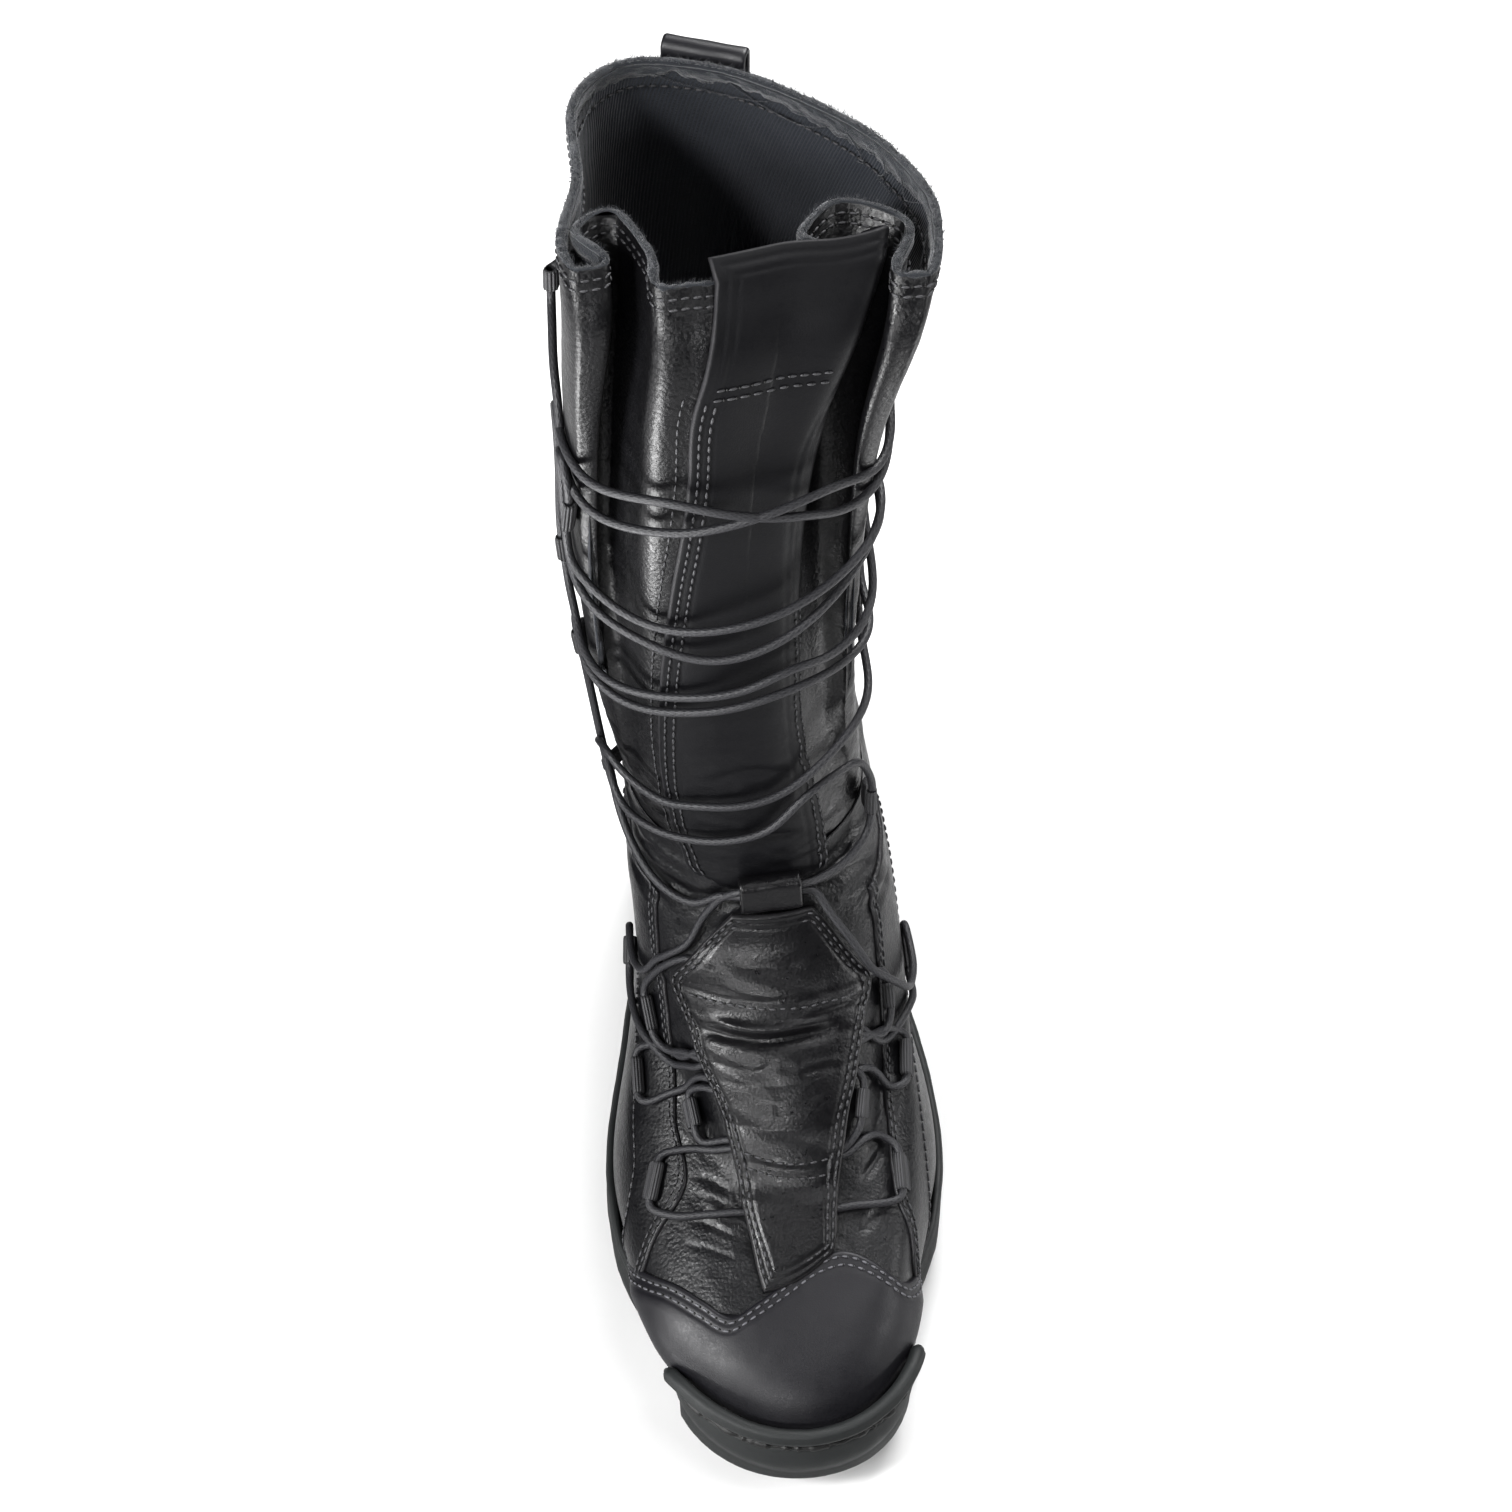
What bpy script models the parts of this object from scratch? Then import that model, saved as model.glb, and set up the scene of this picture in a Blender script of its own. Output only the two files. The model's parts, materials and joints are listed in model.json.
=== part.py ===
"""Tall lace-up motorcycle boot, left foot, built as separate solids.

Model frame while building: millimetres, toe tip near y = 0, heel near y = 300,
+X to the lateral (outer) side, -X to the medial side, floor at z = 0.
The last step moves the whole boot so that its origin is the centre of its base.
"""
import math
from collections import namedtuple

import bmesh
import bpy
import numpy as np
from mathutils import Vector

# ---------------------------------------------------------------- driving dimensions (mm)
MM = 0.001
LEATHER = 2.2              # wall of the foot upper
SHAFT_WALL = 2.0           # wall of the shaft
CAP_LEATHER = 1.4          # toe cap overlay
PLACKET_LEATHER = 1.8
FLAP_LEATHER = 2.0
GAP = 0.35                 # clearance between pieces that touch on the real boot
CUP_GAP = 0.5              # clearance between the leather and the rubber cup
LAP_GAP = 0.5              # clearance where shaft and foot upper overlap
CORD = 3.0                 # lace diameter
LUG_DEPTH = 4.0

# ---------------------------------------------------------------- last and shaft sections
# One row a level of the leather's inner face, from the feather edge up to the collar. Each level is a
# closed ring that starts at the front ridge. Half-widths are measured from the ring's own centre line
# at the toe, ball, waist and heel stations; nose and tail are the plan radii at the two ends;
# dip lowers the middle of the ring; pleat is how far the collar's folds have formed.
Level = namedtuple("Level", "name front_x front_y front_z back_x back_y back_z dip pleat nose tail "
                            "med_toe med_ball med_waist med_heel lat_toe lat_ball lat_waist lat_heel")
LEVELS = [
    Level("feather",      4, 17.5, 23.0, -2, 292, 30, 9, .00, 31, 28, 33.5, 49.5, 39.0, 28.0, 29.0, 50.5, 48.0, 31.0),
    Level("sole rim",     4, 15.5, 30.0, -2, 295, 38, 5, .00, 34, 31, 37.0, 53.0, 42.0, 31.0, 32.5, 54.0, 50.5, 33.5),
    Level("toe wall",     4, 18.5, 38.0, -2, 296, 52, 2, .00, 34, 32, 41.0, 52.0, 41.0, 32.0, 35.5, 53.0, 47.5, 34.0),
    Level("toe crown",    4, 26.0, 45.0, -2, 296, 68, 0, .00, 32, 32, 38.5, 48.0, 40.0, 32.0, 35.5, 49.5, 44.0, 34.0),
    Level("cap top",      6, 38.5, 50.0, -2, 295, 83, 0, .00, 29, 31, 33.0, 44.5, 38.5, 31.5, 33.5, 45.5, 41.0, 33.5),
    Level("wing",         8, 57.0, 54.5, -2, 293, 97, 0, .00, 26, 30, 29.0, 42.5, 38.0, 31.5, 29.5, 43.0, 40.0, 33.0),
    Level("vamp",         9, 82.0, 62.0, -2, 291, 109, 0, .00, 24, 29, 26.0, 41.5, 37.5, 31.0, 26.0, 42.0, 39.0, 33.0),
    Level("low instep",   8, 106.0, 78.0, -2, 289, 122, 0, .00, 24, 28, 27.0, 41.0, 37.0, 31.0, 27.0, 41.0, 38.5, 32.5),
    Level("instep",       6, 130.0, 96.0, -2, 287, 137, 0, .00, 26, 28, 29.0, 41.0, 37.0, 31.0, 29.0, 40.0, 38.0, 32.5),
    Level("high instep",  5, 149.0, 113.0, -3, 286, 152, 0, .00, 30, 28, 31.0, 40.0, 36.5, 31.0, 30.5, 38.5, 37.0, 32.0),
    Level("throat",       3, 159.0, 128.0, -4, 285, 167, 0, .00, 33, 28, 31.0, 39.5, 36.5, 31.0, 30.5, 37.5, 36.5, 32.0),
    Level("quarter top",  1, 163.3, 142.0, -5, 285, 190, 0, .00, 36, 29, 31.5, 40.0, 37.5, 32.0, 31.0, 37.5, 36.0, 32.0),
    Level("low shaft",   -4, 166.3, 190.0, -8, 285, 225, 0, .15, 38, 31, 33.0, 43.0, 41.0, 34.0, 32.5, 38.5, 37.0, 32.0),
    Level("mid shaft",   -5, 168.3, 250.0, -8, 286, 262, 0, .36, 40, 32, 34.0, 45.5, 43.5, 35.0, 33.5, 39.5, 38.0, 33.0),
    Level("high shaft",  -3, 171.3, 310.0, -7, 287, 312, 0, .62, 42, 34, 35.0, 46.0, 44.0, 36.0, 34.0, 42.0, 40.0, 35.0),
    Level("below collar", 2, 176.5, 350.0, -5, 287, 348, 0, .88, 44, 36, 36.0, 48.0, 46.0, 39.0, 36.0, 47.0, 45.0, 37.0),
    Level("collar",       3, 189.0, 366.0, -5, 286, 366, 0, 1.0, 44, 36, 37.0, 49.0, 47.0, 41.0, 38.0, 51.0, 49.0, 40.0),
]
STATIONS = (0.12, 0.35, 0.58, 0.82)        # toe, ball, waist and heel along each ring

# Bends of the slack collar seen from above, going round from the front by way of the lateral side.
# turn is the bend's place on the plain ring, in degrees, where the fold dies out lower down.
Bend = namedtuple("Bend", "name turn x y")
COLLAR_BENDS = [
    Bend("placket backing",       0,   8, 196),
    Bend("lateral gusset",       22,  25, 202),
    Bend("lateral hairpin in",   31,  18, 212),
    Bend("lateral hairpin back", 36,  28, 222),
    Bend("lateral fold back",    41,  43, 213),
    Bend("lateral fold front",   46,  38, 197),
    Bend("lateral ridge",        56,  47, 191),
    Bend("lateral side",         80,  54, 214),
    Bend("lateral flank",       110,  45, 242),
    Bend("lateral heel",        145,  23, 267),
    Bend("back seam",           180,  -5, 285),
    Bend("medial heel",         206, -28, 288),
    Bend("medial flank",        238, -45, 268),
    Bend("medial side",         262, -45, 238),
    Bend("medial ridge",        285, -50, 209),
    Bend("medial ridge front",  299, -44, 200),
    Bend("medial fold mouth",   308, -36, 206),
    Bend("medial fold back",    312, -43, 216),
    Bend("medial hairpin",      316, -35, 223),
    Bend("medial gusset inner", 320, -28, 210),
    Bend("medial gusset ridge", 328, -26, 195),
    Bend("medial gusset front", 342, -14, 192),
]


def hermite(knots, values, x):
    """Smooth curve through values at rising knots, with secant tangents, evaluated at x."""
    knots, values = np.asarray(knots, float), np.asarray(values, float)
    slope = np.gradient(values, knots, axis=0)
    x = np.clip(np.asarray(x, float), knots[0], knots[-1])
    i = np.clip(np.searchsorted(knots, x, side="right") - 1, 0, len(knots) - 2)
    h = knots[i + 1] - knots[i]
    t = (x - knots[i]) / h
    if values.ndim > 1:
        h, t = h[:, None], t[:, None]
    return ((2 * t**3 - 3 * t**2 + 1) * values[i] + (t**3 - 2 * t**2 + t) * h * slope[i]
            + (3 * t**2 - 2 * t**3) * values[i + 1] + (t**3 - t**2) * h * slope[i + 1])


LEVEL_TABLE = np.array([level[1:] for level in LEVELS], float)
TOP = len(LEVELS) - 1


def level_at(v):
    """The section values at a height v counted in rows of the table."""
    return Level("", *hermite(range(len(LEVELS)), LEVEL_TABLE, np.array([v]))[0])


def pleated(phi, level, half_ratio):
    """Plan of the folded collar scaled to a level: x and the way along the ring from front to back."""
    collar = LEVELS[-1]
    turns, xs, ys = np.array([bend[1:] for bend in COLLAR_BENDS], float).T
    ways = (ys - collar.front_y) / (collar.back_y - collar.front_y)
    across = xs - collar.front_x - (collar.back_x - collar.front_x) * ways
    knots = np.concatenate([turns[-3:] - 360, turns, turns[:3] + 360])
    plan = np.stack([np.concatenate([a[-3:], a, a[:3]]) for a in (across, ways)], 1)
    folded = hermite(knots, plan, np.degrees(phi) % 360.0)
    way = folded[:, 1]
    return level.front_x + (level.back_x - level.front_x) * way + folded[:, 0] * half_ratio, way


def ring(v, phis, folds=True):
    """Points of the leather's inner face at height v: phi 0 is the front, 90 degrees the lateral side."""
    phis = np.asarray(phis, float)
    level = level_at(v)
    length = level.back_y - level.front_y
    way = (1 - np.cos(phis)) / 2
    knots = (0.0,) + STATIONS + (1.0,)
    halves = []
    for widths in (level[11:15], level[15:19]):
        sides = [w / (2 * math.sqrt(s * (1 - s))) for w, s in zip(widths, STATIONS)]
        fullness = [math.sqrt(level.nose * length / 2)] + sides + [math.sqrt(level.tail * length / 2)]
        halves.append(hermite(knots, fullness, way))
    half = np.where(np.sin(phis) >= 0, halves[1], halves[0])
    x = level.front_x + (level.back_x - level.front_x) * way + np.sin(phis) * half
    if folds and level.pleat > 0:
        collar = LEVELS[-1]
        ratio = np.where(np.sin(phis) >= 0, level.lat_ball / collar.lat_ball, level.med_ball / collar.med_ball)
        fold_x, fold_way = pleated(phis, level, ratio)
        x = x + (fold_x - x) * level.pleat
        way = way + (fold_way - way) * level.pleat
    y = level.front_y + length * way
    z = level.front_z + (level.back_z - level.front_z) * way - level.dip * 4 * way * (1 - way)
    return np.stack([x, y, z], 1)


def ring_out(v, phis, offset, folds=True):
    """Points at a distance outside the leather's inner face; without folds they bridge the pleats."""
    phis = np.asarray(phis, float)
    along = ring(v, phis + 0.008, folds) - ring(v, phis - 0.008, folds)
    up = ring(min(v + 0.02, TOP), phis, folds) - ring(max(v - 0.02, 0), phis, folds)
    normal = np.cross(along, up)
    return ring(v, phis, folds) + normal / np.linalg.norm(normal, axis=1)[:, None] * offset


# ---------------------------------------------------------------- mesh helpers
def new_object(name, vertices, faces, material):
    """An object whose vertices are given in millimetres."""
    mesh = bpy.data.meshes.new(name)
    mesh.from_pydata([tuple(float(c) * MM for c in v) for v in vertices], [], faces)
    mesh.update()
    obj = bpy.data.objects.new(name, mesh)
    obj.data.materials.append(material)
    PARTS.objects.link(obj)
    mesh.shade_smooth()
    return obj


def ring_faces(rings, count, closed=True):
    """Quads between neighbouring rings of count points."""
    last = count if closed else count - 1
    return [(r * count + i, r * count + (i + 1) % count, (r + 1) * count + (i + 1) % count, (r + 1) * count + i)
            for r in range(rings - 1) for i in range(last)]


def material(name, colour, roughness, metallic=0.0):
    """A plain Principled material."""
    mat = bpy.data.materials.new(name)
    mat.use_nodes = True
    shader = mat.node_tree.nodes["Principled BSDF"]
    shader.inputs["Base Color"].default_value = (*colour, 1.0)
    shader.inputs["Roughness"].default_value = roughness
    shader.inputs["Metallic"].default_value = metallic
    return mat


def solidify(obj, thickness, offset):
    """Give an open surface its wall; offset 1 grows it outwards, -1 inwards."""
    mod = obj.modifiers.new("wall", "SOLIDIFY")
    mod.thickness = thickness * MM
    mod.offset = offset
    mod.use_even_offset = True
    mod.use_quality_normals = True
    mod.use_rim = True
    return mod


# ---------------------------------------------------------------- pieces
def even_angles(count):
    """Angles once round a ring, from the front by way of the lateral side."""
    return [2 * math.pi * i / count for i in range(count)]


def leather_tube(name, angles, heights, offset, wall, direction, mat):
    """A hollow piece of the boot's own form between the first and the last height."""
    vertices = np.concatenate([ring_out(v, angles, offset) for v in heights])
    obj = new_object(name, vertices, ring_faces(len(heights), len(angles)), mat)
    solidify(obj, wall, direction)
    return obj


def make_upper(mat):
    """Vamp and quarters: one wall from the feather edge to the quarter top."""
    return leather_tube("upper", even_angles(AROUND), UPPER_HEIGHTS, 0.0, LEATHER, 1.0, mat)


def make_shaft(mat):
    """Shaft with its two front pleats, tucked inside the quarter top."""
    folds = [math.radians(a) for a in range(-76, 70, 3)]
    back = [math.radians(74 + 11.6 * i) for i in range(18)]
    heights = [10.2, 10.6, 11.12, 11.6, 12.3, 13, 13.7, 14.4, 15, 15.5, 16]
    return leather_tube("shaft", folds + back, heights, -LAP_GAP, SHAFT_WALL, -1.0, mat)


# Sole side: rim height by way along the foot, and the rubber outside the leather from bottom edge to rim.
RIM = ((0, 38.5), (.05, 38.5), (.10, 37.5), (.135, 33), (.18, 27.5), (.35, 26), (.58, 28.5), (.82, 33), (1, 35))
WALL_RUBBER = ((0, 3.0), (.10, 5.4), (.3, 6.2), (.55, 5.2), (.8, 3.8), (.93, 3.2), (1, 2.2))
TREAD_BASE = 4.0
TOE_SPRING, SPRING_START = 15.0, 64.0
ARCH_RISE, ARCH_MIDDLE, ARCH_HALF = 6.0, 171.0, 40.0
AROUND = 50                # points round the foot upper, sole and insole
UPPER_HEIGHTS = (0, .5, 1, 1.5, 2, 2.6, 3.2, 4, 5, 6, 7, 8, 9, 10, 10.6, 11)


def tread_base(y):
    """Height of the sole's underside between its lugs."""
    spring = TOE_SPRING * np.clip((SPRING_START - y) / SPRING_START, 0, None) ** 2
    arch = np.where(np.abs(y - ARCH_MIDDLE) < ARCH_HALF, np.cos((y - ARCH_MIDDLE) / ARCH_HALF * math.pi / 2) ** 2, 0)
    return TREAD_BASE + spring + ARCH_RISE * arch


def cap_room(way):
    """Room between leather and rubber for the toe cap overlay."""
    return (CAP_LEATHER + GAP) * np.clip((0.33 - way) / 0.05, 0, 1)


def wall_ring(share, phis):
    """One ring of the sole's outer side, share 0 at the bottom edge and 1 at the rim."""
    feather = ring(0, phis)
    way = (1 - np.cos(phis)) / 2
    flat = np.cross(ring(0.5, phis + 0.01) - ring(0.5, phis - 0.01), (0, 0, 1.0))
    flat /= np.linalg.norm(flat, axis=1)[:, None]
    rim_z = hermite(*zip(*RIM), way)
    bottom_z = tread_base(feather[:, 1] + flat[:, 1] * 6)
    z = bottom_z + (rim_z - bottom_z) * share
    heights = np.linspace(0, 4, 33)
    stack = np.stack([ring(v, phis) for v in heights])
    plan = np.empty_like(feather)
    for i, column in enumerate(stack.transpose(1, 0, 2)):
        plan[i] = [np.interp(z[i], column[:, 2], column[:, k]) for k in range(3)]
    rubber = np.interp(share, *zip(*WALL_RUBBER))
    out = plan + flat * (LEATHER + GAP + cap_room(way) + rubber)[:, None]
    out[:, 2] = z
    return out


def cup_ring(share, phis):
    """One ring of the cup's inner face, share 0 at the floor and 1 at the rim."""
    way = (1 - np.cos(phis)) / 2
    rim_z = hermite(*zip(*RIM), way)
    heights = np.linspace(0, 4, 33)
    points = np.empty((len(phis), 3))
    outer = np.stack([ring_out(v, phis, LEATHER + CUP_GAP) for v in heights])
    for i, column in enumerate(outer.transpose(1, 0, 2)):
        z = column[0, 2] + (rim_z[i] - column[0, 2]) * share
        points[i] = [np.interp(z, column[:, 2], column[:, k]) for k in range(3)]
    flat = np.cross(ring(0.5, phis + 0.01) - ring(0.5, phis - 0.01), (0, 0, 1.0))
    flat /= np.linalg.norm(flat, axis=1)[:, None]
    return points + flat * cap_room(way)[:, None]


def floor_height(phis):
    """Height of the cup's floor, just under the upper's lower edge."""
    return ring_out(0, phis, LEATHER)[:, 2] - GAP


def make_outsole(mat):
    """Cup sole: lugged underside, bulged side wall, rim, inner wall and floor."""
    phis = np.array(even_angles(AROUND))
    rings = [wall_ring(share, phis) for share, _ in WALL_RUBBER] + [cup_ring(s, phis) for s in (1, .8, .6, .4, .2, 0)]
    floor = ring_out(0, phis, LEATHER + CUP_GAP)
    floor[:, 2] = floor_height(phis)
    way = (1 - np.cos(phis)) / 2
    flat = np.cross(ring(0.5, phis + 0.01) - ring(0.5, phis - 0.01), (0, 0, 1.0))
    flat /= np.linalg.norm(flat, axis=1)[:, None]
    rings[-1] = floor + flat * cap_room(way)[:, None]
    vertices = [tuple(p) for r in rings for p in r]
    faces = ring_faces(len(rings), AROUND)
    half = AROUND // 2
    # floor strips between the lateral and the medial side
    last = (len(rings) - 1) * AROUND
    faces += strip_faces(last, AROUND, flip=False)
    # underside: a grid across the foot
    across = 6
    index = {}
    bottom = rings[0]
    for i in range(1, half):
        left, right = bottom[i], bottom[AROUND - i]
        for k in range(across + 1):
            if k == 0:
                index[i, k] = i
            elif k == across:
                index[i, k] = AROUND - i
            else:
                point = left + (right - left) * k / across
                point[2] = tread_base(point[1])
                index[i, k] = len(vertices)
                vertices.append(tuple(point))
    lugs = []
    for i in range(1, half - 1):
        for k in range(across):
            quad = (index[i, k], index[i, k + 1], index[i + 1, k + 1], index[i + 1, k])
            y = np.mean([vertices[j][1] for j in quad])
            if not ARCH_MIDDLE - ARCH_HALF < y < ARCH_MIDDLE + ARCH_HALF - 4:
                lugs.append(len(faces))
            faces.append(quad)
    for i, tip in ((1, 0), (half - 1, half)):
        for k in range(across):
            tri = (index[i, k], index[i, k + 1], tip)
            faces.append(tri if tip else tri[::-1])
    obj = new_object("outsole", vertices, faces, mat)
    raise_lugs(obj, lugs)
    return obj


def strip_faces(start, count, flip):
    """Fill a ring whose points i and count - i face each other."""
    half = count // 2
    faces = [(start, start + 1, start + count - 1), (start + half - 1, start + half, start + half + 1)]
    faces += [(start + i, start + i + 1, start + count - i - 1, start + count - i) for i in range(1, half - 1)]
    return [f[::-1] for f in faces] if flip else faces


def raise_lugs(obj, lugs):
    """Turn the chosen underside faces into lugs that stand down by the lug depth."""
    mesh = bmesh.new()
    mesh.from_mesh(obj.data)
    mesh.faces.ensure_lookup_table()
    chosen = [mesh.faces[i] for i in lugs]
    bmesh.ops.inset_individual(mesh, faces=chosen, thickness=1.3 * MM, use_even_offset=True)
    for vertex in {v for face in chosen for v in face.verts}:
        vertex.co.z -= LUG_DEPTH * MM
    bmesh.ops.recalc_face_normals(mesh, faces=mesh.faces)
    mesh.to_mesh(obj.data)
    mesh.free()


def make_insole(mat):
    """Foot bed board lying on the sole's floor inside the upper."""
    phis = np.array(even_angles(AROUND))
    flat = np.cross(ring(0.5, phis + 0.01) - ring(0.5, phis - 0.01), (0, 0, 1.0))
    flat /= np.linalg.norm(flat, axis=1)[:, None]
    edge = ring(0, phis) - flat * 0.9
    rings = []
    for rise, inset in ((0, 0.6), (0.9, 0), (3.2, 0), (4.0, 0.9)):
        level = edge - flat * inset
        level[:, 2] = floor_height(phis) + GAP + rise
        rings.append(level)
    vertices = np.concatenate(rings)
    faces = ring_faces(len(rings), AROUND)
    faces += strip_faces(0, AROUND, flip=True) + strip_faces(3 * AROUND, AROUND, flip=False)
    return new_object("insole", vertices, faces, mat)


# ---------------------------------------------------------------- overlays on the foot
# Winged edge of the toe cap in plan: x across, y from the toe.
Wing = namedtuple("Wing", "x y")
WING_EDGE = [Wing(-62, 88), Wing(-50, 79), Wing(-42, 68), Wing(-34, 61), Wing(-25, 53), Wing(-18, 48), Wing(-9, 51.5),
             Wing(4, 59.5), Wing(13, 64), Wing(21, 66), Wing(32, 61), Wing(42, 57), Wing(49, 64), Wing(62, 76)]

# Kite-shaped instep flap: turn round the foot and height in rows at both edges, height on the middle line,
# and how far its underside stands off the last to clear the lacing.
Flap = namedtuple("Flap", "name left_turn left_v middle_v right_turn right_v lift")
FLAP_ROWS = [
    Flap("tip",        -15.5, 4.76, 5.33, 10.5, 5.50, 3.1),
    Flap("above tip",  -20.0, 5.33, 5.53, 11.0, 5.72, 6.2),
    Flap("first bar",  -24.0, 5.72, 5.87, 11.5, 6.00, 6.9),
    Flap("low seam",   -24.6, 6.20, 6.42, 14.0, 6.35, 6.9),
    Flap("lower",      -25.5, 6.50, 6.67, 16.5, 6.60, 6.8),
    Flap("middle",     -28.7, 6.88, 7.00, 20.0, 6.88, 6.9),
    Flap("upper",      -34.4, 7.20, 7.35, 24.5, 7.15, 7.2),
    Flap("crease",     -38.0, 7.52, 7.80, 31.0, 7.60, 6.8),
    Flap("widest",     -42.7, 7.98, 8.30, 36.5, 8.02, 7.2),
    Flap("shoulder",   -34.0, 8.50, 8.75, 30.0, 8.50, 6.8),
    Flap("neck",       -26.7, 8.95, 9.20, 24.2, 8.94, 6.4),
    Flap("top",        -13.5, 9.84, 9.90, 15.8, 9.84, 5.6),
]

# Plain strip down the shaft's front: height in rows, turn of both edges, and how far its lateral edge
# reaches on past the fold.
Placket = namedtuple("Placket", "v left_turn right_turn reach")
PLACKET_ROWS = [
    Placket(11.12, -31, 24, 0.0), Placket(11.6, -31, 25, 0.0), Placket(12.3, -28.5, 25, 0.0),
    Placket(13.0, -24, 23, 0.0), Placket(13.7, -18.5, 21, 0.0), Placket(14.4, -17.5, 19.5, 2.5),
    Placket(15.0, -15.5, 19, 5.5), Placket(15.5, -14, 18.5, 7.5), Placket(16.0, -12, 18.5, 9.5),
]
PLACKET_LIFT = 0.15        # its underside over the last's face; the shaft's outside is LAP_GAP below that face
FREE_FLAP = 12.0           # the placket's flap stands this far past the collar

# Webbing loops: turn and height in rows at both ends of the hole, and how far its axis stands off the last.
Loop = namedtuple("Loop", "name turn_a v_a turn_b v_b lift")
LOOP_LIFT = LEATHER + GAP + 3.4
SIDE_LIFT = 3.5            # the same for loops on the shaft
LOOPS = [
    Loop("foot_loop_medial_outer_3", -58.7, 4.20, -56.3, 3.56, LOOP_LIFT),
    Loop("foot_loop_medial_inner_b", -49.1, 6.12, -49.1, 5.66, LOOP_LIFT),
    Loop("foot_loop_medial_outer_2", -73.0, 4.83, -69.8, 4.40, LOOP_LIFT),
    Loop("foot_loop_medial_inner_a", -66.6, 6.58, -65.6, 6.10, LOOP_LIFT),
    Loop("foot_loop_medial_outer_1", -88.0, 5.72, -86.5, 5.28, LOOP_LIFT),
    Loop("foot_loop_lateral_outer_3",49.2, 5.00, 46.3, 4.56, LOOP_LIFT),
    Loop("foot_loop_lateral_inner_b",28.5, 6.92, 25.5, 6.66, LOOP_LIFT),
    Loop("foot_loop_lateral_outer_2",64.6, 5.68, 62.2, 5.27, LOOP_LIFT),
    Loop("foot_loop_lateral_inner_a",49.5, 7.46, 51.0, 7.08, LOOP_LIFT),
    Loop("foot_loop_lateral_outer_1",85.0, 5.66, 83.0, 5.24, LOOP_LIFT),
    Loop("shaft_loop_lateral_4",       45.0, 10.95, 46.5, 11.20, 6.0),
    Loop("shaft_loop_medial_4",       -70.0, 10.64, -70.0, 10.88, 5.8),
    Loop("shaft_loop_medial_3",       -76.0, 11.92, -76.0, 12.12, SIDE_LIFT),
    Loop("shaft_loop_lateral_3",       78.0, 12.16, 78.0, 12.34, SIDE_LIFT),
    Loop("shaft_loop_lateral_2",       80.0, 12.66, 80.0, 12.84, SIDE_LIFT),
    Loop("shaft_loop_medial_2",       -82.0, 12.62, -82.0, 12.80, SIDE_LIFT),
    Loop("shaft_loop_medial_1",       -53.0, 13.60, -55.5, 13.40, 5.2),
    Loop("shaft_loop_lateral_1",       80.0, 13.52, 80.0, 13.70, 4.2),
    Loop("shaft_loop_lateral_0",       96.0, 14.40, 96.0, 14.58, 4.4),
    Loop("shaft_loop_medial_0",       -96.0, 14.40, -96.0, 14.58, SIDE_LIFT),
]
TAB_RUNS = [
    Loop("instep_tab_rear",  -6.5, 10.78, 10.5, 10.78, 7.1),
    Loop("instep_tab_front", -6.5, 10.52, 10.5, 10.52, 7.1),
]
LOOP_OUTER, LOOP_INNER, LOOP_SIDES = 3.1, 2.1, 8

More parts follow.
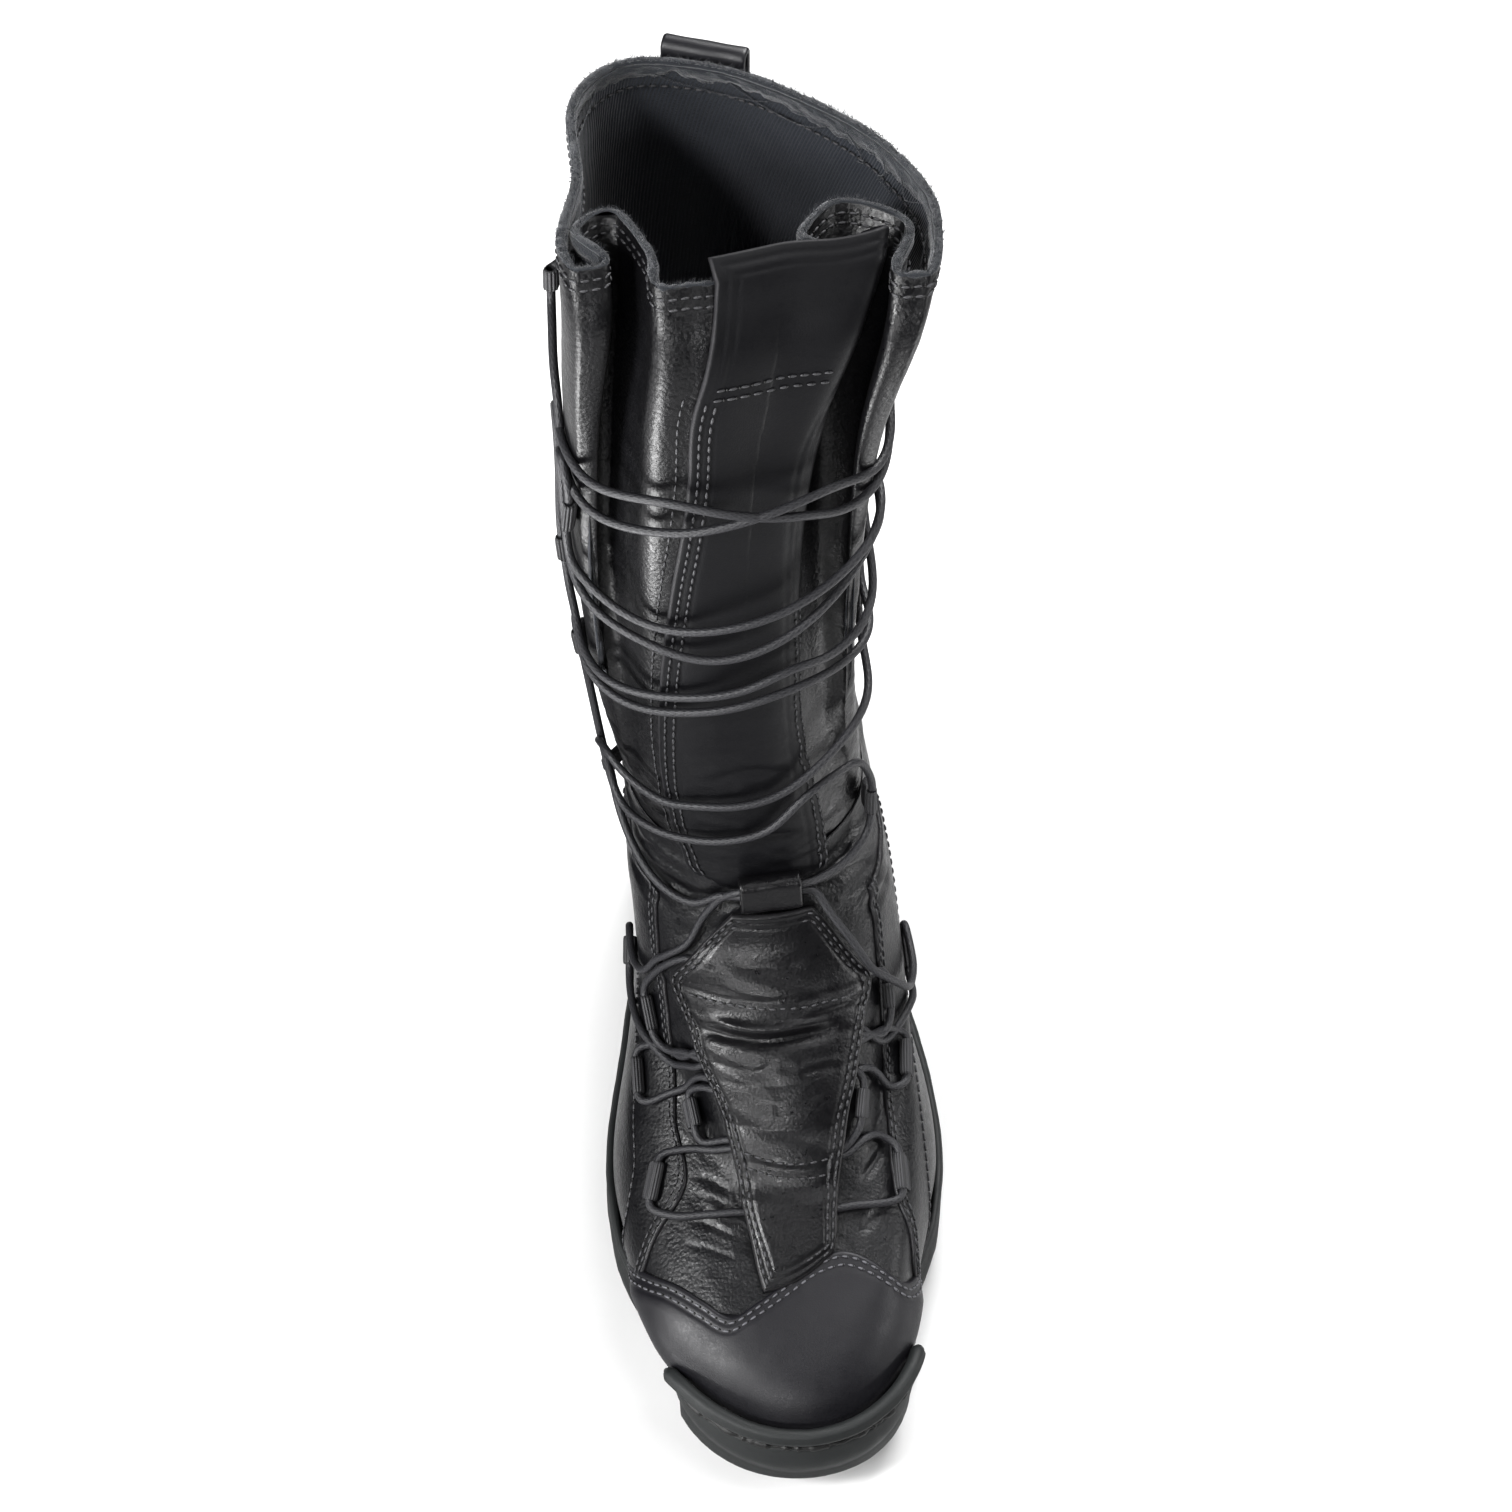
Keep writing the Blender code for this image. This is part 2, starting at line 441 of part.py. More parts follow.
# The two halves of the lace, from the lowest bar to their ends: turn, height in rows and stand-off of the
# axis, or the name of a loop it runs straight through.
FOOT, SHAFT, SIDE = LEATHER + GAP + 2.2, 4.4, 2.7
LACE_A = [
    (-3, 5.88, FOOT), (-23, 5.64, FOOT), (-39, 4.94, FOOT), (-50, 3.98, 5.2), "foot_loop_medial_outer_3",
    (-56.6, 4.67, 5.2), (-49.5, 5.30, FOOT), (-38, 5.92, FOOT), (-27, 6.37, FOOT), (-10, 6.56, FOOT), (8, 6.52, FOOT),
    (17, 6.50, 5.2), "foot_loop_lateral_inner_b", (26, 7.22, 5.2), (16, 7.32, FOOT), (0, 7.28, FOOT),
    (-20, 7.16, FOOT), (-35.7, 6.98, FOOT), (-45, 6.58, FOOT), (-60, 5.44, FOOT), (-65.8, 4.72, 5.2),
    "foot_loop_medial_outer_2", (-72, 5.20, 5.2), (-66, 5.78, FOOT), (-60.4, 6.19, FOOT), (-50, 6.66, FOOT),
    (-36, 7.28, FOOT), (-15, 7.60, FOOT), (15, 7.65, FOOT), (34, 7.40, FOOT), (44, 7.02, 5.4),
    "foot_loop_lateral_inner_a", (44, 7.84, 5.4), (28, 8.08, FOOT), (0, 8.10, FOOT), (-22, 7.72, FOOT),
    (-38, 7.02, FOOT), (-49, 6.60, FOOT), (-59, 6.02, FOOT), (-67, 5.66, 5.0), (-77, 5.36, 5.2),
    "foot_loop_medial_outer_1", (-86, 6.22, 5.8), (-79, 6.42, 5.4), (-70, 6.76, 5.0), (-55, 7.72, FOOT),
    (-43, 8.30, FOOT), (-33.5, 8.74, FOOT),
    (-25, 9.50, 4.8), (-14, 10.38, 6.0), "instep_tab_rear", (22, 10.50, 5.6), (33, 10.34, 5.0), (42, 10.56, 5.4),
    "shaft_loop_lateral_4", (42, 11.62, SHAFT), (31, 11.72, SHAFT), (20, 11.70, SHAFT), (6, 11.52, SHAFT),
    (-8, 11.43, SHAFT), (-22, 11.33, SHAFT), (-38, 11.20, 5.0), (-54, 11.10, 5.4), (-66, 11.45, SHAFT),
    "shaft_loop_medial_3", (-72, 12.36, SIDE), (-57, 12.35, 3.6), (-38, 12.38, SHAFT), (-13, 12.53, SHAFT),
    (13, 12.63, SHAFT), (36, 12.61, SHAFT), (56, 12.56, 3.2), (70, 12.54, SIDE), "shaft_loop_lateral_2",
    (76, 13.04, SIDE), (60, 12.90, 3.0), (44, 12.78, SHAFT), (31, 12.74, SHAFT), (17, 12.78, SHAFT),
    (0, 12.70, SHAFT), (-17, 12.62, SHAFT), (-43, 12.47, SHAFT), (-56, 12.44, 3.4), (-68, 12.46, SIDE),
    "shaft_loop_medial_2", (-88, 13.20, SIDE), (-86, 13.60, SIDE), (-74, 13.88, SIDE), (-60, 13.88, 3.4),
    (-45, 13.84, SHAFT), (-18, 13.92, SHAFT), (17, 13.81, SHAFT), (34, 13.71, SHAFT), (48, 13.74, SHAFT),
    (58, 13.88, 3.6), (70, 14.06, 3.4), (84, 14.20, 3.8), "shaft_loop_lateral_0",
]
LACE_B = [
    (-3, 5.88, FOOT), (13.5, 5.82, FOOT), (23.6, 5.60, FOOT), (36, 5.10, FOOT), (43, 4.66, 5.2),
    "foot_loop_lateral_outer_3", (47.5, 5.34, 5.2), (37.3, 6.02, FOOT), (27.3, 6.36, FOOT), (16, 6.42, FOOT),
    (0, 6.66, FOOT), (-15, 6.62, FOOT), (-28, 6.45, FOOT), (-40, 5.94, FOOT), (-46, 5.58, 5.2),
    "foot_loop_medial_inner_b", (-44.5, 6.50, 5.6), (-34.7, 6.88, FOOT), (-15, 7.05, FOOT), (4, 7.12, FOOT),
    (20, 7.16, FOOT), (31, 7.10, FOOT), (41, 6.62, FOOT), (50, 6.02, FOOT), (57, 5.50, 5.2),
    "foot_loop_lateral_outer_2", (61, 6.14, 5.2), (50, 6.84, FOOT), (39.4, 7.22, FOOT), (30, 7.42, FOOT),
    (12, 7.52, FOOT), (-15, 7.42, FOOT), (-38.5, 7.13, FOOT), (-50, 6.74, FOOT), (-60, 6.18, 5.2),
    "foot_loop_medial_inner_a", (-64, 6.98, 5.2), (-56.5, 7.49, FOOT), (-43.4, 8.16, FOOT), (-33, 8.52, FOOT),
    (-10, 8.50, FOOT), (15, 8.20, FOOT), (30, 7.62, FOOT), (42, 7.02, FOOT), (50, 6.70, FOOT), (58, 6.38, 5.0),
    (67, 6.02, 5.4), (76, 5.58, 5.4), "foot_loop_lateral_outer_1", (83, 6.16, 5.8), (76, 6.24, 6.2), (66, 6.56, 8.0),
    (54, 7.20, 10.9), (42.3, 7.80, 11.1), (34.2, 8.22, 11.5), (28.9, 8.66, 11.5), (24.0, 9.14, 10.9),
    (20, 9.72, 9.0), (17.5, 10.24, 7.4), "instep_tab_front", (-15, 10.32, 5.6), (-28, 9.70, 4.8), (-42, 9.60, 4.8),
    (-54, 9.95, 5.0), (-66, 10.36, 5.6), "shaft_loop_medial_4", (-65, 11.35, 5.6), (-54, 11.62, SHAFT),
    (-42, 11.62, SHAFT), (-30, 11.62, SHAFT), (-16, 11.72, SHAFT), (11, 11.81, SHAFT), (31, 11.93, SHAFT),
    (46, 12.02, SHAFT), (62, 12.04, 3.2), "shaft_loop_lateral_3", (88, 12.58, SIDE), (94, 12.80, SIDE),
    (90, 13.15, SIDE), (76, 13.38, SIDE), (60, 13.44, 3.4), (47, 13.38, SHAFT), (34, 13.20, SHAFT),
    (17, 13.04, SHAFT), (-8, 12.92, SHAFT), (-32, 12.94, SHAFT), (-50, 12.98, 4.0), (-60, 13.06, 3.2),
    (-66, 13.36, SIDE), (-65, 13.72, 3.2), (-57, 13.84, 5.0), "shaft_loop_medial_1", (-54, 13.18, 5.0),
    (-46, 13.12, SHAFT), (-28, 13.07, SHAFT), (0, 13.16, SHAFT), (30, 13.27, SHAFT), (46, 13.36, SHAFT),
    (60, 13.38, 3.4), (72, 13.40, 3.2), "shaft_loop_lateral_1", (74, 13.98, 3.4), (60, 13.92, 3.6),
    (46, 13.84, SHAFT), (26, 13.92, SHAFT), (6, 13.87, SHAFT), (-21, 13.72, SHAFT), (-46, 13.65, SHAFT),
    (-58, 13.74, 3.6), (-70, 14.02, SIDE), (-86, 14.22, SIDE), "shaft_loop_medial_0",
]
LACE_LEAD = 2.0            # the lace runs on straight this far past each loop
LACE_TOLERANCE = 0.60      # how far the lace's straight pieces may stray from its smooth run


def on_last(turn, v, offset, folds=True):
    """One point of the last from a turn in degrees."""
    return ring_out(v, [math.radians(turn)], offset, folds)[0]


def make_toe_cap(mat):
    """Smooth cap over the toe, cut from a larger shell by its winged edge."""
    phis = [2 * math.pi * i / AROUND for i in range(-12, 13)]
    heights = UPPER_HEIGHTS[2:10]
    vertices = np.concatenate([ring_out(v, phis, LEATHER + GAP) for v in heights])
    cap = new_object("toe_cap", vertices, ring_faces(len(heights), len(phis), closed=False), mat)
    solidify(cap, CAP_LEATHER, 1.0)
    outline = bpy.data.curves.new("toe_cap_cutter", "CURVE")
    outline.dimensions = "2D"
    outline.fill_mode = "BOTH"
    outline.extrude = 45 * MM
    spline = outline.splines.new("POLY")
    points = [(w.x, w.y) for w in WING_EDGE] + [(62, -20), (-62, -20)]
    spline.points.add(len(points) - 1)
    for point, (x, y) in zip(spline.points, points):
        point.co = (x * MM, y * MM, 0, 1)
    spline.use_cyclic_u = True
    cutter = mesh_from_curve(outline, "toe_cap_cutter", (0, 0, 50 * MM), None)
    cutter.hide_render = True
    cutter.display_type = "WIRE"
    PARTS.objects.unlink(cutter)
    CUTTERS.objects.link(cutter)
    cut = cap.modifiers.new("winged edge", "BOOLEAN")
    cut.operation = "INTERSECT"
    cut.solver = "EXACT"
    cut.object = cutter
    return cap


def mesh_from_curve(curve, name, location, mat):
    """Turn curve data into a welded mesh object."""
    guide = bpy.data.objects.new(name + "_guide", curve)
    guide.location = location
    PARTS.objects.link(guide)
    bpy.context.view_layer.update()
    mesh = bpy.data.meshes.new_from_object(guide.evaluated_get(bpy.context.evaluated_depsgraph_get()))
    obj = bpy.data.objects.new(name, mesh)
    obj.matrix_world = guide.matrix_world.copy()
    bpy.data.objects.remove(guide, do_unlink=True)
    weld = bmesh.new()
    weld.from_mesh(mesh)
    bmesh.ops.remove_doubles(weld, verts=weld.verts, dist=0.01 * MM)
    bmesh.ops.recalc_face_normals(weld, faces=weld.faces)
    weld.to_mesh(mesh)
    weld.free()
    if mat:
        mesh.materials.clear()
        mesh.materials.append(mat)
    PARTS.objects.link(obj)
    return obj


def tube(name, points, radius, mat, resolution=2, radii=None):
    """A capped tube through points in millimetres."""
    curve = bpy.data.curves.new(name, "CURVE")
    curve.dimensions = "3D"
    curve.bevel_depth = radius * MM
    curve.bevel_resolution = resolution
    curve.use_fill_caps = True
    spline = curve.splines.new("POLY")
    spline.points.add(len(points) - 1)
    for i, point in enumerate(points):
        spline.points[i].co = (*(float(c) * MM for c in point), 1)
        spline.points[i].radius = radii[i] if radii else 1.0
    return mesh_from_curve(curve, name, (0, 0, 0), mat)


def make_toe_bumper(mat):
    """Rolled lip of rubber along the top of the toe wrap, tapering at both ends."""
    reach, count, radius = 41.0, 23, 2.6
    phis = [math.radians(-reach + 2 * reach * i / (count - 1)) for i in range(count)]
    points = cup_ring(1, np.array(phis))
    flat = np.cross(ring(0.5, np.array(phis) + 0.01) - ring(0.5, np.array(phis) - 0.01), (0, 0, 1.0))
    flat /= np.linalg.norm(flat, axis=1)[:, None]
    points = points + flat * radius * 0.8
    points[:, 2] += radius + GAP
    radii = [min(1.0, 0.45 + 0.28 * min(i, count - 1 - i)) for i in range(count)]
    return tube("toe_bumper", points, radius, mat, resolution=2, radii=radii)


def make_instep_flap(mat):
    """Kite-shaped flap that bridges the foot lacing."""
    columns = 8
    vertices = []
    for row in FLAP_ROWS:
        for k in range(columns + 1):
            t = k / columns
            bow = row.middle_v - (row.left_v + row.right_v) / 2
            v = row.left_v + (row.right_v - row.left_v) * t + bow * 4 * t * (1 - t)
            vertices.append(on_last(row.left_turn + (row.right_turn - row.left_turn) * t, v, row.lift))
    flap = new_object("instep_flap", vertices, ring_faces(len(FLAP_ROWS), columns + 1, closed=False), mat)
    solidify(flap, FLAP_LEATHER, 1.0)
    return flap


def make_placket(mat):
    """Strip down the shaft's front with its free flap above the collar."""
    columns = 8
    rows = []
    for row in PLACKET_ROWS:
        turns = [row.left_turn + (row.right_turn - row.left_turn) * k / columns for k in range(columns + 1)]
        points = [on_last(turn, row.v, PLACKET_LIFT) for turn in turns]
        if row.reach > 0:
            points.append(points[-1] + np.array((row.reach, -0.12 * row.reach, 0)))
        else:
            points.append(on_last(row.right_turn + 2.5, row.v, PLACKET_LIFT))
        rows.append(np.array(points))
    lean = np.mean(rows[-1] - rows[-2], axis=0)
    lean /= np.linalg.norm(lean)
    rows += [rows[-1] + lean * FREE_FLAP / 2, rows[-1] + lean * FREE_FLAP]
    strip = new_object("shaft_placket", np.concatenate(rows), ring_faces(len(rows), columns + 2, closed=False), mat)
    solidify(strip, PLACKET_LEATHER, 1.0)
    return strip


def band(name, centre, axis, rise, width, height, depth, wall, mat):
    """A strap folded into a loop: the hole runs along axis, rise is the loop's long way up."""
    axis, rise = Vector(axis).normalized(), Vector(rise)
    rise = (rise - axis * rise.dot(axis)).normalized()
    out = axis.cross(rise)
    centre = Vector(centre)
    corner, steps = depth / 2, 5
    def outline(inset):
        loop = []
        for side in (1, -1):
            for i in range(steps):
                a = math.pi * i / (steps - 1)
                loop.append((side * math.cos(a) * (corner - inset), side * (height / 2 - corner + math.sin(a) * (corner - inset))))
        return loop
    vertices = []
    for end in (-1, 1):
        for inset in (0, wall):
            for o, r in outline(inset):
                vertices.append(centre + axis * end * width / 2 + out * o + rise * r)
    n = 2 * steps
    faces = []
    for i in range(n):
        j = (i + 1) % n
        faces += [(i, j, n + j, n + i), (2 * n + i, 3 * n + i, 3 * n + j, 2 * n + j),
                  (i, 2 * n + i, 2 * n + j, j), (n + i, n + j, 3 * n + j, 3 * n + i)]
    obj = new_object(name, vertices, faces, mat)
    fix = bmesh.new()
    fix.from_mesh(obj.data)
    bmesh.ops.recalc_face_normals(fix, faces=fix.faces)
    fix.to_mesh(obj.data)
    fix.free()
    return obj


def loop_ends(loop):
    """Both ends of a webbing loop's hole."""
    folds = loop.name.startswith("foot")
    return (on_last(loop.turn_a, loop.v_a, loop.lift, folds), on_last(loop.turn_b, loop.v_b, loop.lift, folds))


def make_loop(loop, mat):
    """A webbing loop: a short sleeve round the lace."""
    ends = loop_ends(loop)
    axis = Vector(ends[1] - ends[0]).normalized()
    side = axis.orthogonal().normalized()
    other = axis.cross(side)
    vertices = []
    for end in ends:
        for radius in (LOOP_OUTER, LOOP_INNER):
            for i in range(LOOP_SIDES):
                a = 2 * math.pi * i / LOOP_SIDES
                vertices.append(Vector(end) + side * radius * math.cos(a) + other * radius * math.sin(a))
    n = LOOP_SIDES
    faces = []
    for i in range(n):
        j = (i + 1) % n
        faces += [(i, j, 2 * n + j, 2 * n + i), (n + i, 3 * n + i, 3 * n + j, n + j),
                  (i, n + i, n + j, j), (2 * n + i, 2 * n + j, 3 * n + j, 3 * n + i)]
    obj = new_object(loop.name, vertices, faces, mat)
    fix = bmesh.new()
    fix.from_mesh(obj.data)
    bmesh.ops.recalc_face_normals(fix, faces=fix.faces)
    fix.to_mesh(obj.data)
    fix.free()
    return obj


def lace_run(route):
    """The lace's axis as a chain of straight pieces that stays on the last's surface coordinates."""
    loops = {loop.name: loop for loop in LOOPS + TAB_RUNS}
    stops, straight = [], []
    for i, stop in enumerate(route):
        if not isinstance(stop, str):
            stops.append(stop)
            continue
        loop = loops[stop]
        ends = [np.array((loop.turn_a, loop.v_a, loop.lift)), np.array((loop.turn_b, loop.v_b, loop.lift))]
        before = on_last(*stops[-1], folds=False)
        if np.linalg.norm(on_last(*ends[1], folds=False) - before) < np.linalg.norm(on_last(*ends[0], folds=False) - before):
            ends = ends[::-1]
        beyond = (ends[1] - ends[0]) * LACE_LEAD / math.dist(*(on_last(*end, folds=False) for end in ends))
        straight.append(len(stops))
        stops += [ends[0] - beyond, (ends[0] + ends[1]) / 2 if i == len(route) - 1 else ends[1] + beyond]
    stops = np.array(stops, float)
    at = np.array([on_last(*stop, folds=False) for stop in stops])
    knots = np.concatenate([[0], np.cumsum(np.linalg.norm(np.diff(at, axis=0), axis=1) ** 0.5)])
    pieces = []
    for i in range(len(stops) - 1):
        if i in straight:
            pieces.append(at[i:i + 2])
            continue
        fine = hermite(knots, stops, np.linspace(knots[i], knots[i + 1], 25))
        pieces.append(thinned(np.array([on_last(*stop, folds=False) for stop in fine]), LACE_TOLERANCE))
    return np.concatenate([pieces[0]] + [piece[1:] for piece in pieces[1:]])


def thinned(points, tolerance):
    """Drop points that lie within a tolerance of the straight line between those kept."""
    if len(points) < 3:
        return points
    way = points[-1] - points[0]
    length = np.linalg.norm(way)
    away = np.linalg.norm(np.cross(points - points[0], way / length), axis=1)
    worst = int(away.argmax())
    if away[worst] < tolerance:
        return points[[0, -1]]
    return np.concatenate([thinned(points[:worst + 1], tolerance)[:-1], thinned(points[worst:], tolerance)])


def make_lace(mat):
    """Both halves of the lace joined into one solid at the lowest bar and where they cross."""
    halves = [tube(name, lace_run(route), CORD / 2, mat)
              for name, route in (("lace", LACE_A), ("lace_half", LACE_B))]
    join = halves[0].modifiers.new("crossings", "BOOLEAN")
    join.operation = "UNION"
    join.solver = "EXACT"
    join.use_self = True
    join.object = halves[1]
    halves[1].hide_render = True
    halves[1].display_type = "WIRE"
    PARTS.objects.unlink(halves[1])
    CUTTERS.objects.link(halves[1])
    return halves[0]


def main():
    for obj in list(bpy.data.objects):
        bpy.data.objects.remove(obj, do_unlink=True)
    grained = material("black grained leather", (0.012, 0.012, 0.013), 0.38)
    smooth = material("black smooth leather", (0.016, 0.015, 0.018), 0.45)
    rubber = material("dark rubber", (0.02, 0.022, 0.02), 0.6)
    webbing = material("black webbing", (0.015, 0.015, 0.016), 0.8)
    cord = material("black cord", (0.02, 0.02, 0.021), 0.7)
    make_outsole(rubber)
    make_toe_bumper(rubber)
    make_insole(material("insole board", (0.03, 0.03, 0.03), 0.9))
    make_upper(grained)
    make_shaft(grained)
    make_toe_cap(smooth)
    make_instep_flap(grained)
    make_placket(smooth)
    for loop in LOOPS:
        make_loop(loop, webbing)
    make_lace(cord)
    runs = np.array([[on_last(*end, folds=False) for end in ((run.turn_a, run.v_a, run.lift), (run.turn_b, run.v_b, run.lift))]
                     for run in TAB_RUNS])
    band("instep_tab", runs.mean(axis=(0, 1)), (runs[:, 1] - runs[:, 0]).mean(axis=0),
         (runs[0] - runs[1]).mean(axis=0), 20.0, 13.5, 7.4, 1.5, smooth)
    pull_axis = on_last(186, 15.6, 4) - on_last(174, 15.6, 4)
    pull_seat = on_last(181, 15.45, -LAP_GAP + GAP + 3.5)
    band("pull_loop", pull_seat - np.array((0, 0, 5.0)), pull_axis, (0, 0, 1), 25.0, 34.0, 7.0, 1.8, grained)
    centre_base()


def centre_base():
    """Move every piece so that the boot's origin is the centre of its base."""
    graph = bpy.context.evaluated_depsgraph_get()
    low, high = np.full(3, np.inf), np.full(3, -np.inf)
    for obj in PARTS.objects:
        points = np.array([obj.matrix_world @ v.co for v in obj.evaluated_get(graph).data.vertices])
        low, high = np.minimum(low, points.min(axis=0)), np.maximum(high, points.max(axis=0))
    shift = Vector((-(low[0] + high[0]) / 2, -(low[1] + high[1]) / 2, -low[2]))
    for obj in list(PARTS.objects) + list(CUTTERS.objects):
        obj.location += shift
    print("base centre moved by", [round(c / MM, 3) for c in shift])


PARTS = bpy.data.collections.new("motorcycle_boot")
CUTTERS = bpy.data.collections.new("cutters")
bpy.context.scene.collection.children.link(PARTS)
bpy.context.scene.collection.children.link(CUTTERS)
main()
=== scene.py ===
"""Tall lace-up motorcycle boot: leather, webbing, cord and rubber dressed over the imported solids.

While a piece is worked out its sizes are millimetres in the boot's own frame: the toe tip lies near
y = 0, +X is the lateral side and the floor is z = 0. "turn" is the angle in degrees round the boot
from its front ridge by way of the lateral side, and "v" is the height counted in rows of the last.
"""
from __future__ import annotations

import json
import logging
import math
from dataclasses import astuple, dataclass, field
from enum import Enum
from typing import Callable, Sequence

import bmesh
import bpy
import numpy as np
from mathutils import Euler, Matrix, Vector
from mathutils.kdtree import KDTree

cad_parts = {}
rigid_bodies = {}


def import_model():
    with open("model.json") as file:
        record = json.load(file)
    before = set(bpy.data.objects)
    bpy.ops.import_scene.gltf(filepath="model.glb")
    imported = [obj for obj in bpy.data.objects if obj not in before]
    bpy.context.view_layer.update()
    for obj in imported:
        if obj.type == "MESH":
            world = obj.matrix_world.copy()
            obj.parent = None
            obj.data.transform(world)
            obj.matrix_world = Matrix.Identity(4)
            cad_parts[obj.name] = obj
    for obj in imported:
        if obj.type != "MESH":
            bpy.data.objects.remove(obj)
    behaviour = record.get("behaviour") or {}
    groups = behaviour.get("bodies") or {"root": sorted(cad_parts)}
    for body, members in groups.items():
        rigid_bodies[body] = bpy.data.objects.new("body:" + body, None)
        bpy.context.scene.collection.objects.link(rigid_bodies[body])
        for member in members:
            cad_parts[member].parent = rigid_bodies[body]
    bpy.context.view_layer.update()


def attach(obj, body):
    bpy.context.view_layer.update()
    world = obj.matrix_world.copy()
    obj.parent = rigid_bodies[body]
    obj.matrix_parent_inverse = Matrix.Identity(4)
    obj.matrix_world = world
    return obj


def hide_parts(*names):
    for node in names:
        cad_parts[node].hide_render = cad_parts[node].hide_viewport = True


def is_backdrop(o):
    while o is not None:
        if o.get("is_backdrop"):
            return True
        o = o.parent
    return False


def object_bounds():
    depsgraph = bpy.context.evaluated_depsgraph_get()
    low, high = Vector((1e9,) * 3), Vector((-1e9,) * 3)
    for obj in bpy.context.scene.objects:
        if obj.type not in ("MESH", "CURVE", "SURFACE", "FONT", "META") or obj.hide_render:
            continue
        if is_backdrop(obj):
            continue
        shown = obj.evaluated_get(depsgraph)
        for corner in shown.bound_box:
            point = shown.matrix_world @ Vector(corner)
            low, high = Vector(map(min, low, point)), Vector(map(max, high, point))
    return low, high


LOG = logging.getLogger("motorcycle_boot")
MM = 0.001
ORIGIN = np.array((-1.965, -153.538, 0.0))      # the row's origin is the centre of the boot's base
BODY = "root"

Array = np.ndarray
Colour = tuple[float, float, float]
Route = Sequence[tuple[float, ...]]


# ================================================================ curves and noise
def hermite(t: Array, h: Array, low: Array, high: Array, low_slope: Array, high_slope: Array) -> Array:
    """A cubic between two values with the given slopes.

    Args:
        t: Share of the step, from 0 to 1.
        h: Length of the step.
        low: Value where the step begins.
        high: Value where it ends.
        low_slope: Slope where it begins.
        high_slope: Slope where it ends.

    Returns:
        The cubic's value at each share.
    """
    return ((2 * t**3 - 3 * t**2 + 1) * low + (t**3 - 2 * t**2 + t) * h * low_slope
            + (3 * t**2 - 2 * t**3) * high + (t**3 - t**2) * h * high_slope)


def smooth_curve(knots: Array, values: Array, x: Array) -> Array:
    """Read a smooth curve with secant tangents.

    Args:
        knots: Rising positions of the curve's values.
        values: One value or one row of values at each knot.
        x: Positions to read.

    Returns:
        The curve's value, or row of values, at each position.
    """
    knots, values = np.asarray(knots, float), np.asarray(values, float)
    slope = np.gradient(values, knots, axis=0)
    x = np.clip(np.asarray(x, float), knots[0], knots[-1])
    i = np.clip(np.searchsorted(knots, x, side="right") - 1, 0, len(knots) - 2)
    h = knots[i + 1] - knots[i]
    t = (x - knots[i]) / h
    if values.ndim > 1:
        h, t = h[..., None], t[..., None]
    return hermite(t, h, values[i], values[i + 1], slope[i], slope[i + 1])


def smooth_rows(knots: Array, rows: Array, x: Array) -> Array:
    """Read many smooth curves that share their knots, each at its own position.

    Args:
        knots: Rising positions shared by every curve.
        rows: One curve's values a row.
        x: One position a curve.

    Returns:
        One value a curve.
    """
    knots = np.asarray(knots, float)
    slope = np.gradient(rows, knots, axis=1)
    i = np.clip(np.searchsorted(knots, x, side="right") - 1, 0, len(knots) - 2)
    row = np.arange(len(rows))
    h = knots[i + 1] - knots[i]
    return hermite((x - knots[i]) / h, h, rows[row, i], rows[row, i + 1], slope[row, i], slope[row, i + 1])


def ramp(x: Array, low: float, high: float) -> Array:
    """Smooth step from 0 at low to 1 at high."""
    t = np.clip((np.asarray(x, float) - low) / (high - low), 0, 1)
    return t * t * (3 - 2 * t)


def lengths(points: Array) -> Array:
    """Way covered along a chain of points, starting at 0."""
    return np.concatenate([[0.0], np.cumsum(np.linalg.norm(np.diff(points, axis=0), axis=1))])


def resampled(points: Array, step: float) -> Array:
    """Evenly spaced points along a chain.

    Args:
        points: The chain's corners.
        step: Wanted distance between points.

    Returns:
        Points about one step apart, with both ends kept.
    """
    way = lengths(points)
    count = max(2, int(round(way[-1] / step)) + 1)
    at = np.linspace(0, way[-1], count)
    return np.stack([np.interp(at, way, points[:, k]) for k in range(points.shape[1])], 1)


def unit(vectors: Array) -> Array:
    """Vectors scaled to length 1."""
    return vectors / np.maximum(np.linalg.norm(vectors, axis=-1, keepdims=True), 1e-12)


class Lattice:
    """Smooth random field in three directions, the same in every run."""

    SIZE = 32

    def __init__(self, seed: int) -> None:
        """Fill the lattice from a fixed seed."""
        self.values = np.random.default_rng(seed).random((self.SIZE,) * 3)

    def read(self, x: Array, y: Array, z: Array) -> Array:
        """The field at some positions.

        Args:
            x: Positions in the first direction, in lattice cells.
            y: Positions in the second.
            z: Positions in the third.

        Returns:
            Values between -1 and 1.
        """
        x, y, z = np.broadcast_arrays(*(np.asarray(c, float) for c in (x, y, z)))
        total = np.zeros(x.shape)
        cells = [np.floor(c).astype(int) for c in (x, y, z)]
        parts = [c - i for c, i in zip((x, y, z), cells)]
        parts = [p * p * (3 - 2 * p) for p in parts]
        for corner in range(8):
            weight = np.ones(x.shape)
            index = []
            for axis in range(3):
                bit = corner >> axis & 1
                weight = weight * (parts[axis] if bit else 1 - parts[axis])
                index.append((cells[axis] + bit) % self.SIZE)
            total += weight * self.values[tuple(index)]
        return total * 2 - 1


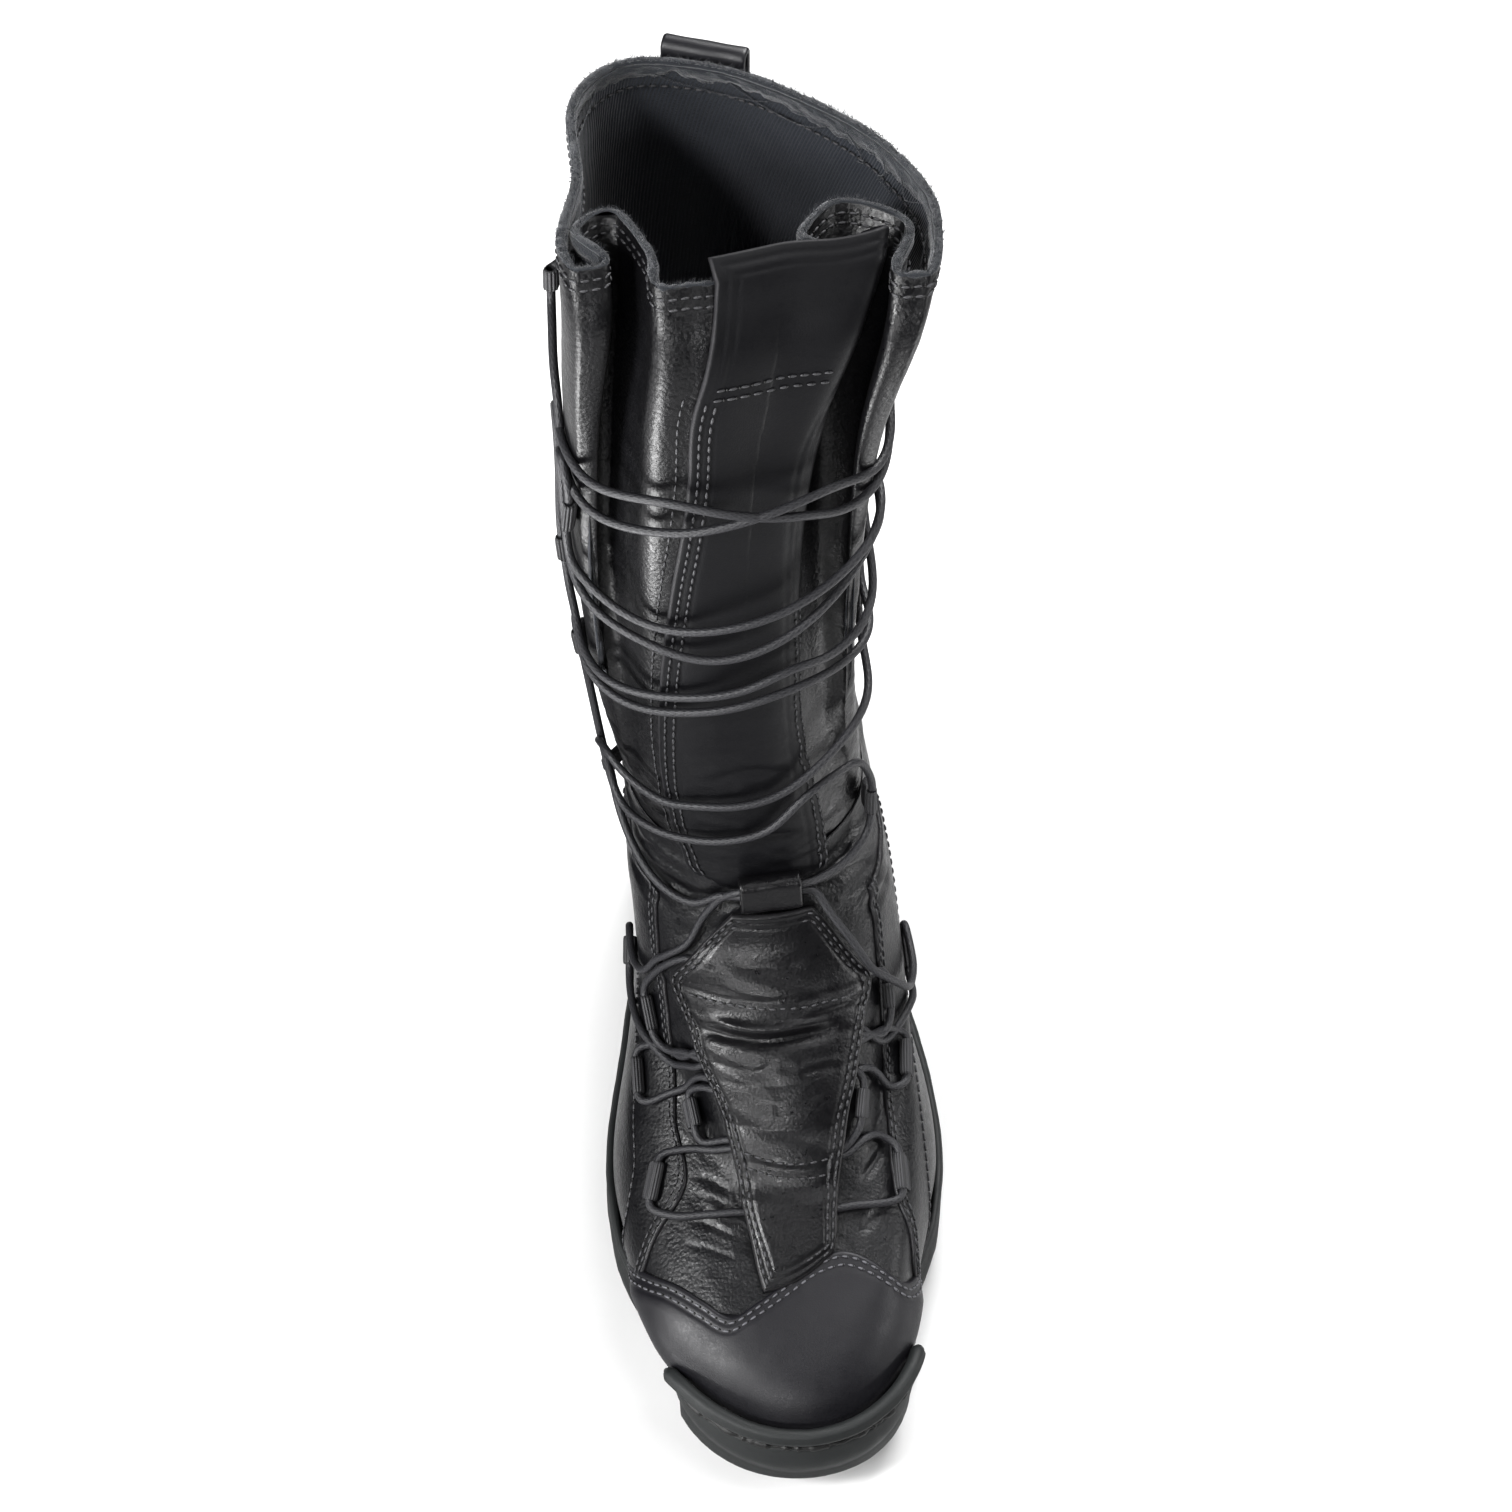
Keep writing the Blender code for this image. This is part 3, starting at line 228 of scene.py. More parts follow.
# ================================================================ the last
@dataclass(frozen=True)
class Level:
    """One closed ring of the leather's inner face.

    Half-widths are counted from the ring's centre line at the toe, ball, waist and heel; nose and tail
    are the plan radii at the two ends, dip lowers the ring's middle and pleat folds it.
    """

    name: str
    front: tuple[float, float, float]
    back: tuple[float, float, float]
    dip: float
    pleat: float
    nose: float
    tail: float
    medial: tuple[float, float, float, float]
    lateral: tuple[float, float, float, float]

    def row(self) -> list[float]:
        """All the numbers in one row."""
        ends = (self.dip, self.pleat, self.nose, self.tail)
        return [*self.front, *self.back, *ends, *self.medial, *self.lateral]


LEVELS = (
    Level("feather", (4, 17.5, 23), (-2, 292, 30), 9, 0, 31, 28, (33.5, 49.5, 39, 28), (29, 50.5, 48, 31)),
    Level("sole rim", (4, 15.5, 30), (-2, 295, 38), 5, 0, 34, 31, (37, 53, 42, 31), (32.5, 54, 50.5, 33.5)),
    Level("toe wall", (4, 18.5, 38), (-2, 296, 52), 2, 0, 34, 32, (41, 52, 41, 32), (35.5, 53, 47.5, 34)),
    Level("toe crown", (4, 26, 45), (-2, 296, 68), 0, 0, 32, 32, (38.5, 48, 40, 32), (35.5, 49.5, 44, 34)),
    Level("cap top", (6, 38.5, 50), (-2, 295, 83), 0, 0, 29, 31, (33, 44.5, 38.5, 31.5),
          (33.5, 45.5, 41, 33.5)),
    Level("wing", (8, 57, 54.5), (-2, 293, 97), 0, 0, 26, 30, (29, 42.5, 38, 31.5), (29.5, 43, 40, 33)),
    Level("vamp", (9, 82, 62), (-2, 291, 109), 0, 0, 24, 29, (26, 41.5, 37.5, 31), (26, 42, 39, 33)),
    Level("low instep", (8, 106, 78), (-2, 289, 122), 0, 0, 24, 28, (27, 41, 37, 31), (27, 41, 38.5, 32.5)),
    Level("instep", (6, 130, 96), (-2, 287, 137), 0, 0, 26, 28, (29, 41, 37, 31), (29, 40, 38, 32.5)),
    Level("high instep", (5, 149, 113), (-3, 286, 152), 0, 0, 30, 28, (31, 40, 36.5, 31),
          (30.5, 38.5, 37, 32)),
    Level("throat", (3, 159, 128), (-4, 285, 167), 0, 0, 33, 28, (31, 39.5, 36.5, 31), (30.5, 37.5, 36.5, 32)),
    Level("quarter top", (1, 163.3, 142), (-5, 285, 190), 0, 0, 36, 29, (31.5, 40, 37.5, 32),
          (31, 37.5, 36, 32)),
    Level("low shaft", (-4, 166.3, 190), (-8, 285, 225), 0, .15, 38, 31, (33, 43, 41, 34),
          (32.5, 38.5, 37, 32)),
    Level("mid shaft", (-5, 168.3, 250), (-8, 286, 262), 0, .36, 40, 32, (34, 45.5, 43.5, 35),
          (33.5, 39.5, 38, 33)),
    Level("high shaft", (-3, 171.3, 310), (-7, 287, 312), 0, .62, 42, 34, (35, 46, 44, 36), (34, 42, 40, 35)),
    Level("below collar", (2, 176.5, 350), (-5, 287, 348), 0, .88, 44, 36, (36, 48, 46, 39), (36, 47, 45, 37)),
    Level("collar", (3, 189, 366), (-5, 286, 366), 0, 1, 44, 36, (37, 49, 47, 41), (38, 51, 49, 40)),
)
STATIONS = np.array((0.12, 0.35, 0.58, 0.82))


@dataclass(frozen=True)
class Bend:
    """A bend of the slack collar seen from above, and its turn on the plain ring below the fold."""

    name: str
    turn: float
    x: float
    y: float


COLLAR_BENDS = (
    Bend("placket backing", 0, 8, 196), Bend("lateral gusset", 22, 25, 202),
    Bend("lateral hairpin in", 31, 18, 212), Bend("lateral hairpin back", 36, 28, 222),
    Bend("lateral fold back", 41, 43, 213), Bend("lateral fold front", 46, 38, 197),
    Bend("lateral ridge", 56, 47, 191), Bend("lateral side", 80, 54, 214),
    Bend("lateral flank", 110, 45, 242), Bend("lateral heel", 145, 23, 267),
    Bend("back seam", 180, -5, 285), Bend("medial heel", 206, -28, 288),
    Bend("medial flank", 238, -45, 268), Bend("medial side", 262, -45, 238),
    Bend("medial ridge", 285, -50, 209), Bend("medial ridge front", 299, -44, 200),
    Bend("medial fold mouth", 308, -36, 206), Bend("medial fold back", 312, -43, 216),
    Bend("medial hairpin", 316, -35, 223), Bend("medial gusset inner", 320, -28, 210),
    Bend("medial gusset ridge", 328, -26, 195), Bend("medial gusset front", 342, -14, 192),
)


class Last:
    """The surface that every leather piece of the boot follows."""

    def __init__(self) -> None:
        """Lay out the rings and the collar's bends as tables."""
        self.table = np.array([level.row() for level in LEVELS], float)
        self.top = len(LEVELS) - 1
        turns, xs, ys = np.array([(b.turn, b.x, b.y) for b in COLLAR_BENDS], float).T
        collar = self.table[-1]
        way = (ys - collar[1]) / (collar[4] - collar[1])
        across = xs - collar[0] - (collar[3] - collar[0]) * way
        self.bend_turns = np.concatenate([turns[-3:] - 360, turns, turns[:3] + 360])
        self.bend_plan = np.stack([np.concatenate([a[-3:], a, a[:3]]) for a in (across, way)], 1)

    def inner(self, turn: Array, v: Array, folds: bool = True) -> Array:
        """Points of the leather's inner face.

        Args:
            turn: Degrees round the boot.
            v: Height in rows.
            folds: False bridges the shaft's pleats.

        Returns:
            Points in millimetres, in the shape of turn and v with one axis more.
        """
        turn, v = np.broadcast_arrays(np.asarray(turn, float), np.asarray(v, float))
        phi, shape = np.radians(turn.ravel()), turn.shape
        level = smooth_curve(np.arange(self.top + 1), self.table, v.ravel())
        front_x, front_y, front_z, back_x, back_y, back_z, dip, pleat, nose, tail = level[:, :10].T
        outer_side = np.sin(phi) >= 0
        widths = np.where(outer_side[:, None], level[:, 14:18], level[:, 10:14])
        length = back_y - front_y
        ends = np.sqrt(np.stack([nose, tail], 1) * length[:, None] / 2)
        sides = widths / (2 * np.sqrt(STATIONS * (1 - STATIONS)))
        fullness = np.concatenate([ends[:, :1], sides, ends[:, 1:]], 1)
        way = (1 - np.cos(phi)) / 2
        half = smooth_rows(np.concatenate([[0], STATIONS, [1]]), fullness, way)
        x = front_x + (back_x - front_x) * way + np.sin(phi) * half
        if folds:
            pleat = np.clip(pleat, 0, None)
            ratio = np.where(outer_side, level[:, 15] / self.table[-1, 15], level[:, 11] / self.table[-1, 11])
            folded = smooth_curve(self.bend_turns, self.bend_plan, np.degrees(phi) % 360.0)
            fold_x = front_x + (back_x - front_x) * folded[:, 1] + folded[:, 0] * ratio
            x = x + (fold_x - x) * pleat
            way = way + (folded[:, 1] - way) * pleat
        z = front_z + (back_z - front_z) * way - dip * 4 * way * (1 - way)
        return np.stack([x, front_y + length * way, z], 1).reshape(*shape, 3)

    def normal(self, turn: Array, v: Array, folds: bool = True) -> Array:
        """Outward directions of the inner face.

        Args:
            turn: Degrees round the boot.
            v: Height in rows.
            folds: False bridges the shaft's pleats.

        Returns:
            One unit vector a place.
        """
        turn, v = np.broadcast_arrays(np.asarray(turn, float), np.asarray(v, float))
        along = self.inner(turn + 0.46, v, folds) - self.inner(turn - 0.46, v, folds)
        up = (self.inner(turn, np.minimum(v + 0.02, self.top), folds)
              - self.inner(turn, np.maximum(v - 0.02, 0), folds))
        return unit(np.cross(along, up))

    def at(self, turn: Array, v: Array, lift: Array | float = 0.0, folds: bool = True) -> Array:
        """Points that stand off the inner face by a lift."""
        lift = np.asarray(lift, float)
        return self.inner(turn, v, folds) + self.normal(turn, v, folds) * lift[..., None]

    def route(self, stops: Route, step: float = 1.0, folds: bool = True) -> tuple[Array, Array]:
        """A smooth path over the boot.

        Args:
            stops: Turn and height of the path's knots.
            step: Distance between the points made.
            folds: False bridges the shaft's pleats.

        Returns:
            Turn and height of each point, and the points themselves.
        """
        knots = np.array(stops, float)[:, :2]
        way = lengths(self.at(*knots.T, 0.0, folds))
        fine = smooth_curve(way, knots, np.linspace(0, way[-1], 12 * len(knots)))
        points = self.at(*fine.T, 0.0, folds)
        way = lengths(points)
        at = np.linspace(0, way[-1], max(2, int(round(way[-1] / step)) + 1))
        both = [np.interp(at, way, column) for column in (*fine.T, *points.T)]
        return np.stack(both[:2], 1), np.stack(both[2:], 1)


@dataclass(frozen=True)
class Crease:
    """A soft trough or ridge pressed along a path over the leather."""

    path: Route
    depth: float               # height of its middle, below zero for a trough
    width: float               # distance at which it has nearly died out
    lip: float = 0.0           # height of the roll of leather beside it, on its upper side
    ends: float = 0.25         # share of the path over which each end dies out
    folds: bool = True


class Relief:
    """All the creases of one piece of leather, plus its even wrinkling."""

    def __init__(self, last: Last, creases: Sequence[Crease],
                 wrinkles: Callable[[Array, Array, Array], Array] | None = None) -> None:
        """Keep the creases as paths over the last.

        Args:
            last: The surface they lie on.
            creases: The listed creases.
            wrinkles: Height of the even wrinkling from turn, height in rows and points.
        """
        self.last, self.creases, self.wrinkles = last, creases, wrinkles
        self.paths = [last.route(c.path, 2.0, c.folds)[1] for c in creases]

    def height(self, turn: Array, v: Array) -> Array:
        """How far the leather stands off its plain form.

        Args:
            turn: Degrees round the boot.
            v: Height in rows.

        Returns:
            Millimetres outwards at each place.
        """
        turn, v = np.broadcast_arrays(np.asarray(turn, float), np.asarray(v, float))
        points = self.last.inner(turn, v).reshape(-1, 3)
        total = np.zeros(len(points))
        for crease, path in zip(self.creases, self.paths):
            reach = crease.width * 2.4
            near = np.all((points > path.min(0) - reach) & (points < path.max(0) + reach), axis=1)
            if near.any():
                total[near] += self._one(crease, path, points[near])
        total = total.reshape(turn.shape)
        if self.wrinkles:
            total = total + self.wrinkles(turn, v, points.reshape(*turn.shape, 3))
        return total

    @staticmethod
    def _one(crease: Crease, path: Array, points: Array) -> Array:
        """Height that one crease gives to points near it.

        Args:
            crease: The crease.
            path: Points along it.
            points: Points of the leather's plain form.

        Returns:
            Millimetres outwards at each point.
        """
        start, span = path[:-1], np.diff(path, axis=0)
        size = np.maximum((span**2).sum(1), 1e-9)
        share = np.clip(((points[:, None] - start) * span).sum(2) / size, 0, 1)
        away = points[:, None] - start - share[..., None] * span
        gap = np.linalg.norm(away, axis=2)
        k = gap.argmin(1)
        row = np.arange(len(points))
        gap, away = gap[row, k], away[row, k]
        way = lengths(path)
        along = (way[k] + share[row, k] * np.sqrt(size[k])) / way[-1]
        fade = ramp(along, 0, crease.ends) * ramp(1 - along, 0, crease.ends) if crease.ends > 0 else 1.0
        height = crease.depth * np.exp(-((gap / crease.width * 1.6) ** 2))
        if crease.lip:
            rise = np.sign(away[:, 2]) * gap / crease.width
            height = height + crease.lip * np.exp(-((rise - 1.1) * 1.9) ** 2)
        return height * fade


# ================================================================ node trees and finishes
class Wire:
    """A node socket that adds Math nodes when it stands in an expression."""

    def __init__(self, tree: Tree, socket: bpy.types.NodeSocket) -> None:
        """Wrap an output socket."""
        self.tree, self.socket = tree, socket

    def also(self, output: str) -> Wire:
        """Another output of the same node."""
        return Wire(self.tree, self.socket.node.outputs[output])

    def math(self, operation: str, *values: Wire | float) -> Wire:
        """The result of a Math node on these values."""
        return self.tree.add("ShaderNodeMath", {"operation": operation}, dict(enumerate(values)))

    def __add__(self, other: Wire | float) -> Wire:
        """self + other."""
        return self.math("ADD", self, other)

    def __sub__(self, other: Wire | float) -> Wire:
        """self - other."""
        return self.math("SUBTRACT", self, other)

    def __rsub__(self, other: float) -> Wire:
        """other - self."""
        return self.math("SUBTRACT", other, self)

    def __mul__(self, other: Wire | float) -> Wire:
        """self * other."""
        return self.math("MULTIPLY", self, other)

    __radd__ = __add__
    __rmul__ = __mul__

    def wave(self) -> Wire:
        """Sine of the value."""
        return self.math("SINE", self)

    def size(self) -> Wire:
        """Absolute value."""
        return self.math("ABSOLUTE", self)

    def larger(self, other: Wire | float) -> Wire:
        """The larger of two values."""
        return self.math("MAXIMUM", self, other)

    def held(self) -> Wire:
        """The value held between 0 and 1."""
        return self.tree.add("ShaderNodeClamp", {}, {"Value": self})

    def band(self, low: float, high: float) -> Wire:
        """Smooth step from 0 at low to 1 at high."""
        values = {"Value": self, "From Min": low, "From Max": high}
        return self.tree.add("ShaderNodeMapRange", {"interpolation_type": "SMOOTHSTEP"}, values)


@dataclass
class Tree:
    """A node tree, to which every node is added in the same way."""

    tree: bpy.types.NodeTree

    def add(self, kind: str, settings: dict, values: dict, output: str | int = 0) -> Wire:
        """Add a node.

        Args:
            kind: The node's type.
            settings: The node's own properties, set first.
            values: Value, link or list of links of each named or numbered input socket.
            output: Name or number of the output wanted.

        Returns:
            That output, wrapped.
        """
        node = self.tree.nodes.new(kind)
        for key, value in settings.items():
            setattr(node, key, value)
        for key, value in values.items():
            socket = node.inputs[key] if isinstance(key, int) else self.live(node.inputs, key)
            if isinstance(value, Wire | list):
                for wire in value if isinstance(value, list) else [value]:
                    self.tree.links.new(wire.socket, socket)
            else:
                socket.default_value = value
        return Wire(self, node.outputs[output] if isinstance(output, int) else self.live(node.outputs, output))

    @staticmethod
    def live(sockets: Sequence, name: str) -> bpy.types.NodeSocket:
        """The socket of this name that the node's settings switch on."""
        return next(socket for socket in sockets if socket.name == name and socket.enabled)


class Nodes(Tree):
    """A material's node tree with its Principled shader at hand."""

    def __init__(self, name: str) -> None:
        """Start an empty material with one Principled shader.

        Args:
            name: The material's name.
        """
        self.material = bpy.data.materials.new(name)
        self.material.use_nodes = True
        super().__init__(self.material.node_tree)
        self.shader = self.tree.nodes["Principled BSDF"]
        place = self.add("ShaderNodeTexCoord", {}, {}, "Object")
        self.at = self.add("ShaderNodeVectorMath", {"operation": "SCALE"}, {0: place, "Scale": 1 / MM})

    def noise(self, size: float, detail: float = 3.0, roughness: float = 0.55) -> Wire:
        """Noise between 0 and 1 whose lumps are about this size in millimetres."""
        values = {"Vector": self.at, "Scale": 1 / size, "Detail": detail, "Roughness": roughness}
        return self.add("ShaderNodeTexNoise", {}, values, "Fac")

    def cells(self, size: float) -> Wire:
        """Distance to the middle of cells of about this size in millimetres."""
        return self.add("ShaderNodeTexVoronoi", {}, {"Vector": self.at, "Scale": 1 / size}, "Distance")

    def map_axis(self, axis: str) -> Wire:
        """One direction of the piece's UV map."""
        return self.add("ShaderNodeSeparateXYZ", {}, {0: self.add("ShaderNodeTexCoord", {}, {}, "UV")}, axis)

    def blend(self, factor: Wire, low: Wire | Colour, high: Wire | Colour) -> Wire:
        """A colour between two colours."""
        values = {"Factor": factor, 6: _opaque(low), 7: _opaque(high)}
        return self.add("ShaderNodeMix", {"data_type": "RGBA"}, values, 2)

    def finish(self, colour: Wire, roughness: Wire | float, height: Wire | None = None,
               depth: float = 0.1, **plain: float) -> bpy.types.Material:
        """Wire the shader up.

        Args:
            colour: Base colour.
            roughness: Roughness.
            height: Bump height from 0 to 1.
            depth: Depth of the bump in millimetres.
            plain: Constants of the shader's own sockets, with _ for a blank.

        Returns:
            The finished material.
        """
        plain["Roughness"] = roughness
        plain["Base Color"] = colour
        if height is not None:
            bump = {"Height": height, "Distance": depth * MM}
            plain["Normal"] = self.add("ShaderNodeBump", {}, bump, "Normal")
        for name, value in plain.items():
            socket = self.shader.inputs[name.replace("_", " ")]
            if isinstance(value, Wire):
                self.tree.links.new(value.socket, socket)
            else:
                socket.default_value = value
        return self.material


def _opaque(colour: Wire | Colour) -> Wire | tuple:
    """A plain colour with its alpha, or the wire as it is."""
    return colour if isinstance(colour, Wire) else (*colour, 1.0)


@dataclass(frozen=True)
class Coat:
    """What every finish has: its name, its colour and the slot that it fills."""

    name: str
    colour: Colour
    slot: str = ""

    def dimmed(self, share: float) -> Colour:
        """The colour at a share of its strength."""
        return tuple(value * share for value in self.colour)

    def shade(self, nodes: Nodes, light: Wire, low: float, high: float = 1.0) -> Wire:
        """The colour, at its low share in the dark places and its high share in the light ones."""
        return nodes.blend(light.held(), self.dimmed(low), self.dimmed(high))


@dataclass(frozen=True)
class Leather(Coat):
    """Black cowhide: waxed colour, pebble grain, fine cracks, and lighter edges and high places that are
    partly rub wear and partly a painted highlight.
    """

    slot: str = "grained_leather"
    # Lighter colour for rub wear and for the highlight painted on raised folds.
    wear_and_sheen_colour: Colour = (0.034, 0.033, 0.036)
    roughness: float = 0.30
    grain: float = 1.3         # size of a pebble in mm
    depth: float = 0.13        # depth of the grain in mm
    cracking: float = 0.25     # share of the bump that goes into fine cracks
    gloss: float = 0.40

    def build(self) -> bpy.types.Material:
        """Make the material.

        Returns:
            The new material.
        """
        n = Nodes(self.name)
        drift, patch, pebbles = n.noise(16.0, 2.0), n.noise(4.5, 4.0, 0.65), n.cells(self.grain)
        pores = n.noise(self.grain * 0.35, 2.0, 0.7)
        cracks = 1 - ((n.noise(self.grain * 2.6, 5.0, 0.75) - 0.5).size() * 9).held()
        # The vertex attribute read here lightens the colour: rub wear on edges and high places, and a painted
        # highlight on raised folds.
        wear = n.add("ShaderNodeAttribute", {"attribute_name": "wear"}, {}, "Fac")
        wear_and_sheen_mask = (wear * 1.1 + (patch - 0.5) * 0.9).band(0.30, 1.05)
        tint = n.blend(wear_and_sheen_mask, self.colour, self.wear_and_sheen_colour)
        deep = n.blend((drift * 0.6 + pebbles * 0.25).held(), self.dimmed(0.62), tint)
        height = (1 - pebbles) * (1 - self.cracking) + pores * 0.15 - cracks * self.cracking
        rough = (self.roughness + (patch - 0.5) * 0.16 + wear_and_sheen_mask * 0.05 + cracks * 0.08).held()
        return n.finish(deep, rough, height, self.depth, Specular_IOR_Level=self.gloss)


@dataclass(frozen=True)
class RawEdge(Coat):
    """Napped edge and flesh side of cut leather."""

    def build(self) -> bpy.types.Material:
        """Make the material.

        Returns:
            The new material.
        """
        n = Nodes(self.name)
        fluff, patch = n.noise(0.45, 4.0, 0.8), n.noise(5.0, 3.0)
        shade = self.shade(n, fluff * 0.7 + patch * 0.5, 0.35)
        return n.finish(shade, 0.95, fluff, 0.35, Sheen_Weight=0.35, Sheen_Roughness=0.5)


@dataclass(frozen=True)
class Twill(Coat):
    """Lining cloth with fine upright ribs; its UV map is in millimetres."""

    pitch: float = 1.1

    def build(self) -> bpy.types.Material:
        """Make the material.

        Returns:
            The new material.
        """
        n = Nodes(self.name)
        fuzz, drift = n.noise(0.6, 3.0, 0.7), n.noise(14.0, 3.0)
        place = n.map_axis("X") + n.map_axis("Y") * 0.18 + fuzz * 0.35
        rib = (place * (2 * math.pi / self.pitch)).wave() * 0.5 + 0.5
        shade = self.shade(n, rib * 0.45 + drift * 0.5 + fuzz * 0.25, 0.45)
        return n.finish(shade, 0.9, rib * 0.7 + fuzz * 0.5, 0.28, Sheen_Weight=0.2)


@dataclass(frozen=True)
class Braid(Coat):
    """Round braided cord; its UV map runs once round and in millimetres along."""

    strands: int = 8
    lay: float = 2.6

    def build(self) -> bpy.types.Material:
        """Make the material.

        Returns:
            The new material.
        """
        n = Nodes(self.name)
        around = n.map_axis("X") * (2 * math.pi * self.strands)
        along = n.map_axis("Y") * (2 * math.pi / self.lay)
        plait = (around + along).wave().larger((around - along).wave()) * 0.5 + 0.5
        fuzz = n.noise(0.4, 3.0, 0.7)
        shade = self.shade(n, plait * 0.75 + fuzz * 0.3, 0.35)
        return n.finish(shade, 0.5, plait + fuzz * 0.3, 0.07, Specular_IOR_Level=0.4)


@dataclass(frozen=True)
class Weave(Coat):
    """Ribbed nylon webbing; its UV map is in millimetres, with the ribs along the second direction."""

    pitch: float = 1.05
    pick: float = 0.7          # length of one woven pick in mm

    def build(self) -> bpy.types.Material:
        """Make the material.

        Returns:
            The new material.
        """
        n = Nodes(self.name)
        pick = (n.map_axis("Y") * (2 * math.pi / self.pick)).wave() * 0.5 + 0.5
        rib = (n.map_axis("X") * (math.pi / self.pitch)).wave().size()
        fuzz = n.noise(0.4, 3.0, 0.7)
        shade = self.shade(n, rib * 0.85 + fuzz * 0.25 - 0.1, 0.18)
        return n.finish(shade, 0.6, pick * 0.3 + fuzz * 0.3 + rib * 0.4, 0.1)


@dataclass(frozen=True)
class Thread(Coat):
    """Bonded sewing thread; the same matt finish also gives the near-black used for painted shade."""

    slot: str = "cord"

    def build(self) -> bpy.types.Material:
        """Make the material.

        Returns:
            The new material.
        """
        n = Nodes(self.name)
        lint = n.noise(0.5, 3.0)
        return n.finish(self.shade(n, lint * 0.5 + n.noise(9.0, 2.0) * 0.6, 0.4), 0.55, lint, 0.08)


@dataclass(frozen=True)
class Rubber(Coat):
    """Matt sole rubber, darker and lighter in random patches."""

    def build(self) -> bpy.types.Material:
        """Make the material.

        Returns:
            The new material.
        """
        n = Nodes(self.name)
        fine, patch = n.noise(0.5, 3.0, 0.7), n.noise(7.0, 4.0, 0.6)
        shade = self.shade(n, patch * 0.9 + fine * 0.2, 0.55, 1.25)
        rough = (0.6 + (patch - 0.5) * 0.3).held()
        return n.finish(shade, rough, fine * 0.6 + patch * 0.8, 0.12, Specular_IOR_Level=0.45)


@dataclass(frozen=True)
class FeltBoard(Coat):
    """Felted insole board."""

    def build(self) -> bpy.types.Material:
        """Make the material.

        Returns:
            The new material.
        """
        n = Nodes(self.name)
        felt = n.noise(0.8, 4.0, 0.7)
        return n.finish(self.shade(n, felt, 0.5), 0.95, felt, 0.3)


@dataclass(frozen=True)
class Backdrop(Coat):
    """Pale studio paper."""

    def build(self) -> bpy.types.Material:
        """Make the material."""
        n = Nodes(self.name)
        return n.finish(self.shade(n, n.noise(3.0, 2.0), 0.985), 0.85)


class Finish(Enum):
    """The boot's finishes by name."""

    GRAINED = Leather("grained leather", (0.0050, 0.0050, 0.0062))
    SHAFT = Leather("soft shaft leather", (0.0048, 0.0047, 0.0057), wear_and_sheen_colour=(0.026, 0.025, 0.027), depth=0.15)
    FLAP = Leather("flap leather", (0.0048, 0.0046, 0.0056), wear_and_sheen_colour=(0.034, 0.033, 0.035), roughness=0.29,
                   grain=1.1, depth=0.085)
    SMOOTH = Leather("smooth toe leather", (0.0055, 0.0052, 0.0078), "smooth_leather", (0.014, 0.0135, 0.017),
                     0.42, 0.55, 0.02, 0.3, 0.42)
    PLACKET = Leather("smooth placket leather", (0.0045, 0.0045, 0.0058), "smooth_leather",
                      (0.040, 0.039, 0.042), 0.46, 0.6, 0.03, 0.3, 0.2)
    EDGE = RawEdge("raw suede edge", (0.009, 0.012, 0.018), "grained_leather")
    LINING = Twill("twill lining", (0.011, 0.014, 0.021), "insole_board")
    CORD = Braid("braided cord", (0.024, 0.024, 0.027), "cord")
    WEBBING = Weave("ribbed webbing", (0.036, 0.036, 0.039), "webbing")
    THREAD = Thread("black sewing thread", (0.048, 0.048, 0.052))
    # Near-black for the painted shade of needle holes and of the toe cut, and for the dark card.
    HOLE = Thread("dark of a needle hole", (0.0015, 0.0015, 0.0015))
    PALE_THREAD = Thread("grey sewing thread", (0.11, 0.11, 0.12))
    RUBBER = Rubber("matt sole rubber", (0.0090, 0.0105, 0.0108), "sole_rubber")
    BOARD = FeltBoard("felted insole board", (0.014, 0.014, 0.015), "insole_board")
    PAPER = Backdrop("pale studio paper", (0.53, 0.53, 0.53))

    def material(self) -> bpy.types.Material:
        """This finish's material, made once."""
        return bpy.data.materials.get(self.value.name) or self.value.build()


# ================================================================ meshes
EDGE_SHARE = 0.3           # thickness that a rounded edge keeps, as a share of the full one


def linked(name: str, data: bpy.types.ID) -> bpy.types.Object:
    """A new object in the scene.

    Args:
        name: The object's name.
        data: Its mesh, lamp or camera.

    Returns:
        The object.
    """
    obj = bpy.data.objects.new(name, data)
    bpy.context.scene.collection.objects.link(obj)
    return obj


def new_piece(name: str, points: Array, faces: Sequence[Sequence[int]], finish: Finish,
              uv: Array | None = None, wear: Array | None = None, turned: bool = False) -> bpy.types.Object:
    """Make a piece of the boot from points in its own frame.

    Args:
        name: The piece's name.
        points: Vertices in millimetres.
        faces: Vertex numbers of each face.
        finish: Its finish.
        uv: One UV place a face corner, in the faces' order.
        wear: One number a vertex, high where the surface is rubbed and where a highlight is painted on raised
            folds.
        turned: True turns every face outwards.

    Returns:
        The new object, at the origin.
    """
    mesh = bpy.data.meshes.new(name)
    mesh.from_pydata(((points + ORIGIN) * MM).tolist(), [], [tuple(int(i) for i in face) for face in faces])
    if uv is not None:
        mesh.uv_layers.new(name="UVMap").data.foreach_set("uv", np.asarray(uv, np.float32).ravel())
    mesh.attributes.new("wear", "FLOAT", "POINT").data.foreach_set(
        "value", np.zeros(len(points), np.float32) if wear is None else np.asarray(wear, np.float32).ravel())
    mesh.materials.append(finish.material())
    mesh.shade_smooth()
    if turned:
        shell = bmesh.new()
        shell.from_mesh(mesh)
        bmesh.ops.recalc_face_normals(shell, faces=shell.faces)
        shell.to_mesh(mesh)
        shell.free()
    obj = linked(name, mesh)
    obj["finish_slot"] = finish.value.slot
    return obj


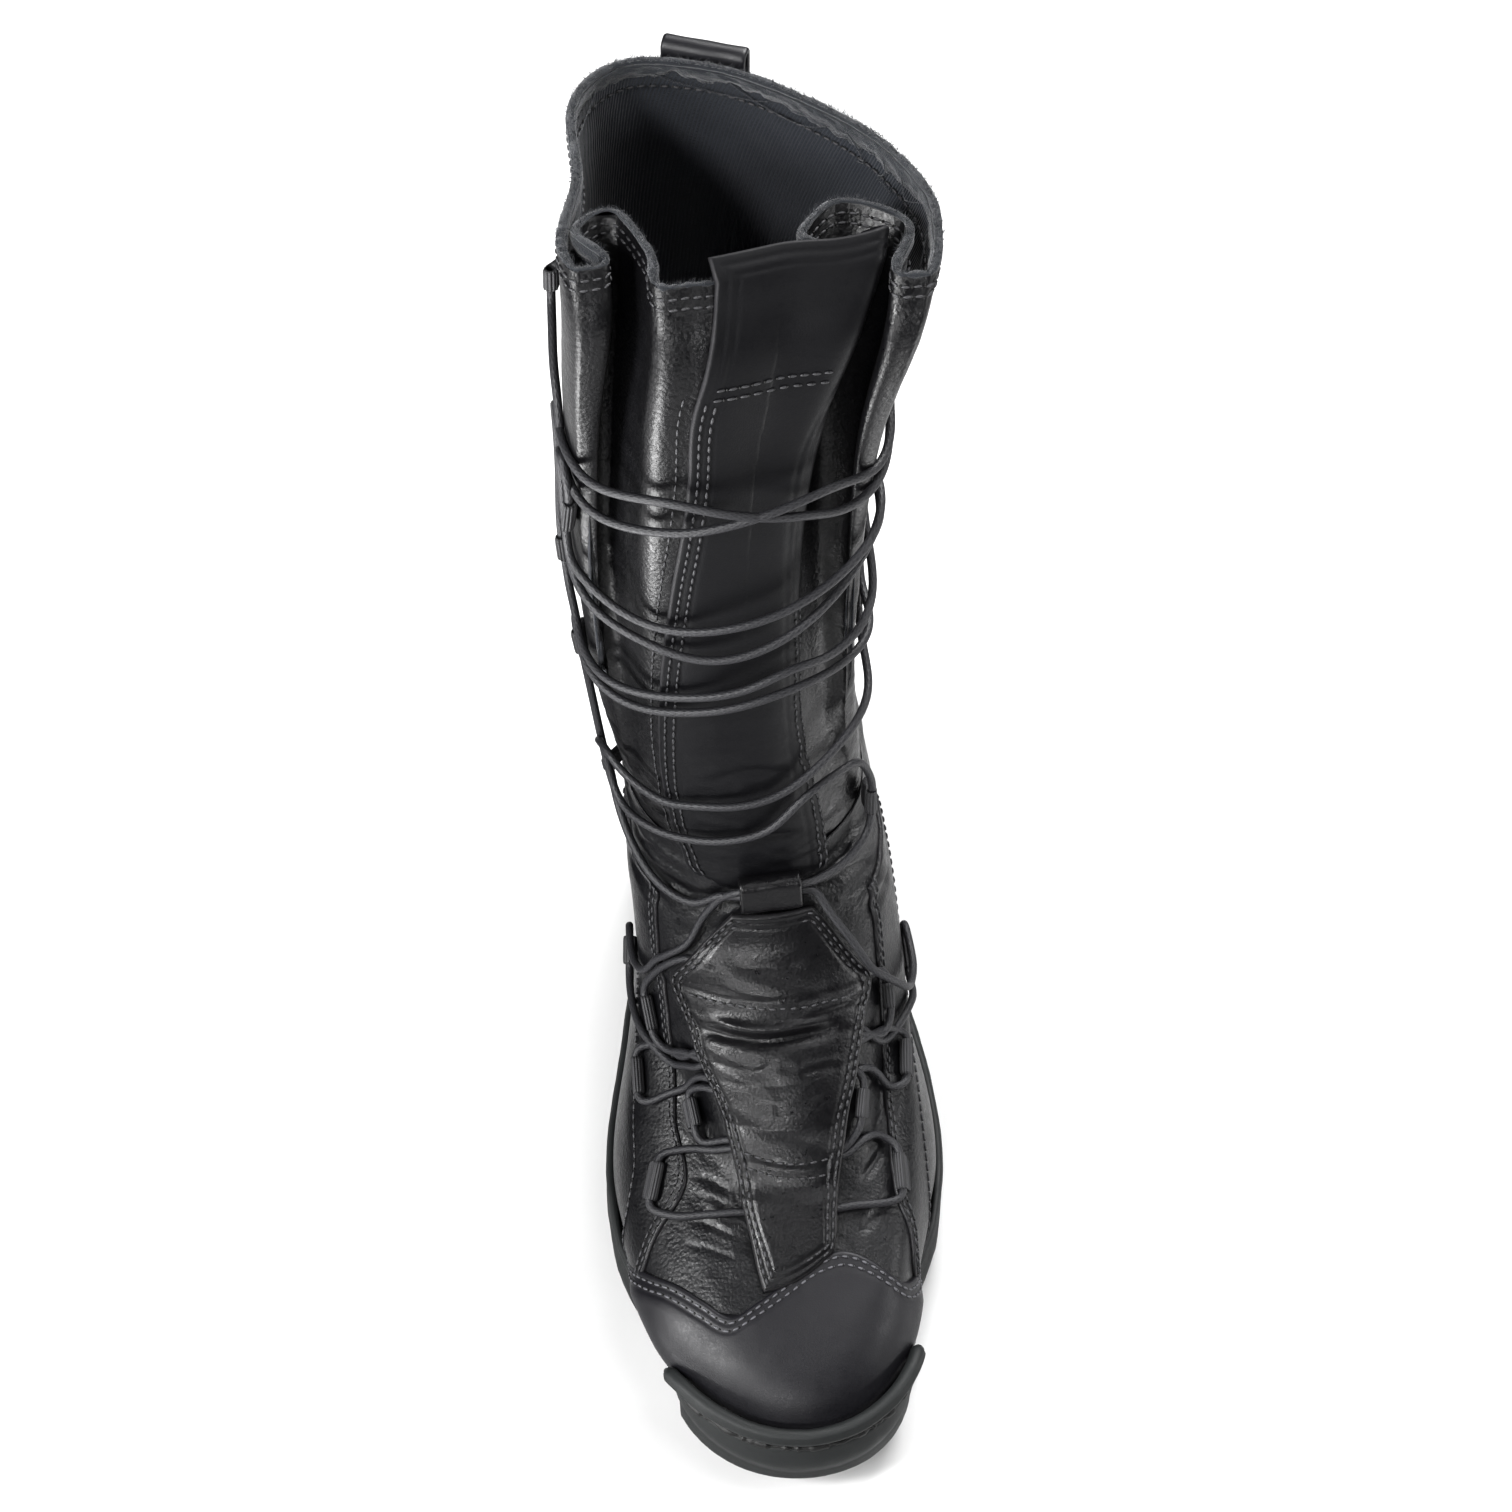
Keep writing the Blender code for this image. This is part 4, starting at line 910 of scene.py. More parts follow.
def grid_quads(rows: int, columns: int, wrap: bool = False,
               wrap_rows: bool = False) -> tuple[Array, Array, Array]:
    """Faces between the points of a grid.

    Args:
        rows: Number of rows.
        columns: Number of columns.
        wrap: True joins the last column to the first.
        wrap_rows: True joins the last row to the first.

    Returns:
        The row and the column of each face's first corner, and its four vertex numbers.
    """
    r, c = np.meshgrid(np.arange(rows if wrap_rows else rows - 1), np.arange(columns if wrap else columns - 1),
                       indexing="ij")
    r, c = r.ravel(), c.ravel()
    below, above, right = r * columns, (r + 1) % rows * columns, (c + 1) % columns
    return r, c, np.stack([below + c, below + right, above + right, above + c], 1)


@dataclass
class Shell:
    """A wall of leather, cloth or rubber between an outer and an inner grid of points.

    The grids have the same rows and columns. The inner face is made from every inner_step-th point, and
    the open sides are closed with one strip of faces.
    """

    outer: Array
    inner: Array
    closed: bool = False       # the last column joins the first
    inner_step: int = 1
    uv: Array | None = None    # UV place of each point of the grid, with one column more if closed
    wear: Array | None = None

    def build(self, name: str, finish: Finish, turned: bool = False) -> bpy.types.Object:
        """Make the piece.

        Args:
            name: The piece's name.
            finish: Its finish.
            turned: True turns every face outwards.

        Returns:
            The new object.
        """
        rows, columns = self.outer.shape[:2]
        r, c, quads = grid_quads(rows, columns, self.closed)
        faces: list = quads.tolist()
        uv = self.uv if self.uv is not None else np.zeros((rows, columns + 1, 2))
        corners = [np.stack([uv[r, c], uv[r, c + 1], uv[r + 1, c + 1], uv[r + 1, c]], 1).reshape(-1, 2)]
        inside = self._inside(faces, corners, uv)
        wear = np.zeros((rows, columns)) if self.wear is None else self.wear
        wear = np.concatenate([wear.ravel(), np.zeros(len(inside))])
        points = np.concatenate([self.outer.reshape(-1, 3), inside])
        return new_piece(name, points, faces, finish, np.concatenate(corners), wear, turned)

    def _inside(self, faces: list, corners: list, uv: Array) -> Array:
        """Add the inner face and the strips that close the sides.

        Args:
            faces: The shell's faces so far, added to.
            corners: Their UV places, added to.
            uv: UV place of each point of the grid.

        Returns:
            The inner face's points.
        """
        rows, columns = self.outer.shape[:2]
        base, end = rows * columns, columns if self.closed else columns - 1
        up, over = [*range(0, rows - 1, self.inner_step), rows - 1], [*range(0, end, self.inner_step), end]
        wide = len(over) - self.closed

        def put(face: Sequence[int], at_rows: list[int], at_columns: list[int]) -> None:
            """Add one face whose corners take their UV places from these rows and columns."""
            faces.append(face)
            corners.append(uv[at_rows, at_columns])

        for i, (low, high) in enumerate(zip(up, up[1:])):
            for j, (left, right) in enumerate(zip(over, over[1:])):
                k, a, b = (j + 1) % wide, base + i * wide, base + (i + 1) * wide
                put((a + j, b + j, b + k, a + k), [low, high, high, low], [left, left, right, right])
        high, top = base + (len(up) - 1) * wide, base - columns
        for j, (left, right) in enumerate(zip(over, over[1:])):
            k, chain = (j + 1) % wide, list(range(left, right + 1))
            side, rim = [0] * (len(chain) + 2), [c % columns for c in chain]
            put([base + j, base + k, *rim[::-1]], side, [left, right, *chain[::-1]])
            put([high + k, high + j, *(top + c for c in rim)], [rows - 1 for _ in side], [right, left, *chain])
        if not self.closed:
            for i, (low, high) in enumerate(zip(up, up[1:])):
                a, b, chain = base + i * wide, base + (i + 1) * wide, list(range(low, high + 1))
                side, rim = [0] * (len(chain) + 2), [r * columns for r in chain]
                put([b, a, *rim], [high, low, *chain], side)
                put([a + wide - 1, b + wide - 1, *(r + end for r in rim[::-1])], [low, high, *chain[::-1]],
                    [end for _ in side])
        return self.inner[np.ix_(up, over[:wide])].reshape(-1, 3)


def edged(count: int, size: float, edge: float, low: bool = True, high: bool = True) -> Array:
    """Shares from 0 to 1 that lie close together at rounded edges.

    Args:
        count: How many shares in all.
        size: Length that they divide, in millimetres.
        edge: Width of a rounded edge.
        low: True for a rounded edge at 0.
        high: True for a rounded edge at 1.

    Returns:
        The rising shares.
    """
    close = np.array((0, 0.06, 0.2, 0.45, 0.75, 1.0)) * edge / size
    parts = [close[:-1]] if low else []
    start = close[-1] if low else 0.0
    stop = 1 - close[-1] if high else 1.0
    parts.append(np.linspace(start, stop, count - 5 * (low + high)))
    if high:
        parts.append(1 - close[:-1][::-1])
    return np.concatenate(parts)


def edge_gap(points: Array, sides: tuple[bool, bool, bool, bool]) -> Array:
    """Way from each point of a grid to its nearest free side.

    Args:
        points: Grid of points.
        sides: Whether the left, right, bottom and top sides count.

    Returns:
        One length a point.
    """
    across = np.concatenate([np.zeros((points.shape[0], 1)),
                             np.cumsum(np.linalg.norm(np.diff(points, axis=1), axis=2), axis=1)], 1)
    up = np.concatenate([np.zeros((1, points.shape[1])),
                         np.cumsum(np.linalg.norm(np.diff(points, axis=0), axis=2), axis=0)], 0)
    gaps = (across, across[:, -1:] - across, up, up[-1:] - up)
    return np.minimum.reduce([g if side else np.full(across.shape, 1e3) for g, side in zip(gaps, sides)])


def rounded(gap: Array, edge: float) -> Array:
    """Share of the full thickness at a way in from a rounded edge."""
    t = 1 - np.clip(gap / edge, 0, 1)
    return EDGE_SHARE + (1 - EDGE_SHARE) * np.sqrt(1 - t * t)


def grooves(gap: Array, insets: Sequence[float], depth: float, width: float) -> Array:
    """Soft grooves that the stitch rows press at some ways in from an edge.

    Args:
        gap: Way from each point to the edge.
        insets: Way from the edge to the middle of each groove.
        depth: Depth of a groove.
        width: Its half width.

    Returns:
        Millimetres outwards, below zero in a groove.
    """
    return sum(-depth * np.exp(-(((gap - inset) / width) ** 2)) for inset in insets)


def grid_normals(points: Array) -> Array:
    """Outward directions of a grid of points."""
    return unit(np.cross(np.gradient(points, axis=1), np.gradient(points, axis=0)))


def circle(count: int, radius: float) -> Array:
    """Points round a circle."""
    angle = np.linspace(0, 2 * math.pi, count, endpoint=False)
    return np.stack([np.cos(angle), np.sin(angle)], 1) * radius


def swept(path: Array, outline: Callable[[int], Array], side: Array | None = None) -> Array:
    """Sweep an outline along a path without twisting it.

    Args:
        path: The path's points.
        outline: Sideways and outward sizes of the outline's points at a point of the path.
        side: First sideways direction, or None for any.

    Returns:
        Grid of points, one row a path point.
    """
    tangents = unit(np.gradient(path, axis=0))
    first = np.array((0.0, 0.0, 1.0)) if side is None else side
    if abs(np.dot(unit(first), tangents[0])) > 0.95:
        first = np.array((1.0, 0.0, 0.0))
    grid = []
    for i, tangent in enumerate(tangents):
        first = unit(first - tangent * np.dot(first, tangent))
        second = np.cross(tangent, first)
        flat = outline(i)
        grid.append(path[i] + flat[:, :1] * first + flat[:, 1:] * second)
    return np.array(grid)


def closed_tube(name: str, grid: Array, finish: Finish) -> bpy.types.Object:
    """A solid tube from a grid of rings, with both ends capped; its UV map runs once round.

    Args:
        name: The piece's name.
        grid: One ring of points a row.
        finish: Its finish.

    Returns:
        The new object.
    """
    rows, count = grid.shape[:2]
    way = lengths(grid.mean(axis=1))
    r, c, quads = grid_quads(rows, count, True)
    faces = quads.tolist()
    u, step = c / count, 1 / count
    low, high = way[r], way[r + 1]
    uv = np.stack([u, low, u + step, low, u + step, high, u, high], 1).reshape(-1, 2)
    faces.append(list(range(count))[::-1])
    faces.append([(rows - 1) * count + i for i in range(count)])
    uv = np.concatenate([uv, np.zeros((2 * count, 2))])
    return new_piece(name, grid.reshape(-1, 3), faces, finish, uv, turned=True)


def seam_inside(grid: Array, normals: Array, inset: float, from_left: bool) -> Array:
    """A seam that runs up a grid at a fixed distance from its left or right side.

    Args:
        grid: Points of the sewn piece.
        normals: Its outward directions.
        inset: Way from the side to the seam.
        from_left: True counts from the left side.

    Returns:
        Points along the seam.
    """
    if not from_left:
        grid, normals = grid[:, ::-1], normals[:, ::-1]
    path = []
    for row, out in zip(grid, normals):
        way = lengths(row)
        at = min(inset, way[-1] * 0.45)
        path.append([np.interp(at, way, row[:, k]) + 0.12 * np.interp(at, way, out[:, k]) for k in range(3)])
    return resampled(np.array(path)[3:-3], 1.0)


# ================================================================ repeats
class RepeatTree(Tree):
    """Geometry Nodes that repeat a small shape along every edge path of a mesh."""

    def __init__(self, name: str, sizes: Sequence[str], materials: Sequence[str]) -> None:
        """Start the tree with its named inputs.

        Args:
            name: The tree's name.
            sizes: Names of its sizes.
            materials: Names of its materials.
        """
        super().__init__(bpy.data.node_groups.new(name, "GeometryNodeTree"))
        self.ids = {}
        for kind, names in (("Geometry", ("Geometry",)), ("Float", sizes), ("Material", materials)):
            for each in names:
                socket = self.tree.interface.new_socket(each, in_out="INPUT", socket_type=f"NodeSocket{kind}")
                self.ids[each] = socket.identifier
        self.tree.interface.new_socket("Geometry", in_out="OUTPUT", socket_type="NodeSocketGeometry")

    def given(self, name: str) -> Wire:
        """One of the tree's inputs."""
        return self.add("NodeGroupInput", {}, {}, name)

    def spaced(self, curve: Wire, spacing: Wire) -> Wire:
        """Points along curves at an even spacing."""
        return self.add("GeometryNodeCurveToPoints", {"mode": "LENGTH"}, {"Curve": curve, "Length": spacing})

    def dressed(self, shapes: Wire, material: str) -> Wire:
        """Shapes in one of the tree's materials."""
        return self.add("GeometryNodeSetMaterial", {}, {"Geometry": shapes, "Material": self.given(material)})

    def deliver(self, shapes: Wire) -> None:
        """Wire the tree's result up."""
        self.tree.links.new(shapes.socket, self.tree.nodes.new("NodeGroupOutput").inputs["Geometry"])

    def repeat(self, name: str, chains: Sequence[Array], finish: Finish, values: dict) -> bpy.types.Object:
        """Run the tree along chains of points, and keep the result as a plain mesh.

        Args:
            name: The piece's name.
            chains: Points along each path.
            finish: The finish whose slot it takes.
            values: Value of each of the tree's inputs.

        Returns:
            The new object.
        """
        edges, start = [], 0
        for chain in chains:
            edges += [(start + i, start + i + 1) for i in range(len(chain) - 1)]
            start += len(chain)
        guide = bpy.data.meshes.new(name)
        guide.from_pydata(((np.concatenate(chains) + ORIGIN) * MM).tolist(), edges, [])
        obj = linked(name, guide)
        modifier = obj.modifiers.new("repeat", "NODES")
        modifier.node_group = self.tree
        for key, value in values.items():
            modifier[self.ids[key]] = value
        graph = bpy.context.evaluated_depsgraph_get()
        obj.data = bpy.data.meshes.new_from_object(
            obj.evaluated_get(graph), preserve_all_data_layers=True, depsgraph=graph)
        obj.modifiers.clear()
        bpy.data.meshes.remove(guide)
        obj["finish_slot"] = finish.value.slot
        return obj


class StitchTree(RepeatTree):
    """Geometry Nodes that lay one stitch after another, with a near-black dot of painted shade for the needle
    hole between two.
    """

    PITCH = 3.3

    def __init__(self) -> None:
        """Build the tree once."""
        super().__init__("stitch row", ("Pitch", "Stitch Length", "Thread Radius"), ("Thread", "Needle Hole"))
        add, given = self.add, self.given
        curve = add("GeometryNodeMeshToCurve", {}, {"Mesh": given("Geometry")})
        places = self.spaced(curve, given("Pitch"))
        thick = given("Thread Radius")
        size = add("ShaderNodeCombineXYZ", {}, {"X": thick, "Y": thick, "Z": given("Stitch Length") * 0.5})
        ball = add("GeometryNodeMeshUVSphere", {}, {"Segments": 6, "Rings": 5, "Radius": 1.0})
        stitch = add("GeometryNodeTransform", {}, {"Geometry": ball, "Scale": size})
        limits = {"Min": (-0.06, -0.06, 0.0), "Max": (0.06, 0.06, 0.0), "Seed": 7}
        sway = add("FunctionNodeRandomValue", {"data_type": "FLOAT_VECTOR"}, limits, "Value")
        sway = add("FunctionNodeEulerToRotation", {}, {"Euler": sway})
        turned = add("FunctionNodeRotateRotation", {"rotation_space": "LOCAL"},
                     {"Rotation": places.also("Rotation"), "Rotate By": sway})
        laid = add("GeometryNodeInstanceOnPoints", {},
                   {"Points": places, "Instance": stitch, "Rotation": turned})
        late = add("GeometryNodeTrimCurve", {"mode": "LENGTH"},
                   {"Curve": curve, "Start": given("Pitch") * 0.5, "End": 9.0})
        # Near-black dots of painted shade standing for the needle holes.
        dot = add("GeometryNodeMeshUVSphere", {}, {"Segments": 6, "Rings": 4, "Radius": thick})
        hole_shade_dots = add("GeometryNodeInstanceOnPoints", {},
                   {"Points": self.spaced(late, given("Pitch")), "Instance": dot})
        both = [self.dressed(laid, "Thread"), self.dressed(hole_shade_dots, "Needle Hole")]
        real = add("GeometryNodeRealizeInstances", {},
                   {"Geometry": add("GeometryNodeJoinGeometry", {}, {"Geometry": both})})
        self.deliver(add("GeometryNodeSetShadeSmooth", {}, {"Geometry": real}))

    def sew(self, name: str, seams: Sequence[Array], length: float = 2.5, radius: float = 0.42,
            thread: Finish = Finish.THREAD) -> bpy.types.Object:
        """Lay the stitches of several rows.

        Args:
            name: The piece's name.
            seams: Points along each row.
            length: Length of a stitch in millimetres.
            radius: Radius of the thread in millimetres.
            thread: Finish of the thread.

        Returns:
            One plain mesh with every stitch.
        """
        return self.repeat(name, seams, thread, {
            "Pitch": self.PITCH * MM, "Stitch Length": length * MM, "Thread Radius": radius * MM,
            "Thread": thread.material(), "Needle Hole": Finish.HOLE.material()})


class BristleTree(RepeatTree):
    """Geometry Nodes that set fine fibres at random angles."""

    SPACING, LENGTH, RADIUS = 0.30, 1.6, 0.11

    def __init__(self) -> None:
        """Build the tree once."""
        super().__init__("raw edge fibres", ("Spacing", "Fibre Length", "Fibre Radius"), ("Fibre",))
        add, given = self.add, self.given
        curve = add("GeometryNodeMeshToCurve", {}, {"Mesh": given("Geometry")})
        cone = {"Vertices": 3, "Radius Top": 0.0, "Radius Bottom": given("Fibre Radius")}
        fibre = add("GeometryNodeMeshCone", {}, {**cone, "Depth": given("Fibre Length")})
        limits = {"Min": (-1.15, -1.15, 0.0), "Max": (1.15, 1.15, 6.28), "Seed": 3}
        lean = add("FunctionNodeRandomValue", {"data_type": "FLOAT_VECTOR"}, limits, "Value")
        limits = {"Min": 0.35, "Max": 1.25, "Seed": 5}
        size = add("FunctionNodeRandomValue", {"data_type": "FLOAT"}, limits, "Value")
        places = self.spaced(curve, given("Spacing"))
        laid = add("GeometryNodeInstanceOnPoints", {},
                   {"Points": places, "Instance": fibre, "Rotation": lean, "Scale": size})
        self.deliver(self.dressed(add("GeometryNodeRealizeInstances", {}, {"Geometry": laid}), "Fibre"))

    def fray(self, name: str, path: Array, out: Array, sides: Sequence[float]) -> bpy.types.Object:
        """Loose fibres of a raw edge, bristling off rows beside its path.

        Args:
            name: The piece's name.
            path: Points along the edge.
            out: Sideways direction at each point.
            sides: How far each row lies to the side.

        Returns:
            One plain mesh with every fibre.
        """
        return self.repeat(name, [path + out * side for side in sides], Finish.EDGE, {
            "Spacing": self.SPACING * MM, "Fibre Length": self.LENGTH * MM, "Fibre Radius": self.RADIUS * MM,
            "Fibre": Finish.EDGE.material()})


# ================================================================ foot
LEATHER = 2.2              # wall of the foot upper
SHAFT_WALL = 2.0
GAP = 0.35
LAP_GAP = 0.5
CORD_RADIUS = 1.32


@dataclass
class FootUpper:
    """Vamp and quarters with their pressed folds, facings, heel counter and back strip."""

    last: Last
    stitches: StitchTree
    top: float = 11.0                      # height of the quarter top, in rows
    columns_front: int = 312
    columns_back: int = 48
    front_turn: float = 104.0
    rows: int = 221
    facing: float = 1.3                    # thickness of the facings
    facing_sink: float = 0.35              # how far their underside lies in the upper
    counter: float = 1.3                   # thickness of the heel counter
    strip: float = 1.2                     # thickness of the strip up the back seam
    sink: float = 0.3                      # how far the undersides of both lie in the upper
    creases: tuple[Crease, ...] = (
        # folds above the instep, where the foot bends
        Crease(((-62, 9.35), (-35, 9.75), (0, 9.95), (30, 9.9), (55, 9.5)), -1.5, 4.5, 0.6),
        Crease(((-58, 10.05), (-30, 10.2), (4, 10.22), (30, 10.1), (44, 9.95)), -1.3, 3.6, 0.4),
        Crease(((-70, 8.6), (-52, 8.95), (-38, 9.1)), -1.2, 4.0, 0.5),
        Crease(((40, 8.75), (52, 8.6), (68, 8.1)), -1.1, 4.0, 0.5),
        Crease(((-80, 9.6), (-66, 9.9), (-50, 10.0)), -1.0, 4.2, 0.4),
        Crease(((48, 9.9), (64, 9.6), (80, 9.1)), -1.0, 4.2, 0.4),
        # vamp beside the flap, medial
        Crease(((-50, 4.9), (-41, 5.35), (-28, 5.75)), -0.40, 2.2, 0.15),
        Crease(((-48, 4.7), (-39, 5.2), (-28, 5.55)), -0.28, 1.5, 0.1),
        Crease(((-48, 4.15), (-39, 4.8), (-24, 5.3)), -0.35, 1.6, 0.15),
        Crease(((-46, 3.85), (-36, 4.55), (-24, 5.0)), -0.30, 1.6, 0.1),
        Crease(((-56, 6.55), (-48, 6.8), (-40, 6.9)), -0.7, 3.0, 0.3),
        Crease(((-60, 7.3), (-50, 7.5), (-42, 7.55)), -0.7, 3.0, 0.3),
        # vamp beside the flap, lateral
        Crease(((20, 5.35), (32, 5.2), (44, 4.8)), -0.6, 2.6, 0.3),
        Crease(((22, 5.95), (36, 5.7), (50, 5.25)), -0.6, 2.8, 0.3),
        Crease(((26, 6.65), (40, 6.5), (54, 6.0)), -0.7, 3.0, 0.3),
        # soft hollows of the sides
        Crease(((-96, 7.6), (-88, 6.4), (-80, 5.2)), -1.2, 9.0, 0.0, 0.4),
        Crease(((96, 7.6), (86, 6.4), (76, 5.2)), -1.0, 9.0, 0.0, 0.4),
        Crease(((120, 9.6), (128, 8.0), (132, 6.2)), -0.9, 8.0, 0.0, 0.4),
        Crease(((-120, 9.6), (-128, 8.0), (-132, 6.2)), -0.9, 8.0, 0.0, 0.4),
    )
    # edges of the facings, from the sole up: turn and height
    medial_outer: Route = ((-59.5, 1.5), (-60.5, 2.3), (-63.5, 3.1), (-71.5, 3.7), (-78, 4.6), (-84, 6.0),
                           (-84, 7.6), (-80, 9.2))
    medial_inner: Route = ((-50.5, 1.6), (-50.2, 2.6), (-51.6, 3.6), (-50.2, 4.7), (-57.8, 5.2), (-58.5, 6.4),
                           (-54, 7.7), (-46, 9.1))
    lateral_outer: Route = ((58, 1.5), (61, 2.3), (66, 3.2), (72, 4.2), (78, 5.3), (80, 6.6), (78, 8.0),
                            (73, 9.2))
    lateral_inner: Route = ((46.5, 1.7), (46.2, 2.6), (46.5, 3.6), (44.5, 4.6), (50.5, 5.5), (51.5, 6.5),
                            (48, 7.8), (42, 9.1))
    counter_edge: Route = ((118, 1.3), (118, 3.0), (124, 4.8), (140, 6.1), (160, 6.9), (180, 7.1))

    def __post_init__(self) -> None:
        """Set up the folds and the even wrinkling."""
        self.field = Lattice(11)
        self.relief = Relief(self.last, self.creases, self.wrinkles)

    def wrinkles(self, turn: Array, v: Array, points: Array) -> Array:
        """Fine cross folds where the vamp and the ankle bend, and slight unevenness all over.

        Args:
            turn: Degrees round the boot.
            v: Height in rows.
            points: Points of the leather's plain form.

        Returns:
            Millimetres outwards at each point.
        """
        x, y, z = points[..., 0], points[..., 1], points[..., 2]
        front = ramp(-np.abs(turn), -78, -48)
        vamp = ramp(v, 4.1, 5.2) * (1 - ramp(v, 8.2, 9.2)) * front
        ankle = ramp(v, 8.4, 9.3) * (1 - ramp(v, 10.7, 11.0)) * ramp(-np.abs(turn), -100, -60)
        across = x / 9.0 + self.field.read(x / 14, y / 14, z / 14) * 0.9
        level = v + 0.039 * np.abs(turn)
        fine = self.field.read(across, level * 5.4, z / 30)
        coarse = self.field.read(x / 16.0 + 3, level * 2.6, z / 30 + 5)
        sharp = 1 - 2 * np.abs(fine)
        even = self.field.read(x / 17, y / 17, z / 17) * 0.35 + self.field.read(x / 7, y / 7, z / 7) * 0.10
        bent = vamp * (sharp * 0.13 + coarse * 0.16), ankle * (sharp * 0.25 + coarse * 0.55)
        return even * ramp(v, 1.5, 3.5) + bent[0] + bent[1]

    def surface(self, turn: Array, v: Array, lift: float = 0.0) -> Array:
        """Points on the upper's outside, or this far off it.

        Args:
            turn: Degrees round the boot.
            v: Height in rows.
            lift: How far off the outside.

        Returns:
            One point a place.
        """
        turn, v = np.broadcast_arrays(np.asarray(turn, float), np.asarray(v, float))
        skived = LEATHER - 2.0 * ramp(v, 10.2, 10.95)
        relief = self.relief.height(turn, v) * (1 - ramp(v, 10.5, 10.95))
        return self.last.at(turn, v, skived + relief + lift)

    def build(self) -> list[bpy.types.Object]:
        """Make the upper and everything sewn flat on it.

        Returns:
            The new objects.
        """
        front = np.linspace(-self.front_turn, self.front_turn, self.columns_front, endpoint=False)
        back = np.linspace(self.front_turn, 360 - self.front_turn, self.columns_back, endpoint=False)
        turns = np.concatenate([front, back])
        heights = np.linspace(0, self.top, self.rows)
        turn, v = np.meshgrid(turns, heights)
        outer = self.surface(turn, v)
        relief = self.relief.height(turn, v)
        # Lighter on raised folds: partly rub wear, partly a painted highlight.
        wear = ramp(relief, 0.1, 1.2) * 0.45
        shell = Shell(outer, self.last.at(turn, v, 0.0), True, 4, None, wear)
        upper = shell.build("foot_upper_leather", Finish.GRAINED)
        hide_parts("upper")
        pieces = [upper]
        for side, low, high in (("medial", self.medial_outer, self.medial_inner),
                                ("lateral", self.lateral_inner, self.lateral_outer)):
            pieces += self.make_facing(side, low, high)
        return pieces + self.make_counter()

    def make_facing(self, side: str, left: Route, right: Route) -> list[bpy.types.Object]:
        """One facing with its two rows of stitches along the inner edge and one along the outer.

        Args:
            side: The side's name.
            left: Its edge on the lower turns, from the sole up.
            right: Its edge on the higher turns.

        Returns:
            The facing and its stitches.
        """
        rows, columns = 150, 26
        s, edges = edged(rows, 150, 1.2), []
        for route in (left, right):
            places, _ = self.last.route(route)
            share = np.linspace(0, 1, len(places))
            edges.append(np.stack([np.interp(s, share, places[:, k]) for k in (0, 1)], 1))
        a, b = edges
        t = edged(columns, 16, 1.2)[None, :, None]
        grid = a[:, None] * (1 - t) + b[:, None] * t
        turn, v = grid[..., 0], grid[..., 1]
        under = self.surface(turn, v, -self.facing_sink)
        gap = edge_gap(under, (True, True, False, True))
        thick = self.facing * rounded(gap, 1.2)
        outer = under + self.last.normal(turn, v) * (thick + self.facing_sink)[..., None]
        wear = 1.3 * (1 - ramp(gap, 0.1, 1.0))
        facing = Shell(outer, under, False, 5, None, wear).build(f"{side}_facing", Finish.GRAINED)
        normals = grid_normals(outer)
        inner_first = side == "lateral"
        seams = [seam_inside(outer, normals, inset, inner_first) for inset in (2.0, 4.1)]
        seams.append(seam_inside(outer, normals, 1.9, not inner_first))
        return [facing, self.stitches.sew(f"{side}_facing_stitches", seams)]

    def make_counter(self) -> list[bpy.types.Object]:
        """Heel counter round the back with its double row of stitches, and the strip up the back seam.

        Returns:
            The counter, the strip and their stitches.
        """
        half, _ = self.last.route(self.counter_edge, 1.5)
        mirrored = np.stack([360 - half[::-1, 0], half[::-1, 1]], 1)[1:]
        edge = np.concatenate([half, mirrored])
        t = edged(40, 60, 1.4, False, True)[:, None]
        turn = np.broadcast_to(edge[:, 0], (40, len(edge)))
        v = 1.0 + (edge[:, 1] - 1.0) * t
        under = self.surface(turn, v, -self.sink)
        gap = edge_gap(under, (True, True, False, True))
        outer = under + self.last.normal(turn, v) * (self.counter * rounded(gap, 1.4) + self.sink)[..., None]
        wear = 1 - ramp(gap, 0, 1.5)
        counter = Shell(outer, under, False, 5, None, wear).build("heel_counter", Finish.GRAINED)
        normals = grid_normals(outer)
        across = outer.transpose(1, 0, 2), normals.transpose(1, 0, 2)
        rows = [seam_inside(*across, inset, False) for inset in (2.2, 4.6)]
        strip_turn, strip_v = np.meshgrid(180 + np.linspace(-9, 9, 22), np.linspace(6.6, 11.0, 60))
        width = edge_gap(self.surface(strip_turn, strip_v), (True, True, False, False))
        under = self.surface(strip_turn, strip_v, -self.sink)
        thick = self.strip * rounded(width, 1.2) + self.sink
        outer = under + self.last.normal(strip_turn, strip_v) * thick[..., None]
        wear = 1 - ramp(width, 0, 1.5)
        strip = Shell(outer, under, False, 3, None, wear).build("back_strip", Finish.GRAINED)
        normals = grid_normals(outer)
        rows += [seam_inside(outer - normals * 0.25, normals, 2.8, side) for side in (True, False)]
        return [counter, strip, self.stitches.sew("heel_stitches", rows)]


